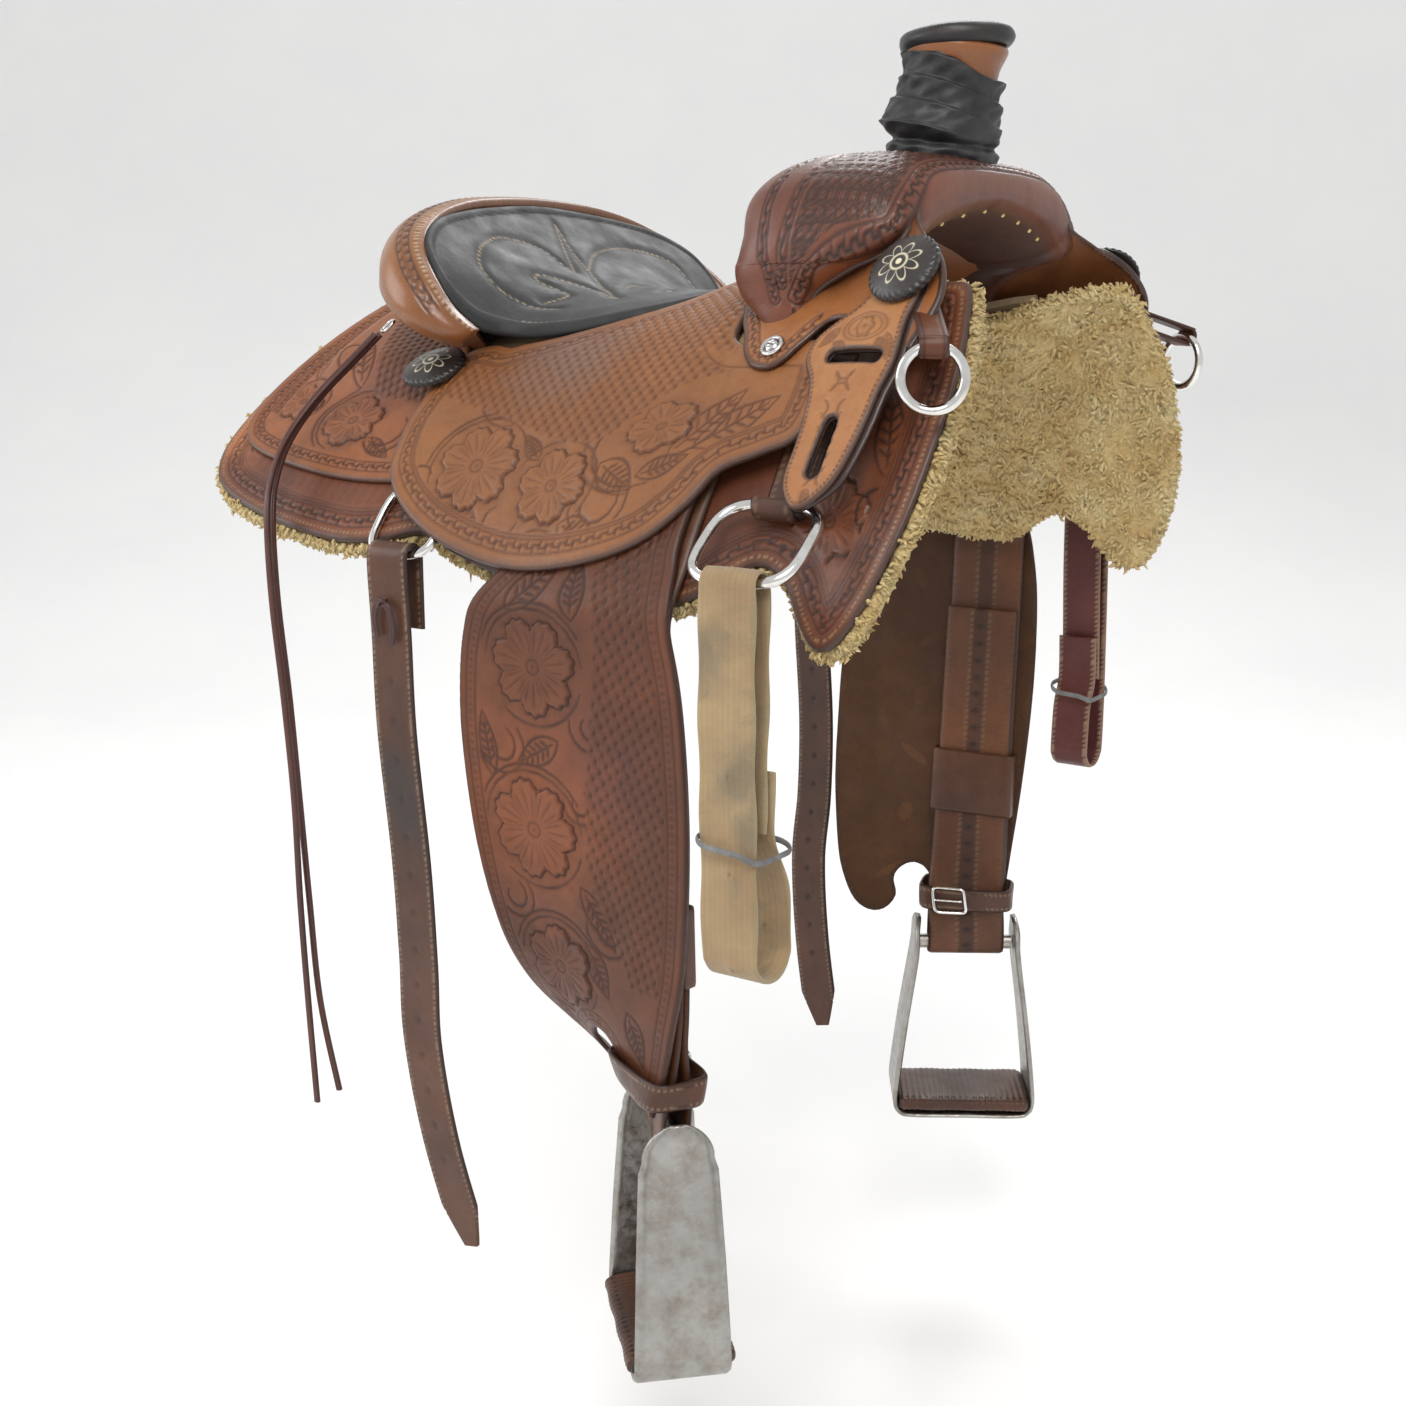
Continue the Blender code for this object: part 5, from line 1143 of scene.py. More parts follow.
# The pad's stitched ornament, on its plan: a spike between two scrolls
PAD_LINES = (
    ((-0.168, 0.007), (-0.140, -0.014), (-0.113, -0.039)),
    ((-0.168, 0.007), (-0.140, -0.004), (-0.112, -0.021), (-0.080, -0.046), (-0.045, -0.076)),
    (
        (-0.113, -0.039), (-0.143, -0.045), (-0.152, -0.074), (-0.148, -0.104), (-0.134, -0.131),
        (-0.122, -0.141), (-0.109, -0.139), (-0.097, -0.129), (-0.072, -0.116),
    ),
    (
        (-0.089, -0.114), (-0.085, -0.087), (-0.097, -0.084), (-0.111, -0.093), (-0.112, -0.080),
        (-0.088, -0.055), (-0.045, -0.076),
    ),
    (
        (-0.112, -0.021), (-0.134, 0.016), (-0.143, 0.046), (-0.146, 0.080), (-0.141, 0.111),
        (-0.129, 0.134), (-0.107, 0.134),
    ),
    ((-0.071, -0.030), (-0.084, 0.009), (-0.060, 0.020), (-0.026, -0.036)),
)


def cushion_point(a, b, h):
    """The cushion fills out over the roll at the back."""
    back = smoothstep((-0.075 - a) / 0.07)
    z = seat_surface(a, b) - PAD_THICK + h + 0.0065 * back
    return np.stack((a - 0.006 * back, b * (1 + 0.025 * back), z), -1)


def make_pad():
    """The quilted seat: a full cushion whose stitched lines pull in, with a rolled edge."""
    outline = pad_outline(-0.0010, 0.006)
    scrolls = [curve(points, 0.006) for points in PAD_LINES]

    def relief(a, b, depth, where):
        crown = 0.0030 * smoothstep(depth / 0.030) - 0.0022
        rope = 0.0022 * dome((depth - 0.0035) / 0.0036)
        lift = crown + rope
        pull = np.zeros(a.shape)
        thread = np.zeros(a.shape)
        for points in scrolls:
            far, along_line = line_distance(a, b, points)
            pitch = 0.0052 / (len(points) * 0.006)
            dash = dashes(along_line, pitch, soft=0.1)
            pull = np.maximum(pull, groove(far, 0.0045))
            thread = np.maximum(thread, groove(far, 0.0008) * dash)
        seam_lift, seam, _ = stitches(depth, where, 0.0085, 0.0046)
        front = (a > -0.086).astype(float)
        seam = seam * front
        wrinkle = 0.0005 * np.sin(a * 190 + 4 * np.sin(b * 33)) * smoothstep((depth - 0.01) / 0.02)
        lift = lift - 0.0020 * pull + wrinkle + 0.0004 * thread + seam_lift * front
        # Painted shade: the valleys where the stitched lines pull the cushion in are darkened.
        dark = 0.45 * pull + 0.8 * groove(depth - 0.0072, 0.0009)
        return lift, painted(dark, 0.0, np.clip(thread + 0.8 * seam, 0, 1))

    lines = grid_lines(outline, max(NEAR_STEP, 0.0015))
    mesh = sheet_mesh("seat_cushion", outline, lines, cushion_point, PAD_THICK, relief)
    cushion = show(mesh, "charcoal", "saddle", ["seat_pad"])


# ---- Cantle ----

ROLL_INNER = (
    (-0.098, 0.182, 0.046), (-0.110, 0.195, 0.062), (-0.125, 0.1975, 0.083), (-0.143, 0.189, 0.102),
    (-0.158, 0.173, 0.119), (-0.170, 0.147, 0.133), (-0.178, 0.113, 0.144), (-0.184, 0.069, 0.151),
    (-0.188, 0.000, 0.154),
)
ROLL_OUTER = (
    (-0.108, 0.198, 0.034), (-0.126, 0.212, 0.040), (-0.150, 0.219, 0.055), (-0.174, 0.211, 0.073),
    (-0.192, 0.193, 0.089), (-0.210, 0.163, 0.104), (-0.223, 0.120, 0.114), (-0.231, 0.070, 0.120),
    (-0.235, 0.000, 0.123),
)
ROLL_SHAPE = (
    (0.02, 0.001), (0.20, 0.010), (0.50, 0.014), (0.80, 0.010), (1.00, 0.000), (0.92, -0.007),
    (0.50, -0.009), (0.20, -0.006), (0.02, -0.002),
)


def whole(points):
    return list(points) + [(p[0], -p[1], *p[2:]) for p in reversed(points[:-1])]


def make_cantle():
    rows = 420
    inner, outer = evenly(whole(ROLL_INNER), rows), evenly(whole(ROLL_OUTER), rows)
    run = unit(np.gradient(inner, axis=0))
    out = outer - inner
    up = unit(np.cross(run, out))
    up = np.where(up[:, 2:] < 0, -up, up)
    # A closed loop of section points: first the crown from inner to outer edge, then back underneath
    crown = 46
    top = np.array(ROLL_SHAPE[:5])
    fine_top = evenly(top * (1, 3), crown - 1) / (1, 3)
    under = evenly(np.array(ROLL_SHAPE[4:]) * (1, 3), 17) / (1, 3)
    shape = np.concatenate((fine_top, under[1:-1]))
    ends = np.minimum(np.arange(rows + 1), rows - np.arange(rows + 1)) / rows
    swell = (0.35 + 0.65 * dome(1 - np.clip(ends / 0.03, 0, 1)))[:, None, None]
    grid = inner[:, None, :] + out[:, None, :] * shape[None, :, :1]
    grid = grid + up[:, None, :] * shape[None, :, 1:] * swell
    length = run_length(inner)[:, None]
    over = np.where(np.arange(len(shape)) < crown, shape[:, 0], -1.0)[None, :]
    wide = np.linalg.norm(out, axis=1)[:, None]
    far = over * wide
    shown = over >= 0
    dash = dashes(length, 0.0046)
    seam = groove(far - 0.0062, 0.0010) * shown
    panel_in, panel_out = 0.0105, 0.0200
    end_taper = smoothstep((ends[:, None] - 0.045) / 0.02)
    border = np.maximum(groove(far - panel_in, 0.0009), groove(far - panel_out, 0.0009)) * shown * end_taper
    panel = ((far > panel_in) & (far < panel_out) & shown) * end_taper
    weave, weave_dark = basket(length + 0 * far, far + 0 * length - panel_in, 0.0090, 0.0048)
    lift = 0.9 * weave * panel - 0.0008 * border + 0.0004 * seam * dash - 0.0005 * seam * (1 - dash)
    dark = weave_dark * panel * 0.9 + 0.9 * border + 0.7 * seam * (1 - dash) + 0.15 * panel
    edge = np.where(shown, 0.55 * smoothstep((0.0035 - far) / 0.003), 0.35)
    paint = painted(dark, edge, seam * dash)
    mesh = skin_mesh("cantle_roll_leather", grid, lift=lift, paint=paint)
    show(mesh, "roll", "saddle", ["cantle_roll"])
    refinish("cantle_back", "rear")


# ---- Swell and horn ----

# The swell from its right tip to the top: y, z, half depth, half length along X and centre x
SWELL_ARCH = (
    (0.1500, 0.046, 0.003, 0.004, 0.159), (0.1480, 0.055, 0.007, 0.012, 0.156),
    (0.1445, 0.065, 0.011, 0.021, 0.152), (0.1420, 0.077, 0.015, 0.029, 0.153),
    (0.1410, 0.091, 0.019, 0.043, 0.165), (0.1395, 0.106, 0.022, 0.058, 0.185),
    (0.1240, 0.125, 0.026, 0.063, 0.184), (0.0900, 0.140, 0.025, 0.064, 0.185),
    (0.0450, 0.147, 0.020, 0.063, 0.187), (0.0000, 0.150, 0.017, 0.061, 0.189),
)
COVER_OUT = 0.0062
# Tooled borders on the swell, as x and the way up from its tip
SWELL_BORDER = (
    (0.172, 0.020), (0.177, 0.030), (0.188, 0.046), (0.205, 0.053), (0.228, 0.058), (0.243, 0.063),
    (0.2475, 0.072), (0.2475, 0.095), (0.245, 0.115), (0.246, 0.140), (0.248, 0.215),
)
SWELL_REAR_LINE = (
    (0.157, 0.018), (0.154, 0.040), (0.149, 0.058), (0.147, 0.075), (0.148, 0.100), (0.155, 0.150),
    (0.165, 0.215),
)
SWELL_SECOND_LINE = (
    (0.163, 0.030), (0.166, 0.050), (0.169, 0.065), (0.171, 0.080), (0.174, 0.100), (0.178, 0.130),
    (0.180, 0.215),
)
HORN_BASE = np.array((0.203, 0.0, 0.1735))
HORN_TOP = np.array((0.213, 0.0, 0.248))
CAP_RADIUS = 0.042
CAP_TILT = math.radians(4.0)


def swell_grid(step, turns, grow):
    """Rows from the right tip over the top to the left tip, each a rounded section."""
    half = curve(SWELL_ARCH, step)
    rows = np.concatenate((half * (-1, 1, 1, 1, 1), half[-2::-1]))
    y, z, tall, long, x = rows.T
    run = unit(np.stack((np.gradient(y), np.gradient(z)), 1))
    angle = round_angles(turns)
    c, s = np.cos(angle), np.sin(angle)
    along_x = rounded(c, 0.75) * (long + grow)[:, None]
    out = rounded(s, 0.75) * (tall + grow)[:, None]
    places = (x[:, None] + along_x, y[:, None] - out * run[:, 1:], z[:, None] + out * run[:, :1])
    return np.stack(places, -1), rows, angle


def stamps(p, q, size):
    """Small four-petalled stamps in offset rows."""
    row = np.floor(q / size)
    u = np.mod(p / size + 0.5 * np.mod(row, 2), 1) - 0.5
    v = q / size - row - 0.5
    far, angle = np.hypot(u, v), np.arctan2(v, u) + 0.8 * row
    rim = far - 0.42 * (0.5 + 0.5 * np.abs(np.cos(2 * angle)))
    line = groove(rim * size, 0.0009)
    heart = groove(far * size, 0.0010)
    ground = smoothstep(rim / 0.12)
    lift = 0.0006 * (1 - ground) - 0.0008 * line - 0.0004 * heart
    return lift, np.clip(0.85 * line + 0.7 * heart + 0.55 * ground, 0, 1)


def line_x(line, up):
    table = np.array(line)
    return np.interp(up, table[:, 1], table[:, 0])


def line_depth(x, up, line):
    """How far behind a border line on the swell each point is, and how far along the line."""
    far, where = line_distance(x, up, curve(line, 0.004))
    return np.where(x < line_x(line, up), far, -far), where


def make_swell():
    grid, rows, angle = swell_grid(0.0013, 380, COVER_OUT)
    length = run_length(rows[:, :2])
    up = np.minimum(length, length[-1] - length)[:, None] + 0 * angle[None]
    x = grid[..., 0]
    outer = smoothstep((np.sin(angle)[None] + 0.15) / 0.2) + 0 * up
    depth, where = line_depth(x, up, SWELL_BORDER)
    edge_lift, edge_dark = chain(depth, where * 0.30, 0.0, half=0.0036, period=0.0112)
    lift, dark = edge_lift * outer, edge_dark * outer
    for line, half in ((SWELL_REAR_LINE, 0.0030), (SWELL_SECOND_LINE, 0.0028)):
        off, where = line_depth(x, up, line)
        more, more_dark = chain(off, where * 0.20, 0.0, half=half, period=0.0105)
        lift, dark = lift + more * outer, dark + more_dark * outer
    start = line_x(SWELL_SECOND_LINE, up) + 0.0055
    panel = smoothstep((x - start) / 0.002) * smoothstep((depth - 0.0062) / 0.002) * outer
    around = np.cumsum(np.linalg.norm(grid - np.roll(grid, 1, 1), axis=2), axis=1)
    stamp, stamp_dark = stamps(around, up, 0.0080)
    lift, dark = lift + stamp * panel, dark + stamp_dark * panel
    smooth = smoothstep((-depth - 0.0048) / 0.003) * outer
    low = smoothstep((0.085 - up) / 0.03)
    # Painted shade: the inside of the arch, over the gullet, is darkened.
    gullet_shade = 0.75 * smoothstep((-np.sin(angle)[None] - 0.35) / 0.4) + 0 * up
    paint = painted(dark + gullet_shade, 0.0, smooth * (0.25 + 0.6 * low))
    mesh = skin_mesh("swell_leather_cover", grid, lift=lift, paint=paint)
    show(mesh, "swell", "saddle", ["swell_cover", "tree_fork"])
    for word, side in SIDES:
        make_swell_flap(word, side)
    make_nails()


# The lower flap on each side: from under the swell down to the screw, and forward under the keeper
FLAP_OUTLINE = (
    (0.100, 0.010), (0.106, 0.050), (0.119, 0.078), (0.133, 0.100), (0.143, 0.119), (0.156, 0.133),
    (0.172, 0.138), (0.183, 0.132), (0.191, 0.121), (0.206, 0.104), (0.228, 0.108), (0.255, 0.125),
    (0.282, 0.138), (0.291, 0.122), (0.298, 0.100), (0.297, 0.082), (0.288, 0.066), (0.272, 0.050),
    (0.255, 0.030), (0.240, 0.000), (0.160, -0.010),
)


def make_swell_flap(word, side):
    outline = curve(FLAP_OUTLINE, 0.004, closed=True)

    def place(a, b, h):
        return side_point(side, a, b, 0.0380 + h + 0.0014 * smoothstep((0.197 - a) / 0.012))

    def relief(a, b, depth, where):
        tip = (a < 0.198).astype(float)
        lift, dark = chain(depth, where, 0.0080, half=0.0034, period=0.0108)
        rear = smoothstep((0.0042 - depth) / 0.003)
        # Painted shade: the top of the flap, where it goes under the swell, is darkened.
        shade = 0.55 * smoothstep((0.100 - b) / 0.05)
        return lift * tip, painted(dark * tip + shade, 0.9 * rear)

    mesh = sheet_mesh(
        f"swell_flap_{word}", outline, grid_lines(outline, max(side_step(side) * 0.8, 0.001)), place,
        0.0036, relief,
    )
    show(mesh, "caramel", "saddle")
    grid, _, _ = swell_grid(0.004, 64, COVER_OUT)
    half = len(grid) // 2
    rows = grid[:half] if side < 0 else grid[:half:-1]
    front, above = rows[:, 3], rows[:, 0]
    path = (front + above) / 2
    path = path[path[:, 2] < 0.118]
    lip = [
        (0.250, 0.060, 0.043), (0.262, 0.052, 0.043), (0.276, 0.056, 0.042), (0.290, 0.070, 0.0415),
        (0.2975, 0.090, 0.041), (0.296, 0.108, 0.040), (0.287, 0.134, 0.039),
    ]
    lip = side_point(side, *(np.array(v) for v in zip(*lip)))
    path = evenly(np.concatenate((path, lip)), 150)
    mesh = skin_mesh(f"swell_welt_{word}", sweep_grid(path, (0.3, 0.2, 1.0), circle(0.0026, 12)))
    show(mesh, "welt", "saddle")


def make_nails():
    """Brass nails round the gullet's lip."""
    grid, rows, _ = swell_grid(0.003, 72, COVER_OUT)
    nail = [
        (0.0004, -0.0010), (0.0016, -0.0010), (0.0021, 0.0001), (0.0017, 0.0009), (0.0009, 0.0013),
        (0.0004, 0.0014),
    ]
    for k, y in enumerate((-0.080, -0.045, -0.010, 0.025, 0.055, 0.080, 0.100)):
        top = len(rows) // 4 + np.argmin(np.abs(rows[len(rows) // 4 : -len(rows) // 4, 0] - y))
        spot = grid[top, 64]
        centre = np.array((rows[top, 4], rows[top, 0], rows[top, 1]))
        mesh = turned_mesh(f"gullet_nail_{k}", nail, spot, unit(spot - centre), 20)
        show(mesh, "brass", "saddle")


def make_horn():
    up = unit(HORN_TOP - HORN_BASE)
    tall = float(np.linalg.norm(HORN_TOP - HORN_BASE))
    turns = 140

    def neck(radius, height, angle):
        radius = radius + 0.0012 * np.cos(angle - 0.6)
        # Painted shade: the collar is darkened below the top of the rubber wrap, where it goes under it.
        return radius, height, painted(0.5 * smoothstep((tall - 0.018 - height) / 0.01))

    profile = [
        (0.002, tall - 0.050), (0.0335, tall - 0.050), (0.0335, tall - 0.030), (0.0350, tall - 0.012),
        (0.0375, tall + 0.006), (0.002, tall + 0.006),
    ]
    mesh = turned_mesh("horn_neck_collar", evenly(profile, 60), HORN_BASE, up, turns, neck)
    show(mesh, "caramel", "saddle", ["horn_neck_leather"])
    count = 110
    t = np.linspace(0, 1, count)[:, None]
    angle = round_angles(turns)[None]
    # The wrap is highest at the back right, where it meets the cap, and lower in front
    high = tall - 0.0170 + 0.0190 * smoothstep(0.5 + 0.62 * np.cos(angle - math.radians(35)))
    height = -0.012 + (high + 0.012) * t
    bulge = groove(height - 0.020 - 0.004 * np.cos(angle), 0.014)
    bulge = bulge * (0.35 + 0.65 * np.cos(0.5 * (angle - math.radians(60))) ** 4)
    base = 0.0368 + 0.0010 * (1 - t) + 0.0105 * bulge
    turn = height / 0.0165 - 0.42 * np.cos(angle - math.radians(35)) + 0.10 * np.sin(2 * angle + 1)
    fold = np.mod(turn, 1.0)
    ridge = 0.0030 * (fold**1.4) * (1 - smoothstep((fold - 0.90) / 0.10))
    ridge = ridge * smoothstep((height - 0.012) / 0.01)
    ring = 0.0034 * np.exp(-(((height - 0.0010) / 0.0058) ** 4)) - 0.0030 * groove(height - 0.0095, 0.0028)
    twist = 0.0009 * np.sin(5 * angle + height * 260) + 0.0005 * np.sin(11 * angle - height * 500)
    radius = base + ridge + ring + twist
    radius = radius * (1 - 0.20 * smoothstep((t - 0.975) / 0.025))
    radius = radius * (1 - 0.25 * smoothstep((0.02 - t) / 0.02))
    first = unit(np.cross(up, (0, 1, 0)))
    second = np.cross(up, first)
    ray = np.cos(angle)[..., None] * first + np.sin(angle)[..., None] * second
    grid = HORN_BASE + up * height[..., None] + ray * radius[..., None]
    mesh = skin_mesh("horn_rubber_wrap", grid)
    show(mesh, "rubber", "saddle", ["horn_wrap"])
    cap_axis = np.array((-math.sin(CAP_TILT), 0, math.cos(CAP_TILT)))
    rim = [
        (0.001, -0.0040), (CAP_RADIUS - 0.0085, -0.0040), (CAP_RADIUS - 0.0030, -0.0032),
        (CAP_RADIUS - 0.0002, 0.0), (CAP_RADIUS + 0.0006, 0.0038), (CAP_RADIUS - 0.0010, 0.0078),
        (CAP_RADIUS - 0.0052, 0.0106), (CAP_RADIUS - 0.012, 0.0116), (0.015, 0.0126), (0.001, 0.0128),
    ]

    def cap_lift(radius, height, angle):
        stitch = groove(radius - (CAP_RADIUS - 0.0055), 0.0009) * (height > 0.009)
        wear = 0.0004 * np.sin(angle * 5) * np.sin(height * 500)
        rim_wear = 0.7 * groove(height - 0.004, 0.0025) * (radius > CAP_RADIUS - 0.004)
        paint = painted(stitch * 0.8, rim_wear * (0.5 + 0.5 * np.sin(angle * 3 + 1)))
        return radius + wear * (radius > 0.03), height - 0.0006 * stitch, paint

    mesh = turned_mesh(
        "horn_cap_cover", evenly(rim, 70), HORN_TOP + up * 0.004, cap_axis, turns,
        cap_lift,
    )
    show(mesh, "cap", "saddle", ["horn_cap"])


# ---- Rigging and straps ----

# Rings: x, down, height, half length, half height, outward lean and the wire's radius
FRONT_RING = (0.214, 0.272, 0.0440, 0.040, 0.036, 0.45, 0.0040)
REAR_RING = (-0.089, 0.262, 0.0236, 0.031, 0.030, 0.05, 0.0033)


def ring_path(side, ring, count=96):
    x, down, height, long, tall, lean, _ = ring
    centre = side_point(side, x, down, height)
    below = side_point(side, x, down + 0.01, height + 0.01 * lean)
    above = side_point(side, x, down - 0.01, height - 0.01 * lean)
    slope = unit(below - above)
    angle = 2 * math.pi * (np.arange(count) + 0.5) / count
    c, s = np.cos(angle), np.sin(angle)
    wide = (rounded(c, 0.6) * long)[:, None]
    low = (rounded(s, 0.6) * tall)[:, None]
    path = centre + wide * np.array((1.0, 0, 0)) + low * slope
    return path, unit(np.cross((1.0, 0, 0), slope))


def wire_mesh(name, path, normal, radius, sides=14):
    grid = sweep_grid(path, normal, circle(radius, sides), closed=True)
    return skin_mesh(name, grid, closed_rows=True)


def make_rings():
    for word, side in SIDES:
        rings = (("front", FRONT_RING, f"front_ring_{word}"), ("rear", REAR_RING, "saddle"))
        for place, ring, body in rings:
            path, normal = ring_path(side, ring)
            name = f"{place}_ring_wire_{word}"
            mesh = wire_mesh(name, path, normal, ring[6])
            show(mesh, "chrome", body, [f"{place}_rigging_ring_{word}"])
        make_ring_strap(word, side)


def make_ring_strap(word, side):
    x, down, height, _, tall, lean, wire = FRONT_RING
    top = down - tall / math.hypot(1, lean)
    level = height - lean * tall / math.hypot(1, lean)
    under, skin = SKIRT_HIGH + 0.0018, 0.0035
    middle = wire + 0.0038 + skin / 2
    points = [(0.118, under + skin / 2), (0.150, under + skin / 2), (0.190, under + skin / 2)]
    for k in range(12):
        angle = -math.pi * 0.62 + math.pi * 1.12 * k / 11
        points.append((top + math.cos(angle) * middle, level + math.sin(angle) * middle))
    line = evenly(points, 60)
    path = side_point(side, x, line[:, 0], line[:, 1])
    mesh = strap_mesh(f"ring_strap_{word}", path, (1, 0, 0), 0.033, skin, edge_stitch(0.033))
    show(mesh, "dark", "saddle", [f"front_rigging_strap_{word}"])


def edge_stitch(width, inset=0.0038, pitch=0.0045):
    """Relief for a strap: a stitched line along both edges, and dark burnished edges."""

    def relief(length, across, face):
        gap = width / 2 - np.abs(across)
        lift, thread, holes = stitches(gap, length, inset, pitch)
        return lift, painted(0.6 * holes, smoothstep((0.0026 - gap) / 0.002), thread)

    return relief


def plain_edge(width):
    def relief(length, across, face):
        gap = width / 2 - np.abs(across)
        ridge = groove(gap - 0.0032, 0.0009)
        return -0.0004 * ridge, painted(0.7 * ridge, smoothstep((0.0030 - gap) / 0.0024))

    return relief


def strap_mesh(name, path, across, width, thick, relief, widths=None, columns=15):
    """A strap along a path. Widths scales its width at each point."""
    widths = np.ones(len(path)) if widths is None else np.asarray(widths)
    scale = np.stack((widths, np.ones(len(path))), 1)
    grid = sweep_grid(path, across, strap_section(width, thick, columns), scale)
    length = run_length(path)[:, None]
    u = np.linspace(-1, 1, columns) * width / 2
    flat = np.concatenate((u, u[::-1]))[None] * widths[:, None]
    face = np.concatenate((np.ones(columns), -np.ones(columns)))[None] + 0 * length
    lift, paint = relief(length + 0 * flat, flat + 0 * length, face)
    return skin_mesh(name, grid, lift=lift, paint=paint)


FRONT_FOOT = (0.214, 0.30265, -0.11082)
REAR_FOOT = (-0.089, 0.29557, -0.11644)
# How far the middle of a strap lies from its ring's wire: front, rear
FRONT_FOLD = 0.0086
REAR_FOLD = 0.0084
BILLET_WIDTH = 0.040


def over_wire(x, y, z, radius):
    """Half a turn over a ring's wire, from the inner side at y to the outer side."""
    turns = [math.pi * k / 6 for k in range(7)]
    return [(x, y + radius - radius * math.cos(angle), z + radius * math.sin(angle)) for angle in turns]


def strap_drop(side, x, lean, foot, z_low, gap, radius):
    """A strap folded over a ring's wire and doubled in one long loop: its middle line."""
    y, z_top = foot[1] - radius, foot[2]
    y_out = y + 2 * radius
    points = [
        (x + lean * 0.6, y + 0.0105, z_top - 0.165),
        (x + lean * 0.4, y + 0.0065, z_top - 0.120),
        (x + lean * 0.1, y + 0.0015, z_top - 0.060),
        (x, y, z_top - 0.015),
        *over_wire(x, y, z_top, radius),
        (x, y_out, z_top - 0.015),
    ]
    points.append((x + lean * 0.3, y_out + 0.004, z_top - 0.090))
    points.append((x + lean * 0.9, y_out + 0.008, z_low + gap / 2 + 0.05))
    for k in range(7):
        angle = math.pi * k / 6
        shift = gap / 2 * (math.cos(angle) - 1)
        points.append((x + lean, y_out + 0.008 + shift, z_low + gap / 2 - gap / 2 * math.sin(angle)))
    points.append((x + lean * 0.9, y_out + 0.008 - gap * 0.92, z_low + gap / 2 + 0.04))
    points.append((x + lean * 0.7, y + 0.0010, z_top - 0.165))
    points.append((x + lean * 0.6, y - 0.0010, z_top - 0.125))
    path = curve(points, 0.0022)
    return path * (1, side, 1)


def hole_distance(run, across, start, pitch):
    """Distance to the nearest of a row of holes along a strap."""
    return np.hypot(np.mod(run - start, pitch) - pitch / 2, across)


def webbing_relief(length, across, face):
    ribs = np.sin(across * 2 * math.pi / 0.0042)
    gap = 0.022 - np.abs(across)
    hole = hole_distance(length, across - 0.003, 0.020, 0.066)
    near = (length > 0.30) & (length < 0.66)
    knot = groove(hole, 0.0052) * near
    eye = groove(hole, 0.0017) * near
    waves = 0.0006 * np.sin(length * 95) * np.abs(across) / 0.022
    dark = 0.22 * np.clip(-ribs, 0, 1) + 0.9 * eye - 0.2 * knot
    lift = 0.00018 * ribs + 0.0024 * knot - 0.0016 * eye + waves
    return lift, painted(dark, 0.5 * smoothstep((0.002 - gap) / 0.002))


def make_front_straps():
    for name, word, side, x, lean, width, low, gap, finish, relief, slot in (
        (
            "off_billet", "right", -1, 0.216, 0.008, 0.044, -0.378, 0.043, "webbing", webbing_relief,
            "nylon_webbing",
        ),
        (
            "latigo", "left", 1, 0.208, 0.000, 0.036, -0.358, 0.036, "latigo", edge_stitch(0.036, 0.003),
            "burgundy_leather",
        ),
    ):
        path = strap_drop(side, x, lean, FRONT_FOOT, low, gap, FRONT_FOLD)
        mesh = strap_mesh(
            f"{name}_strap", path, (1, 0, 0), width, 0.0034, relief, columns=31 if side < 0 else 15,
        )
        show(mesh, finish, name, [f"{name}_{word}"])
        depths = np.abs(path[np.abs(path[:, 2] + 0.290) < 0.03][:, 1])
        middle, deep = (depths.min() + depths.max()) / 2, (depths.max() - depths.min()) / 2 + 0.003 + 0.004
        angle = round_angles(80)
        wide = width / 2 + 0.0022
        loop = np.stack((
            x + lean * 0.8 + rounded(np.cos(angle), 0.35) * wide,
            side * (middle + rounded(np.sin(angle), 0.35) * deep),
            -0.286 - 0.006 * np.cos(angle) + 0.0015 * np.sin(angle),
        ), 1)
        grid = sweep_grid(loop, (0, 0, 1), circle(1.0, 12), np.tile((0.0022, 0.0011), (80, 1)), closed=True)
        mesh = skin_mesh(f"{name}_rubber_band", grid, closed_rows=True)
        show(mesh, "band", name, [f"{name}_band_{word}"])


def make_rear_billets():
    for word, side in SIDES:
        x, y, z = REAR_FOOT[0], REAR_FOOT[1] - REAR_FOLD, REAR_FOOT[2]
        y_out = y + 2 * REAR_FOLD
        points = [
            (x, y, z - 0.055),
            (x, y, z - 0.015),
            *over_wire(x, y, z, REAR_FOLD),
            (x, y_out, z - 0.015),
            (x + 0.002, y_out, -0.175),
            (x + 0.004, y_out, -0.250),
            (x + 0.012, y_out - 0.002, -0.350),
            (x + 0.013, y_out - 0.005, -0.430),
            (x + 0.010, y_out - 0.010, -0.500),
            (x + 0.020, y_out - 0.017, -0.585),
            (x + 0.040, y_out - 0.027, -0.672),
        ]
        path = curve(points, 0.0020) * (1, side, 1)
        length = run_length(path)
        left = length[-1] - length
        widths = np.clip(0.28 + left / 0.050, 0.28, 1.0) ** 0.8

        def relief(run, across, face, total=length[-1], side=side):
            gap = BILLET_WIDTH / 2 - np.abs(across)
            lift, thread, holes = stitches(gap, run, 0.0035, 0.0046)
            far = hole_distance(run, across, 0.010, 0.030)
            hole = groove(far, 0.0028) * (run > 0.13) * (run < total - 0.05) * (1.0 if side > 0 else 0.55)
            edge = smoothstep((0.0026 - gap) / 0.002)
            return lift - 0.0012 * hole, painted(0.6 * holes + hole, edge, thread * 0.8)

        mesh = strap_mesh(
            f"rear_billet_strap_{word}", path, (1, 0, 0), BILLET_WIDTH, 0.0036, relief, widths,
            columns=27,
        )
        show(mesh, "dark", f"rear_billet_{word}", [f"rear_billet_{word}"])
        make_billet_lace(word, side)


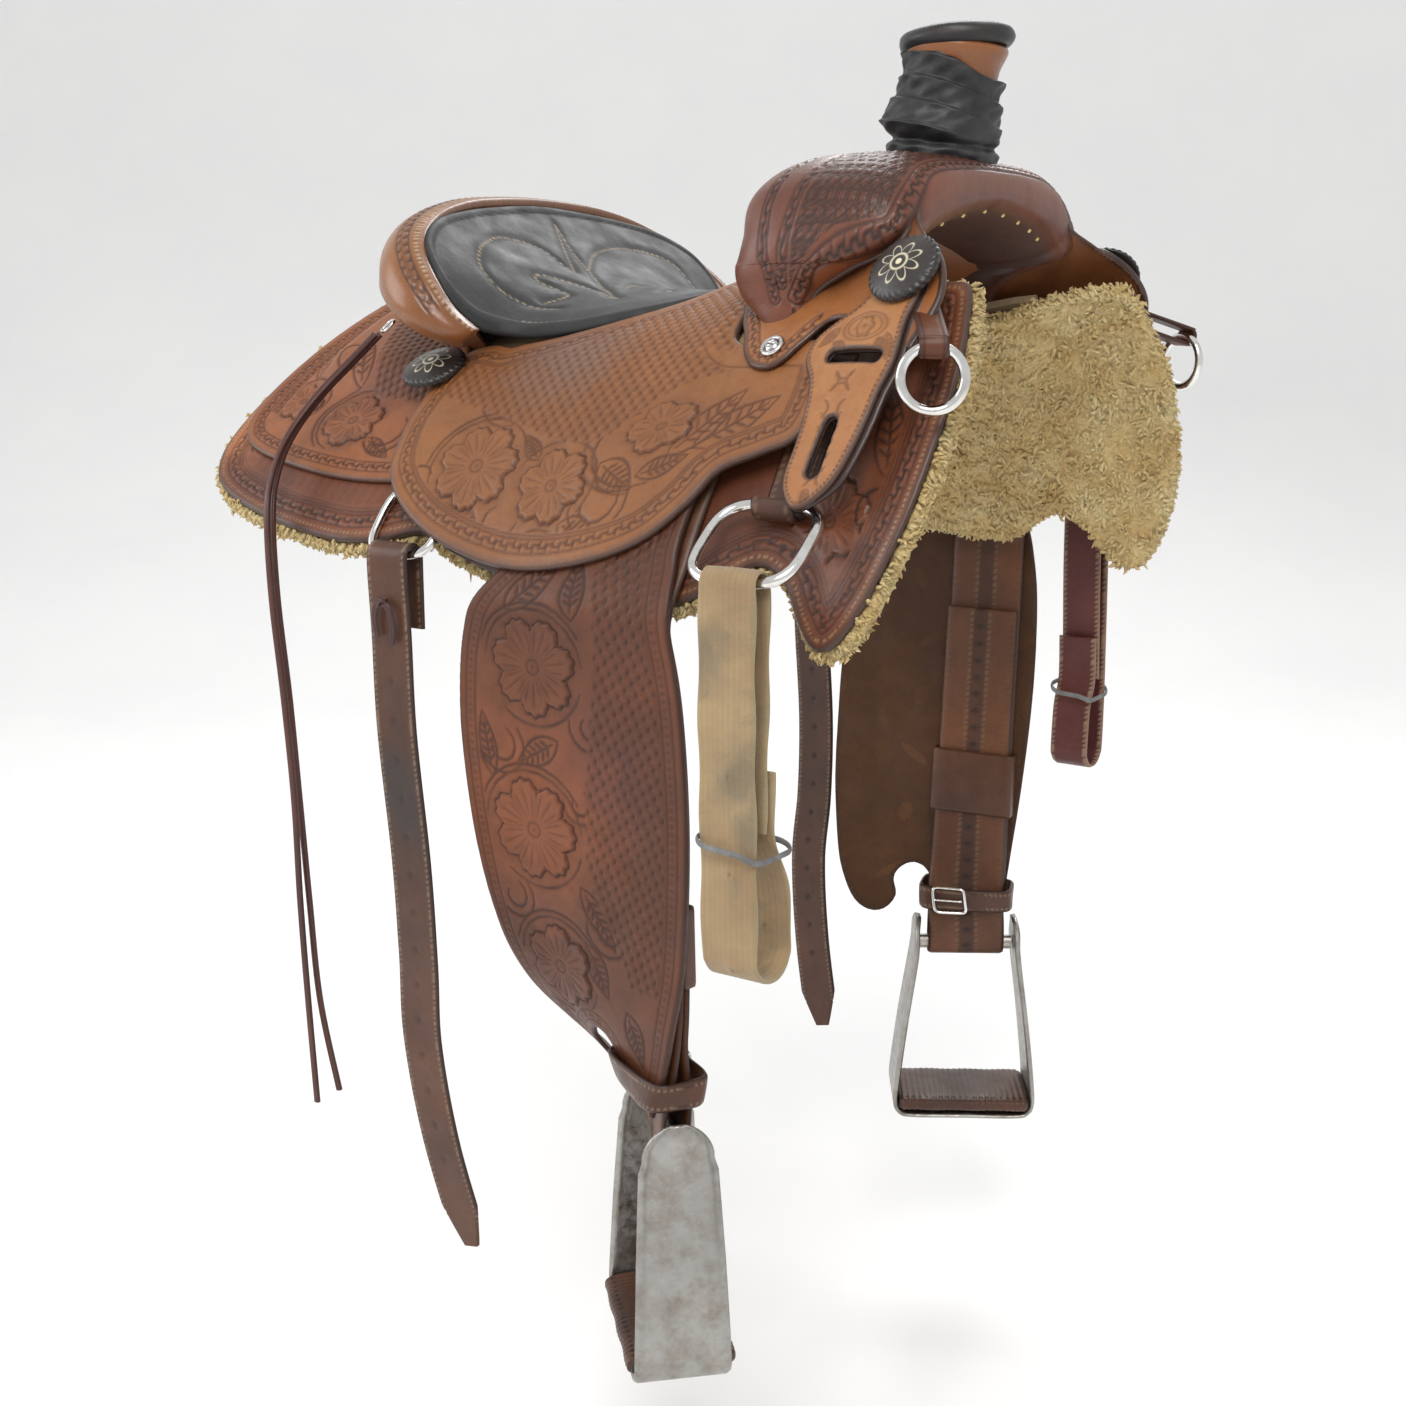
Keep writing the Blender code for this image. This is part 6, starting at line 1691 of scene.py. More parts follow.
def make_billet_lace(word, side):
    """The leather lace knotted through the rear billet just below its ring."""
    z = REAR_FOOT[2] - 0.036
    x, y = REAR_FOOT[0], REAR_FOOT[1] + REAR_FOLD + 0.0030
    for k, (way, drop) in enumerate(((-1, 0.0), (1, 0.004))):
        points = [
            (x - way * 0.004, y + 0.0035, z + 0.004),
            (x + way * 0.006, y + 0.0042, z - 0.001),
            (x + way * 0.009, y + 0.0030, z - 0.012 - drop),
            (x + way * 0.007, y + 0.0026, z - 0.024 - drop),
        ]
        path = curve(points, 0.001) * (1, side, 1)
        mesh = strap_mesh(
            f"billet_lace_{word}_{k}", path, (1, 0, 0.4), 0.0055, 0.0018, plain_edge(0.0055), columns=7,
        )
        show(mesh, "lace", f"rear_billet_{word}")


# ---- Fenders, leathers and stirrups ----

STIRRUP_TURN = {-1: 45.0, 1: 32.0}
STIRRUP_TOP = -0.511
STIRRUP_FOOT = -0.706
ROLLER_DEPTH = 0.537
ROLLER_REACH = 0.0095
LEATHER_WIDTH = 0.072
LEATHER_THICK = 0.004
LEATHER_LEVEL = 0.0208
STIRRUP_DEEP = 0.036
EAR_RADIUS = 0.0268
LEATHER_LINE = (
    (0.165, 0.1180, 0.2860), (0.220, 0.1185, 0.2825), (0.300, 0.1188, 0.2765), (0.380, 0.1190, 0.2700),
    (0.450, 0.1190, 0.2645), (0.520, 0.1185, 0.2590), (0.720, 0.1185, 0.2590),
)
TWIST = (
    (0.165, 0.00), (0.300, 0.04), (0.400, 0.17), (0.450, 0.36), (0.485, 0.62), (0.510, 0.90),
    (0.530, 1.00), (0.720, 1.00),
)
FLAP_START = 0.215
FLAP_EDGE = 0.278
FLAP_FREE = 0.330
FENDER_OUTLINE = (
    (-0.070, 0.012), (-0.070, 0.012), (-0.110, 0.060), (-0.140, 0.110), (-0.152, 0.170), (-0.154, 0.240),
    (-0.152, 0.310), (-0.146, 0.365), (-0.132, 0.416), (-0.112, 0.450), (-0.094, 0.463), (-0.078, 0.462),
    (-0.068, 0.450), (-0.073, 0.435), (-0.067, 0.424), (-0.056, 0.419), (-0.045, 0.422), (-0.037, 0.431),
    (-0.0355, 0.440), (-0.0355, 0.458), (-0.0355, 0.458), (0.0355, 0.458), (0.0355, 0.458),
    (0.038, 0.400), (0.045, 0.330), (0.050, 0.240), (0.048, 0.150), (0.038, 0.090), (0.030, 0.050),
    (0.030, 0.012), (0.030, 0.012),
)


def hang_point(side, across, depth, outward):
    across, depth, outward = together(across, depth, outward)
    line = along(LEATHER_LINE, depth)
    turn = np.radians(along(TWIST, depth)[..., 0] * STIRRUP_TURN[side])
    x = line[..., 0] + across * np.cos(turn) - outward * np.sin(turn)
    y = line[..., 1] + across * np.sin(turn) + outward * np.cos(turn)
    return np.stack((x, side * y, -depth), -1)


def leather_point(side, across, length, low, outward):
    """A point on a leather that hangs free below the skirt's edge: length runs from FLAP_START."""
    across, length, low, outward = together(across, length, low, outward)
    down = FLAP_START + length
    near = side_point(side, LEATHER_LINE[0][1] + across, np.minimum(down, FLAP_FREE), low)
    hung = hang_point(side, across, np.maximum(0.165 + down - FLAP_FREE, 0.10), outward)
    t = smoothstep((down - FLAP_EDGE) / (FLAP_FREE - FLAP_EDGE))[..., None]
    return near + (hung - near) * t


# The rear edge of the fender's basket stamping: length down the fender, and how far across
FENDER_WEAVE_EDGE = (
    (0.0, -0.030), (0.060, -0.030), (0.111, -0.024), (0.217, -0.038), (0.292, -0.042), (0.342, -0.018),
    (0.420, 0.010),
)
# Its flowers: centre, radius, petals and turn; then the spirals between them: centre and radius
FENDER_FLOWERS = (
    ((-0.078, 0.137), 0.036, 7, 0.2), ((-0.090, 0.262), 0.038, 7, 0.9), ((-0.082, 0.372), 0.033, 6, 0.5),
)
FENDER_SPIRALS = (
    ((-0.030, 0.175), 0.015), ((-0.045, 0.235), 0.012), ((-0.028, 0.330), 0.016), ((-0.115, 0.200), 0.016),
    ((-0.120, 0.320), 0.014),
)


def fender_relief(a, b, depth, where):
    lines = np.maximum(groove(depth - 0.0075, 0.0009), groove(depth - 0.0160, 0.0010))
    tick = dashes(where, 0.0060, half=0.30) * groove(depth - 0.0118, 0.0020)
    field = smoothstep((depth - 0.0175) / 0.002)
    flowers = [flower(a, b, *row) for row in FENDER_FLOWERS]
    taken = np.clip(sum(f[2] for f in flowers), 0, 1)
    left = along(FENDER_WEAVE_EDGE, b)[..., 0]
    patch = smoothstep((a - left) / 0.004) * field * (1 - taken) * smoothstep((0.372 - b) / 0.004)
    weave, weave_dark = basket(a * 0.97 + b * 0.25, b * 0.97 - a * 0.25, 0.0098, 0.0068)
    scrolls = []
    for centre, radius, _, _ in FENDER_FLOWERS:
        for more, start, end in ((0.008, 190, 355), (0.013, 200, 330), (0.008, 20, 130)):
            scrolls.append(arc(centre, radius + more, start, end))
    for centre, radius in FENDER_SPIRALS:
        scrolls += [arc(centre, radius, -60, 220, 0.45), arc(centre, radius * 1.45, -40, 190, 0.85)]
    for base, tip, width in (
        ((-0.060, 0.190), (-0.100, 0.212), 0.010),
        ((-0.100, 0.095), (-0.060, 0.055), 0.012),
        ((-0.040, 0.100), (-0.045, 0.055), 0.010),
        ((-0.050, 0.300), (-0.020, 0.345), 0.009),
        ((-0.120, 0.410), (-0.085, 0.440), 0.010),
        ((-0.050, 0.345), (-0.030, 0.385), 0.010),
        ((-0.125, 0.225), (-0.130, 0.175), 0.008),
        ((-0.010, 0.390), (0.010, 0.430), 0.010),
    ):
        scrolls += leaf(base, tip, width)
    cuts, marks = strokes(a, b, scrolls, 0.0012)
    free = (1 - taken) * (1 - patch) * field
    bloom, bloom_dark = (sum(f[k] for f in flowers) * field * (1 - patch) for k in (0, 1))
    lift = -0.0005 * lines - 0.0004 * tick + bloom + weave * patch + cuts * free
    dark = 0.8 * lines + 0.5 * tick + bloom_dark + weave_dark * patch + marks * free
    return lift * 0.9, painted(dark * 0.8, 0.8 * smoothstep((0.004 - depth) / 0.003))


def plain_relief(a, b, depth, where):
    wave = 0.0007 * np.sin(a * 70 + 3 * np.sin(b * 30)) * np.sin(b * 55)
    blotch = 0.2 * np.abs(np.sin(a * 90)) * np.abs(np.sin(b * 60))
    return wave, painted(blotch, smoothstep((0.005 - depth) / 0.004))


def make_fenders():
    outline = curve(FENDER_OUTLINE, 0.005, closed=True)
    for word, side in SIDES:
        def place(a, b, h, side=side):
            more = 0.0025 * smoothstep((b - 0.34) / 0.06)
            return leather_point(side, a, b, 0.0260 + h, 0.0060 + more + h)

        mesh = sheet_mesh(
            f"fender_leather_{word}", outline, grid_lines(outline, side_step(side)), place, 0.0045,
            fender_relief,
        )
        show(mesh, "fender", f"leathers_{word}", [f"fender_{word}"])
        if side > 0:
            mesh = sheet_mesh(
                "fender_lining_left", outline * 0.998, grid_lines(outline, 0.004),
                lambda a, b, h: place(a, b, h - 0.0008, 1), 0.0006, plain_relief,
            )
            show(mesh, "suede", "leathers_left")
        make_leather(word, side)
        make_hobble(word, side)


def make_leather(word, side):
    """The stirrup leather: from under the seat down to the roller, round it, and back up inside."""
    spots = [(0.118 - FLAP_START + (FLAP_EDGE - 0.118) * k / 30, 0.0, 0.0) for k in range(31)]
    last, first = ROLLER_DEPTH - 0.05, FLAP_EDGE - FLAP_START
    spots += [(first + (last - first) * k / 200, 0.0, 0.0) for k in range(1, 201)]
    for k in range(1, 24):
        angle = math.pi * k / 23
        spots.append((last + ROLLER_REACH * math.sin(angle), ROLLER_REACH * (math.cos(angle) - 1), angle))
    for k in range(1, 160):
        length = last - (ROLLER_DEPTH - 0.215) * k / 159
        inward = 2 * ROLLER_REACH + (0.0065 - 2 * ROLLER_REACH) * float(smoothstep((0.47 - length) / 0.07))
        spots.append((length, -inward, math.pi))
    length, outward, angle = (np.array(v)[:, None] for v in zip(*spots))
    columns = 25
    section = strap_section(LEATHER_WIDTH, LEATHER_THICK, columns)
    u, thick = section[:, 0][None], section[:, 1][None]
    grid = leather_point(
        side, u, length + thick * np.sin(angle), LEATHER_LEVEL + thick, outward + thick * np.cos(angle),
    )
    run = np.concatenate(([0.0], np.cumsum(np.abs(np.diff(length[:, 0])) + 0.001)))[:, None]
    gap = LEATHER_WIDTH / 2 - np.abs(u) + 0 * run
    _, edge_thread, edge_holes = stitches(gap, run + 0 * gap, 0.0045, 0.0048)
    _, mid_thread, mid_holes = stitches(np.abs(u) + 0 * run, run + 0 * gap, 0.010, 0.0048)
    far = hole_distance(run, u, 0.004, 0.024)
    hole = groove(far, 0.0030) * (run > 0.35)
    strip = 0.55 * smoothstep((0.0095 - np.abs(u)) / 0.0015) + 0 * run
    dark = 0.5 * edge_holes + 0.5 * mid_holes + hole + strip
    thread = np.maximum(edge_thread, mid_thread) * 0.7
    paint = painted(dark, smoothstep((0.003 - gap) / 0.002), thread)
    mesh = skin_mesh(f"stirrup_leather_strap_{word}", grid, lift=-0.0010 * hole, paint=paint)
    show(mesh, "strap", f"leathers_{word}", [f"stirrup_leather_{word}"])
    make_sleeve(word, side)


def make_sleeve(word, side):
    """The wide leather sleeve that keeps the two layers of the stirrup leather together."""
    angle = round_angles(120)
    u = rounded(np.cos(angle), 0.3) * 0.0385
    w = rounded(np.sin(angle), 0.3)
    rows = []
    # How far the sleeve's wall is grown outward at each place down the leather: inside first, then outside
    walls = ((0.0, 0.302), (0.0, 0.360), (0.0020, 0.361), (0.0024, 0.358), (0.0024, 0.304), (0.0020, 0.301))
    for grow, depth in walls:
        outward = -0.0042 + w * (0.0052 + grow)
        rows.append(leather_point(side, u * (1 + grow * 20), depth + 0 * u, LEATHER_LEVEL, outward))
    grid = np.stack(rows, 1)
    mesh = skin_mesh(f"leather_sleeve_{word}", grid, closed_rows=True)
    show(mesh, "dark", f"leathers_{word}")


# The hobble strap: half its length and depth, its range down the leather, its thickness and shift inward
HOBBLE_HALF = (0.0415, 0.0226)
HOBBLE_TOP, HOBBLE_FOOT = 0.480, 0.5012
HOBBLE_MIDDLE = 0.4906
HOBBLE_THICK = 0.0032
HOBBLE_SHIFT = 0.0040


def make_hobble(word, side):
    count = 150
    angle = round_angles(count)
    u = rounded(np.cos(angle), 0.4) * HOBBLE_HALF[0]
    w = rounded(np.sin(angle), 0.4) * HOBBLE_HALF[1]
    scale = 1 + HOBBLE_THICK / np.hypot(u, w)
    columns = 13
    t = np.linspace(0, 1, columns)
    bulge = dome(np.clip(np.abs(2 * t - 1) - 0.72, 0, 1) / 0.28)
    rows = []
    for k in range(2 * columns):
        outer = k < columns
        v = t[k] if outer else t[2 * columns - 1 - k]
        grow = (1 + (scale - 1) * (0.5 + 0.5 * bulge[k])) if outer else 1 + 0 * scale
        depth = HOBBLE_TOP + (HOBBLE_FOOT - HOBBLE_TOP) * v
        rows.append(hang_point(side, u * grow, depth + 0 * u, w * grow - HOBBLE_SHIFT))
    grid = np.stack(rows, 1)
    gap = np.minimum(t, 1 - t) * 0.0212
    run = run_length(grid[:, 3])[:, None]
    flat = np.concatenate((gap, gap[::-1]))[None] + 0 * run
    _, thread, holes = stitches(flat, run + 0 * flat, 0.0034, 0.0046)
    paint = painted(0.6 * holes, smoothstep((0.0022 - flat) / 0.0018), thread * 0.5)
    mesh = skin_mesh(f"hobble_strap_leather_{word}", grid, closed_rows=True, paint=paint)
    show(mesh, "dark", f"leathers_{word}", [f"hobble_strap_{word}"])
    make_buckle(word, side)


def make_buckle(word, side):
    """A rectangular buckle on the inner side of the hobble strap, with its tongue."""
    angle = round_angles(64)
    across = -0.014 + rounded(np.cos(angle), 0.3) * 0.0150
    depth = HOBBLE_MIDDLE + rounded(np.sin(angle), 0.3) * 0.0116
    face = -HOBBLE_HALF[1] - HOBBLE_THICK - HOBBLE_SHIFT
    path = hang_point(side, across, depth, face - 0.0012)
    normal = unit(np.cross(path[16] - path[0], path[32] - path[0]))
    mesh = wire_mesh(f"hobble_buckle_{word}", path, normal, 0.0015, 10)
    show(mesh, "chrome", f"leathers_{word}")
    tongue = hang_point(side, np.linspace(-0.028, -0.002, 12), HOBBLE_MIDDLE, face - 0.0022)
    mesh = skin_mesh(f"buckle_tongue_{word}", sweep_grid(tongue, (0, 0, 1), circle(0.0011, 8)))
    show(mesh, "chrome", f"leathers_{word}")


def make_stirrups():
    thick = 0.005
    half_neck, half_foot = 0.050, 0.068
    for word, side in SIDES:
        turn = math.radians(STIRRUP_TURN[side])
        tread = np.array((math.cos(turn), side * math.sin(turn), 0))
        deep = np.array((-math.sin(turn), side * math.cos(turn), 0))
        roller = hang_point(side, 0.0, ROLLER_DEPTH, -ROLLER_REACH)
        centre = np.array((roller[0], roller[1], 0))
        profile = [
            (half_neck - 0.002 - thick / 2, STIRRUP_TOP),
            (half_neck - thick / 2, STIRRUP_TOP - 0.010),
            (half_neck + 0.001 - thick / 2, STIRRUP_TOP - 0.035),
            (half_foot - 0.008 - thick / 2, STIRRUP_TOP - 0.100),
            (half_foot - 0.0015 - thick / 2, STIRRUP_FOOT + 0.040),
            (half_foot - thick / 2, STIRRUP_FOOT + 0.016),
            (half_foot - thick / 2 - 0.004, STIRRUP_FOOT + 0.006),
            (half_foot - thick / 2 - 0.016, STIRRUP_FOOT + thick / 2),
            (0.0, STIRRUP_FOOT + thick / 2),
        ]
        mirrored = [(-a, z) for a, z in reversed(profile[:-1])]
        line = evenly(profile + mirrored, 260)
        levels = (
            STIRRUP_FOOT, STIRRUP_FOOT + 0.020, STIRRUP_TOP - 0.100, STIRRUP_TOP - 0.035,
            STIRRUP_TOP - 0.026,
        )
        half_deep = np.interp(line[:, 1], levels, (STIRRUP_DEEP, STIRRUP_DEEP, 0.033, 0.0295, 0.0265))
        rise = line[:, 1] + ROLLER_DEPTH
        ear = np.sqrt(np.clip(EAR_RADIUS**2 - rise**2, 1e-6, 1))
        half_deep = np.where(rise > 0, np.minimum(half_deep, ear), half_deep)
        path = centre + tread * line[:, :1] + np.array((0, 0, 1)) * line[:, 1:]
        columns = 25
        widths = half_deep / STIRRUP_DEEP

        def relief(run, across, face):
            gap = np.abs(across) - (widths * STIRRUP_DEEP)[:, None]
            rib = groove(gap + 0.0045, 0.0010)
            return -0.0004 * rib, painted(0.35 * rib)

        mesh = strap_mesh(
            f"stirrup_casting_{word}", path, deep, 2 * STIRRUP_DEEP, thick, relief, widths, columns,
        )
        show(mesh, "aluminium", f"stirrup_{word}", [f"stirrup_frame_{word}"])
        make_tread(word, centre, tread, deep)
        refinish(f"stirrup_roller_{word}", "steel")


def make_tread(word, centre, tread, deep):
    """The tread: leather wrapped round the foot bar, laced underneath, with a turned edge at each end."""
    count = 160
    reach = 0.0618
    spots = np.linspace(-reach, reach, count)
    angle = round_angles(96)
    c, s = np.cos(angle), np.sin(angle)
    wide = rounded(c, 0.55) * 0.0400
    tall = rounded(s, 0.6) * 0.0080
    ends = smoothstep((reach - np.abs(spots)) / 0.004)
    plump = (0.93 + 0.07 * ends) + 0.012 * np.sin(spots * 160) * ends
    grid = centre + tread * spots[:, None, None] + deep * (wide[None] * plump[:, None])[..., None]
    grid = grid + np.array((0, 0, 1)) * (STIRRUP_FOOT + 0.0152 + tall[None] * plump[:, None])[..., None]
    run = spots[:, None] + 0 * wide[None]
    near_edge = np.abs(np.abs(wide) - 0.034)[None] + 0 * run
    lace = groove(near_edge, 0.0016) * dashes(run, 0.0065, half=0.3, soft=0.1) * (s[None] > 0)
    worn = groove(run, 0.03) * (s[None] > 0.2) * 0.25
    paint = painted(lace * 0.9 + worn, smoothstep((np.abs(run) - reach + 0.004) / 0.003))
    lift = 0.0005 * np.sin(run * 2 * math.pi / 0.011) ** 2 - 0.0005 * lace
    mesh = skin_mesh(f"tread_leather_{word}", grid, lift=lift, paint=paint)
    show(mesh, "dark", f"stirrup_{word}", [f"stirrup_tread_{word}"])


# ---- Fittings ----

CONCHO = (
    (0.0006, 0.0), (0.0238, 0.0), (0.0258, 0.0016), (0.0258, 0.0036), (0.0236, 0.0056), (0.0190, 0.0072),
    (0.0100, 0.0094), (0.0006, 0.0100),
)
WASHER = (
    (0.0005, 0.0), (0.0086, 0.0), (0.0095, 0.0010), (0.0086, 0.0026), (0.0060, 0.0024), (0.0050, 0.0030),
    (0.0030, 0.0037), (0.0005, 0.0038),
)
FRONT_CONCHO = (0.268, 0.080, 0.0470)
REAR_CONCHO = (-0.142, 0.137, 0.0410)
DEE_CENTRE = (0.316, 0.226, 0.019)
DEE_RADIUS = 0.0205
DEE_WIRE = 0.0034
KEEPER_LEVEL = 0.0420


def surface_normal(side, x, down):
    forward = side_point(side, x + 0.01, down, 0.03) - side_point(side, x - 0.01, down, 0.03)
    slope = side_point(side, x, down + 0.01, 0.03) - side_point(side, x, down - 0.01, 0.03)
    normal = unit(np.cross(forward, slope))
    return normal if normal[2] > 0 else -normal


def concho_lift(radius, height, angle):
    """A leather dome with a pale inlaid rosette and a braided rim."""
    on_top = (height > 0.0062) & (radius < 0.0205)
    petal = np.abs(np.cos(angle * 4))
    reach = 0.0075 + 0.0085 * petal
    outline = groove(radius - reach, 0.0007) * (radius > 0.006)
    ring = groove(radius - 0.0062, 0.0008)
    heart = (radius < 0.0026).astype(float)
    inlay = np.clip(np.maximum(np.maximum(outline, ring), heart), 0, 1) * on_top
    braid = 0.5 + 0.5 * np.sin(angle * 30 + height * 900)
    on_rim = groove(radius - 0.0250, 0.0022) * (height < 0.0062)
    lift = 0.0007 * braid * on_rim
    paint = painted(0.8 * (1 - braid) * on_rim, 0.0, inlay)
    return radius + lift, height + 0.0002 * inlay + 0.3 * lift, paint


def make_fittings():
    keeper = curve(KEEPER_OUTLINE, 0.004, closed=True)
    slots = [
        slot_outline((0.247, 0.141), 0.0235, 0.0048, 4),
        slot_outline((0.2445, 0.2065), 0.0215, 0.0052, 96),
    ]
    turns, rows = ((220, 110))
    for word, side in SIDES:
        for place, (x, down, height) in (("front", FRONT_CONCHO), ("rear", REAR_CONCHO)):
            name = f"concho_dome_{place}_{word}"
            spot, normal = side_point(side, x, down, height), surface_normal(side, x, down)
            mesh = turned_mesh(name, evenly(CONCHO, rows), spot, normal, turns, concho_lift)
            show(mesh, "concho", "saddle", [f"concho_{place}_{word}"])
        step = max(side_step(side) * 0.8, 0.0009)
        mesh = sheet_mesh(
            f"keeper_leather_{word}", keeper, grid_lines(keeper, step),
            lambda a, b, h, side=side: side_point(side, a, b, KEEPER_LEVEL + h), 0.0042, keeper_relief,
            slots,
        )
        show(mesh, "keeper", "saddle", [f"latigo_keeper_{word}"])
        below = keeper + (0.0045, 0.0005) * smoothstep((keeper[:, :1] - 0.245) / 0.02)
        mesh = sheet_mesh(
            f"keeper_backing_{word}", below, grid_lines(below, step * 2),
            lambda a, b, h, side=side: side_point(side, a, b, KEEPER_LEVEL - 0.0028 + h), 0.0027,
            backing_relief, slots,
        )
        show(mesh, "welt", "saddle")
        make_dee(word, side)
        screw = side_point(side, 0.168, 0.120, 0.0428)
        normal = surface_normal(side, 0.168, 0.118)
        mesh = turned_mesh(f"screw_and_cup_{word}", evenly(WASHER, 40), screw, normal, 72, screw_lift)
        show(mesh, "chrome", "saddle", [f"swell_screw_{word}"])
        make_clip(word, side)


def screw_lift(radius, height, angle):
    cross = np.minimum(np.abs(np.sin(angle)), np.abs(np.cos(angle))) * radius
    slot = groove(cross, 0.0007) * (radius < 0.0034)
    ring = groove(radius - 0.0058, 0.0006) * (height > 0.0015)
    return radius, height - 0.0012 * slot - 0.0006 * ring, painted(slot + 0.8 * ring)


def slot_outline(centre, half_long, half_wide, turn):
    turn = math.radians(turn)
    angle = np.linspace(-math.pi / 2, math.pi / 2, 9)
    a = np.cos(angle) * half_wide + half_long - half_wide
    b = np.sin(angle) * half_wide
    a, b = np.concatenate((a, -a)), np.concatenate((b, -b))
    c, s = math.cos(turn), math.sin(turn)
    return np.stack((centre[0] + a * c - b * s, centre[1] + a * s + b * c), 1)


def keeper_relief(a, b, depth, where):
    lift, thread, holes = stitches(depth, where, 0.0034, 0.0036)
    oval = np.hypot((a - 0.249) / 0.0185, (b - 0.120) / 0.0105)
    rings = np.maximum(groove((oval - 1.0) * 0.0105, 0.0008), groove((oval - 0.78) * 0.0105, 0.0006))
    rosette, rosette_dark, _ = flower(a, b, (0.249, 0.120), 0.0070, petals=6)
    marks = [
        arc((0.2455, 0.150), 0.0085, 20, 160, 1.0),
        arc((0.2455, 0.170), 0.0085, 200, 340, 1.0),
        arc((0.2335, 0.160), 0.0085, -60, 60, 1.0),
        arc((0.2575, 0.160), 0.0085, 120, 240, 1.0),
    ]
    for k in range(6):
        marks.append(arc((0.2335 + 0.0005 * k, 0.180 + 0.0095 * k), 0.0070, -70, 60, 1.0, points=6))
        marks.append(arc((0.2560 - 0.0002 * k, 0.180 + 0.0095 * k), 0.0070, 120, 250, 1.0, points=6))
    marks += leaf((0.226, 0.118), (0.212, 0.131), 0.004) + leaf((0.270, 0.126), (0.276, 0.146), 0.004)
    marks += leaf((0.236, 0.134), (0.224, 0.129), 0.003) + leaf((0.262, 0.134), (0.270, 0.131), 0.003)
    marks += leaf((0.244, 0.236), (0.240, 0.246), 0.003)
    cuts, lines = strokes(a, b, marks, 0.0009)
    total = lift - 0.0006 * rings + rosette * 0.7 + cuts
    dark = 0.60 * rings + 0.6 * rosette_dark + 0.75 * lines + 0.3 * holes
    edge = smoothstep((0.0030 - depth) / 0.0018)
    return total, painted(dark, edge, thread)


def backing_relief(a, b, depth, where):
    return 0 * a, painted(0 * a, smoothstep((0.003 - depth) / 0.002))


def make_dee(word, side):
    normal = unit(np.array((0.45, side * 0.89, 0.0)))
    centre = np.array((DEE_CENTRE[0], side * DEE_CENTRE[1], DEE_CENTRE[2]))
    flat = unit(np.cross(normal, (0, 0, 1)))
    angle = round_angles(72)[:, None]
    path = centre + (flat * np.cos(angle) + np.array((0, 0, 1.0)) * np.sin(angle)) * DEE_RADIUS
    mesh = wire_mesh(f"breast_ring_wire_{word}", path, normal, DEE_WIRE, 16)
    show(mesh, "chrome", f"breast_ring_{word}", [f"breast_dee_{word}"])
    hinge = centre + np.array((0, 0, DEE_RADIUS))
    anchor = side_point(side, 0.286, 0.105, 0.0290)
    run = unit(hinge - anchor)
    wide = flat if flat[0] > 0 else -flat
    lift = unit(np.cross(run, wide))
    lift = -lift if lift @ normal < 0 else lift
    length = float(np.linalg.norm(hinge - anchor))
    reach = DEE_WIRE + 0.0015 + 0.0014
    points = [(-0.006, -reach), (length - 0.002, -reach)]
    for k in range(1, 8):
        angle = -math.pi / 2 + math.pi * k / 8
        points.append((length + reach * math.cos(angle), reach * math.sin(angle)))
    points += [(length - 0.002, reach), (-0.006, reach)]
    line = evenly(points, 70)
    path = anchor + run * line[:, :1] + lift * line[:, 1:]
    mesh = strap_mesh(f"breast_strap_{word}", path, wide, 0.019, 0.0030, plain_edge(0.019), columns=13)
    show(mesh, "fender", "saddle", [f"breast_chafe_{word}"])


def make_clip(word, side):
    clip = np.array((-0.1785, side * 0.200, 0.0484))
    down = unit(np.array((-0.5, side * 0.5, -0.7)))
    across = unit(np.array((0.8, side * 0.6, 0)))
    angle = round_angles(64)[:, None]
    c, s = np.cos(angle), np.sin(angle)
    path = clip + across * rounded(c, 0.5) * 0.0095 + down * rounded(s, 0.5) * 0.0060
    mesh = wire_mesh(f"string_clip_wire_{word}", path, unit(np.cross(across, down)), 0.0013, 10)
    show(mesh, "chrome", "saddle", [f"string_clip_{word}"])


# The right rear string's two laces, from the clip down
STRING_TOP = (
    (-0.1850, 0.2080, 0.0420), (-0.2037, 0.2200, 0.0203), (-0.2206, 0.2420, -0.0076),
    (-0.2268, 0.2680, -0.0378), (-0.2190, 0.2930, -0.0668), (-0.2096, 0.3080, -0.0974),
    (-0.2042, 0.3120, -0.1588), (-0.1963, 0.3120, -0.2371), (-0.1927, 0.3100, -0.3180),
)
STRING_ENDS = (
    ("outer", 0.0, ((-0.1936, 0.3080, -0.4016), (-0.1921, 0.3060, -0.4869), (-0.1893, 0.3040, -0.5742))),
    (
        "inner", -0.0070,
        ((-0.1900, 0.3015, -0.4016), (-0.1880, 0.2970, -0.4869), (-0.1757, 0.2920, -0.5647)),
    ),
)
STRING_WIDTH = 0.0050
STRING_THICK = 0.0036


def make_strings():
    """Two flat laces, side by side from the clip down, with rounded corners and ends cut square."""
    for word, inward, end in STRING_ENDS:
        points = [(x + inward * 0.2, -y - inward, z) for x, y, z in STRING_TOP]
        points += [(x, -y, z) for x, y, z in end]
        path = curve(points, 0.0025)
        outward = np.array((0.10, -1.0, 0.15))
        across = np.cross(unit(np.gradient(path, axis=0)), outward)
        angle = round_angles(20)
        wide = rounded(np.cos(angle), 0.5) * STRING_WIDTH / 2
        flat = rounded(np.sin(angle), 0.6) * STRING_THICK / 2
        section = np.stack((wide, flat), 1)
        grid = sweep_grid(path, across, section)
        paint = painted(np.zeros(grid.shape[:2]), np.abs(np.cos(angle)) ** 4 * 0.8)
        mesh = skin_mesh(f"saddle_string_{word}", grid, paint=paint)
        lace = show(mesh, "lace", "saddle", [f"saddle_string_{word}_right"])


# ---- Tree parts, room, camera and light ----


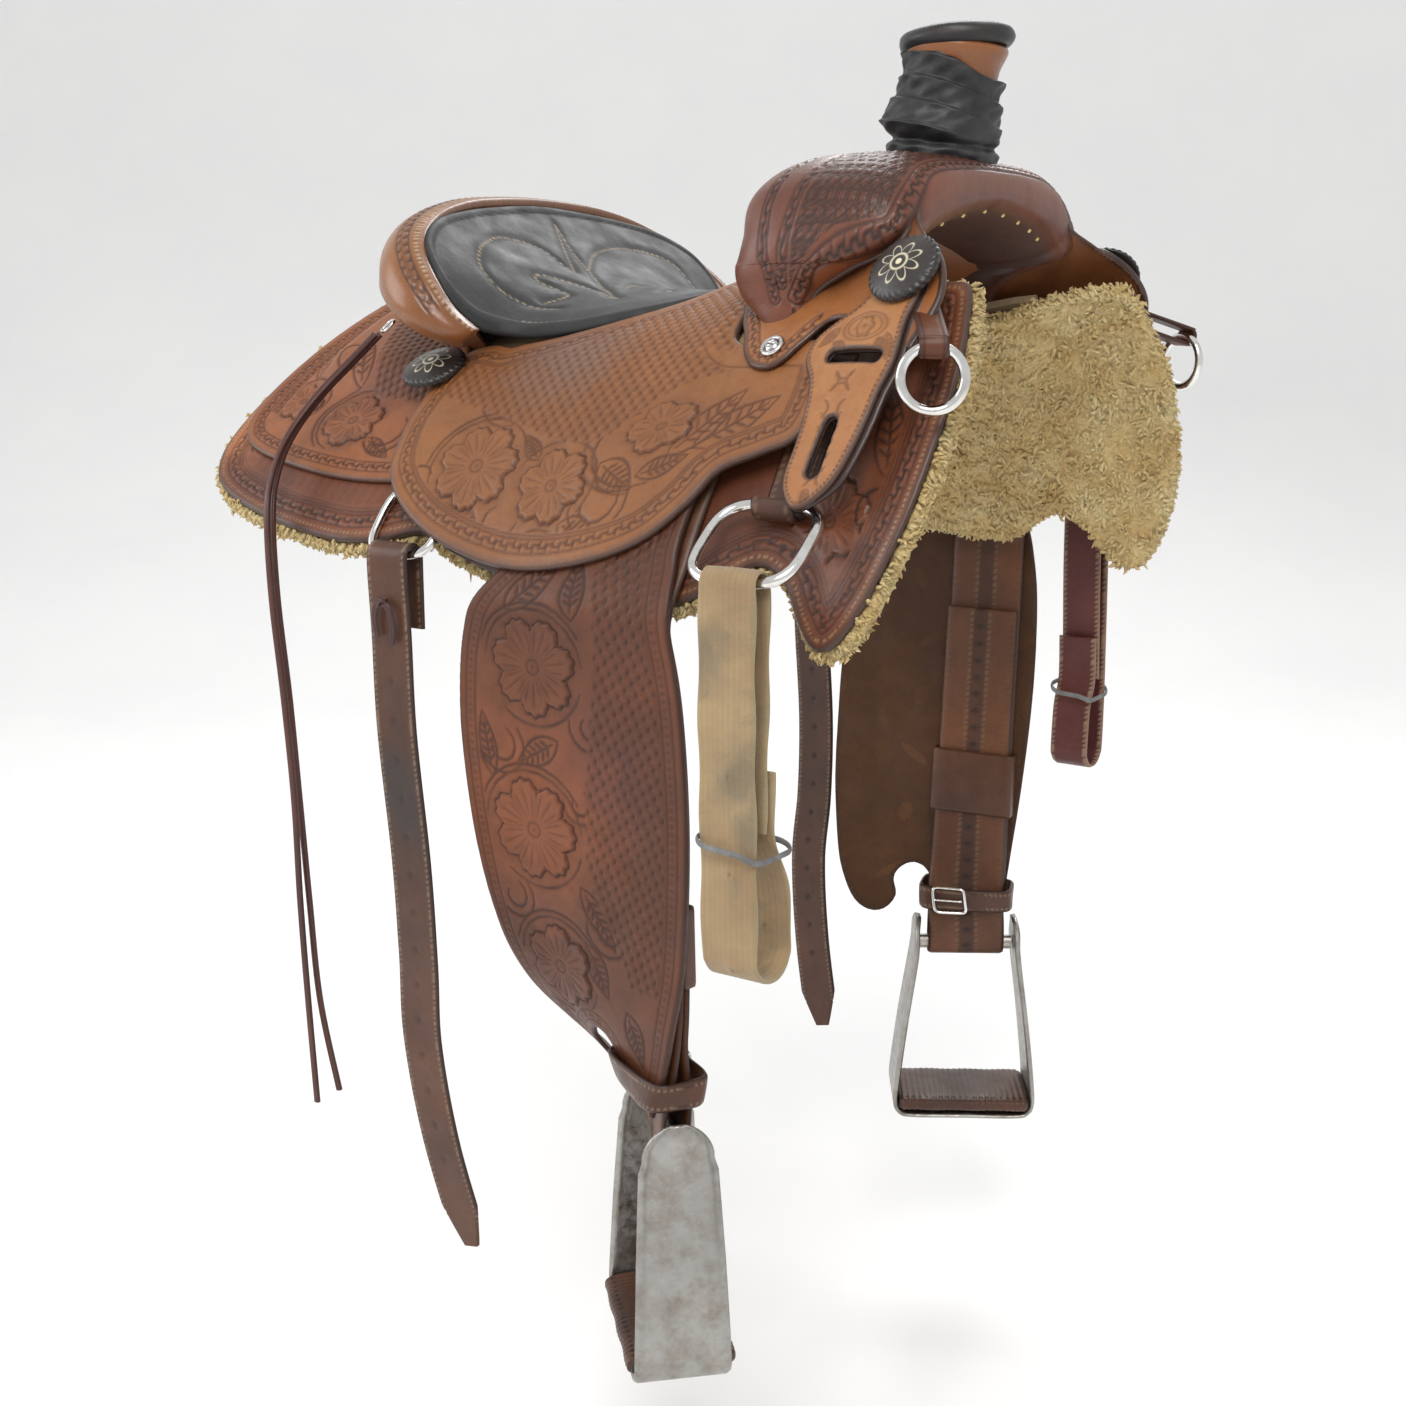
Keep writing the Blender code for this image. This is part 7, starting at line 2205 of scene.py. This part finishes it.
def make_tree_finish():
    """The tree parts that show under the leather."""
    for node in ("tree_bar_right", "tree_bar_left"):
        refinish(node, "rawhide")
    for node in ("horn_post", "ground_seat", "tree_cantle"):
        refinish(node, "welt")


CAMERA_TURN = math.radians(34.08)
FLOOR = -0.86
# The floor and backdrop: how far away, and how high above the floor
BACKDROP = ((-4.0, 0), (1.6, 0), (3.2, 0.25), (4.4, 1.1), (5.0, 2.6), (5.1, 6.0))


def make_room():
    """A pale floor that turns up into a backdrop behind the saddle."""
    line = curve([(far, FLOOR + rise) for far, rise in BACKDROP], 0.08)
    away = np.array((-math.sin(CAMERA_TURN), math.cos(CAMERA_TURN), 0))
    beside = np.array((math.cos(CAMERA_TURN), math.sin(CAMERA_TURN), 0))
    points, faces = [], []
    for k, (far, z) in enumerate(line):
        for end in (-6, 6):
            points.append(away * far + beside * end + np.array((0, 0, z)))
        if k:
            faces.append((2 * k - 2, 2 * k - 1, 2 * k + 1, 2 * k))
    mesh = bpy.data.meshes.new("studio_floor")
    mesh.from_pydata([tuple(p) for p in points], [], faces)
    mesh.shade_smooth()
    mesh.materials.append(MATERIALS["floor"])
    room = bpy.data.objects.new("studio_floor", mesh)
    bpy.context.scene.collection.objects.link(room)


def make_camera():
    data = bpy.data.cameras.new("camera")
    data.sensor_width = 36.0
    data.lens = 46.8
    camera = bpy.data.objects.new("camera", data)
    camera.location = (0.855, -1.283, 0.0645)
    camera.rotation_euler = (math.radians(90 - 12.28), 0, CAMERA_TURN)
    bpy.context.scene.collection.objects.link(camera)
    bpy.context.scene.camera = camera


def add_light(name, place, target, size, power, colour=(1, 1, 1)):
    data = bpy.data.lights.new(name, "AREA")
    data.shape = "RECTANGLE"
    data.size, data.size_y = size
    data.energy = power
    data.color = colour
    lamp = bpy.data.objects.new(name, data)
    lamp.location = place
    lamp.rotation_euler = (Vector(target) - Vector(place)).to_track_quat("-Z", "Y").to_euler()
    bpy.context.scene.collection.objects.link(lamp)


def make_light():
    world = bpy.data.worlds.new("studio")
    world.use_nodes = True
    background = world.node_tree.nodes["Background"]
    background.inputs["Color"].default_value = (1.0, 1.0, 1.0, 1.0)
    background.inputs["Strength"].default_value = 0.68
    bpy.context.scene.world = world
    add_light("key", (1.2, -2.2, 2.2), (0, 0, -0.1), (1.6, 1.6), 62.0, (1.0, 0.98, 0.95))
    add_light("fill", (-2.2, -1.6, 0.8), (0, 0, -0.1), (1.8, 1.8), 26.0, (0.95, 0.97, 1.0))
    add_light("rim", (-0.6, 2.2, 2.0), (0, 0, 0.0), (1.6, 1.2), 40.0)
    bpy.context.scene.view_settings.view_transform = "Standard"


def main():
    make_camera()
    make_strings()
    make_skirts()
    make_rear_jockeys()
    make_seat()
    make_cantle()
    make_swell()
    make_horn()
    make_rings()
    make_front_straps()
    make_rear_billets()
    make_fenders()
    make_stirrups()
    make_fittings()
    make_tree_finish()
    make_room()
    make_light()


main()
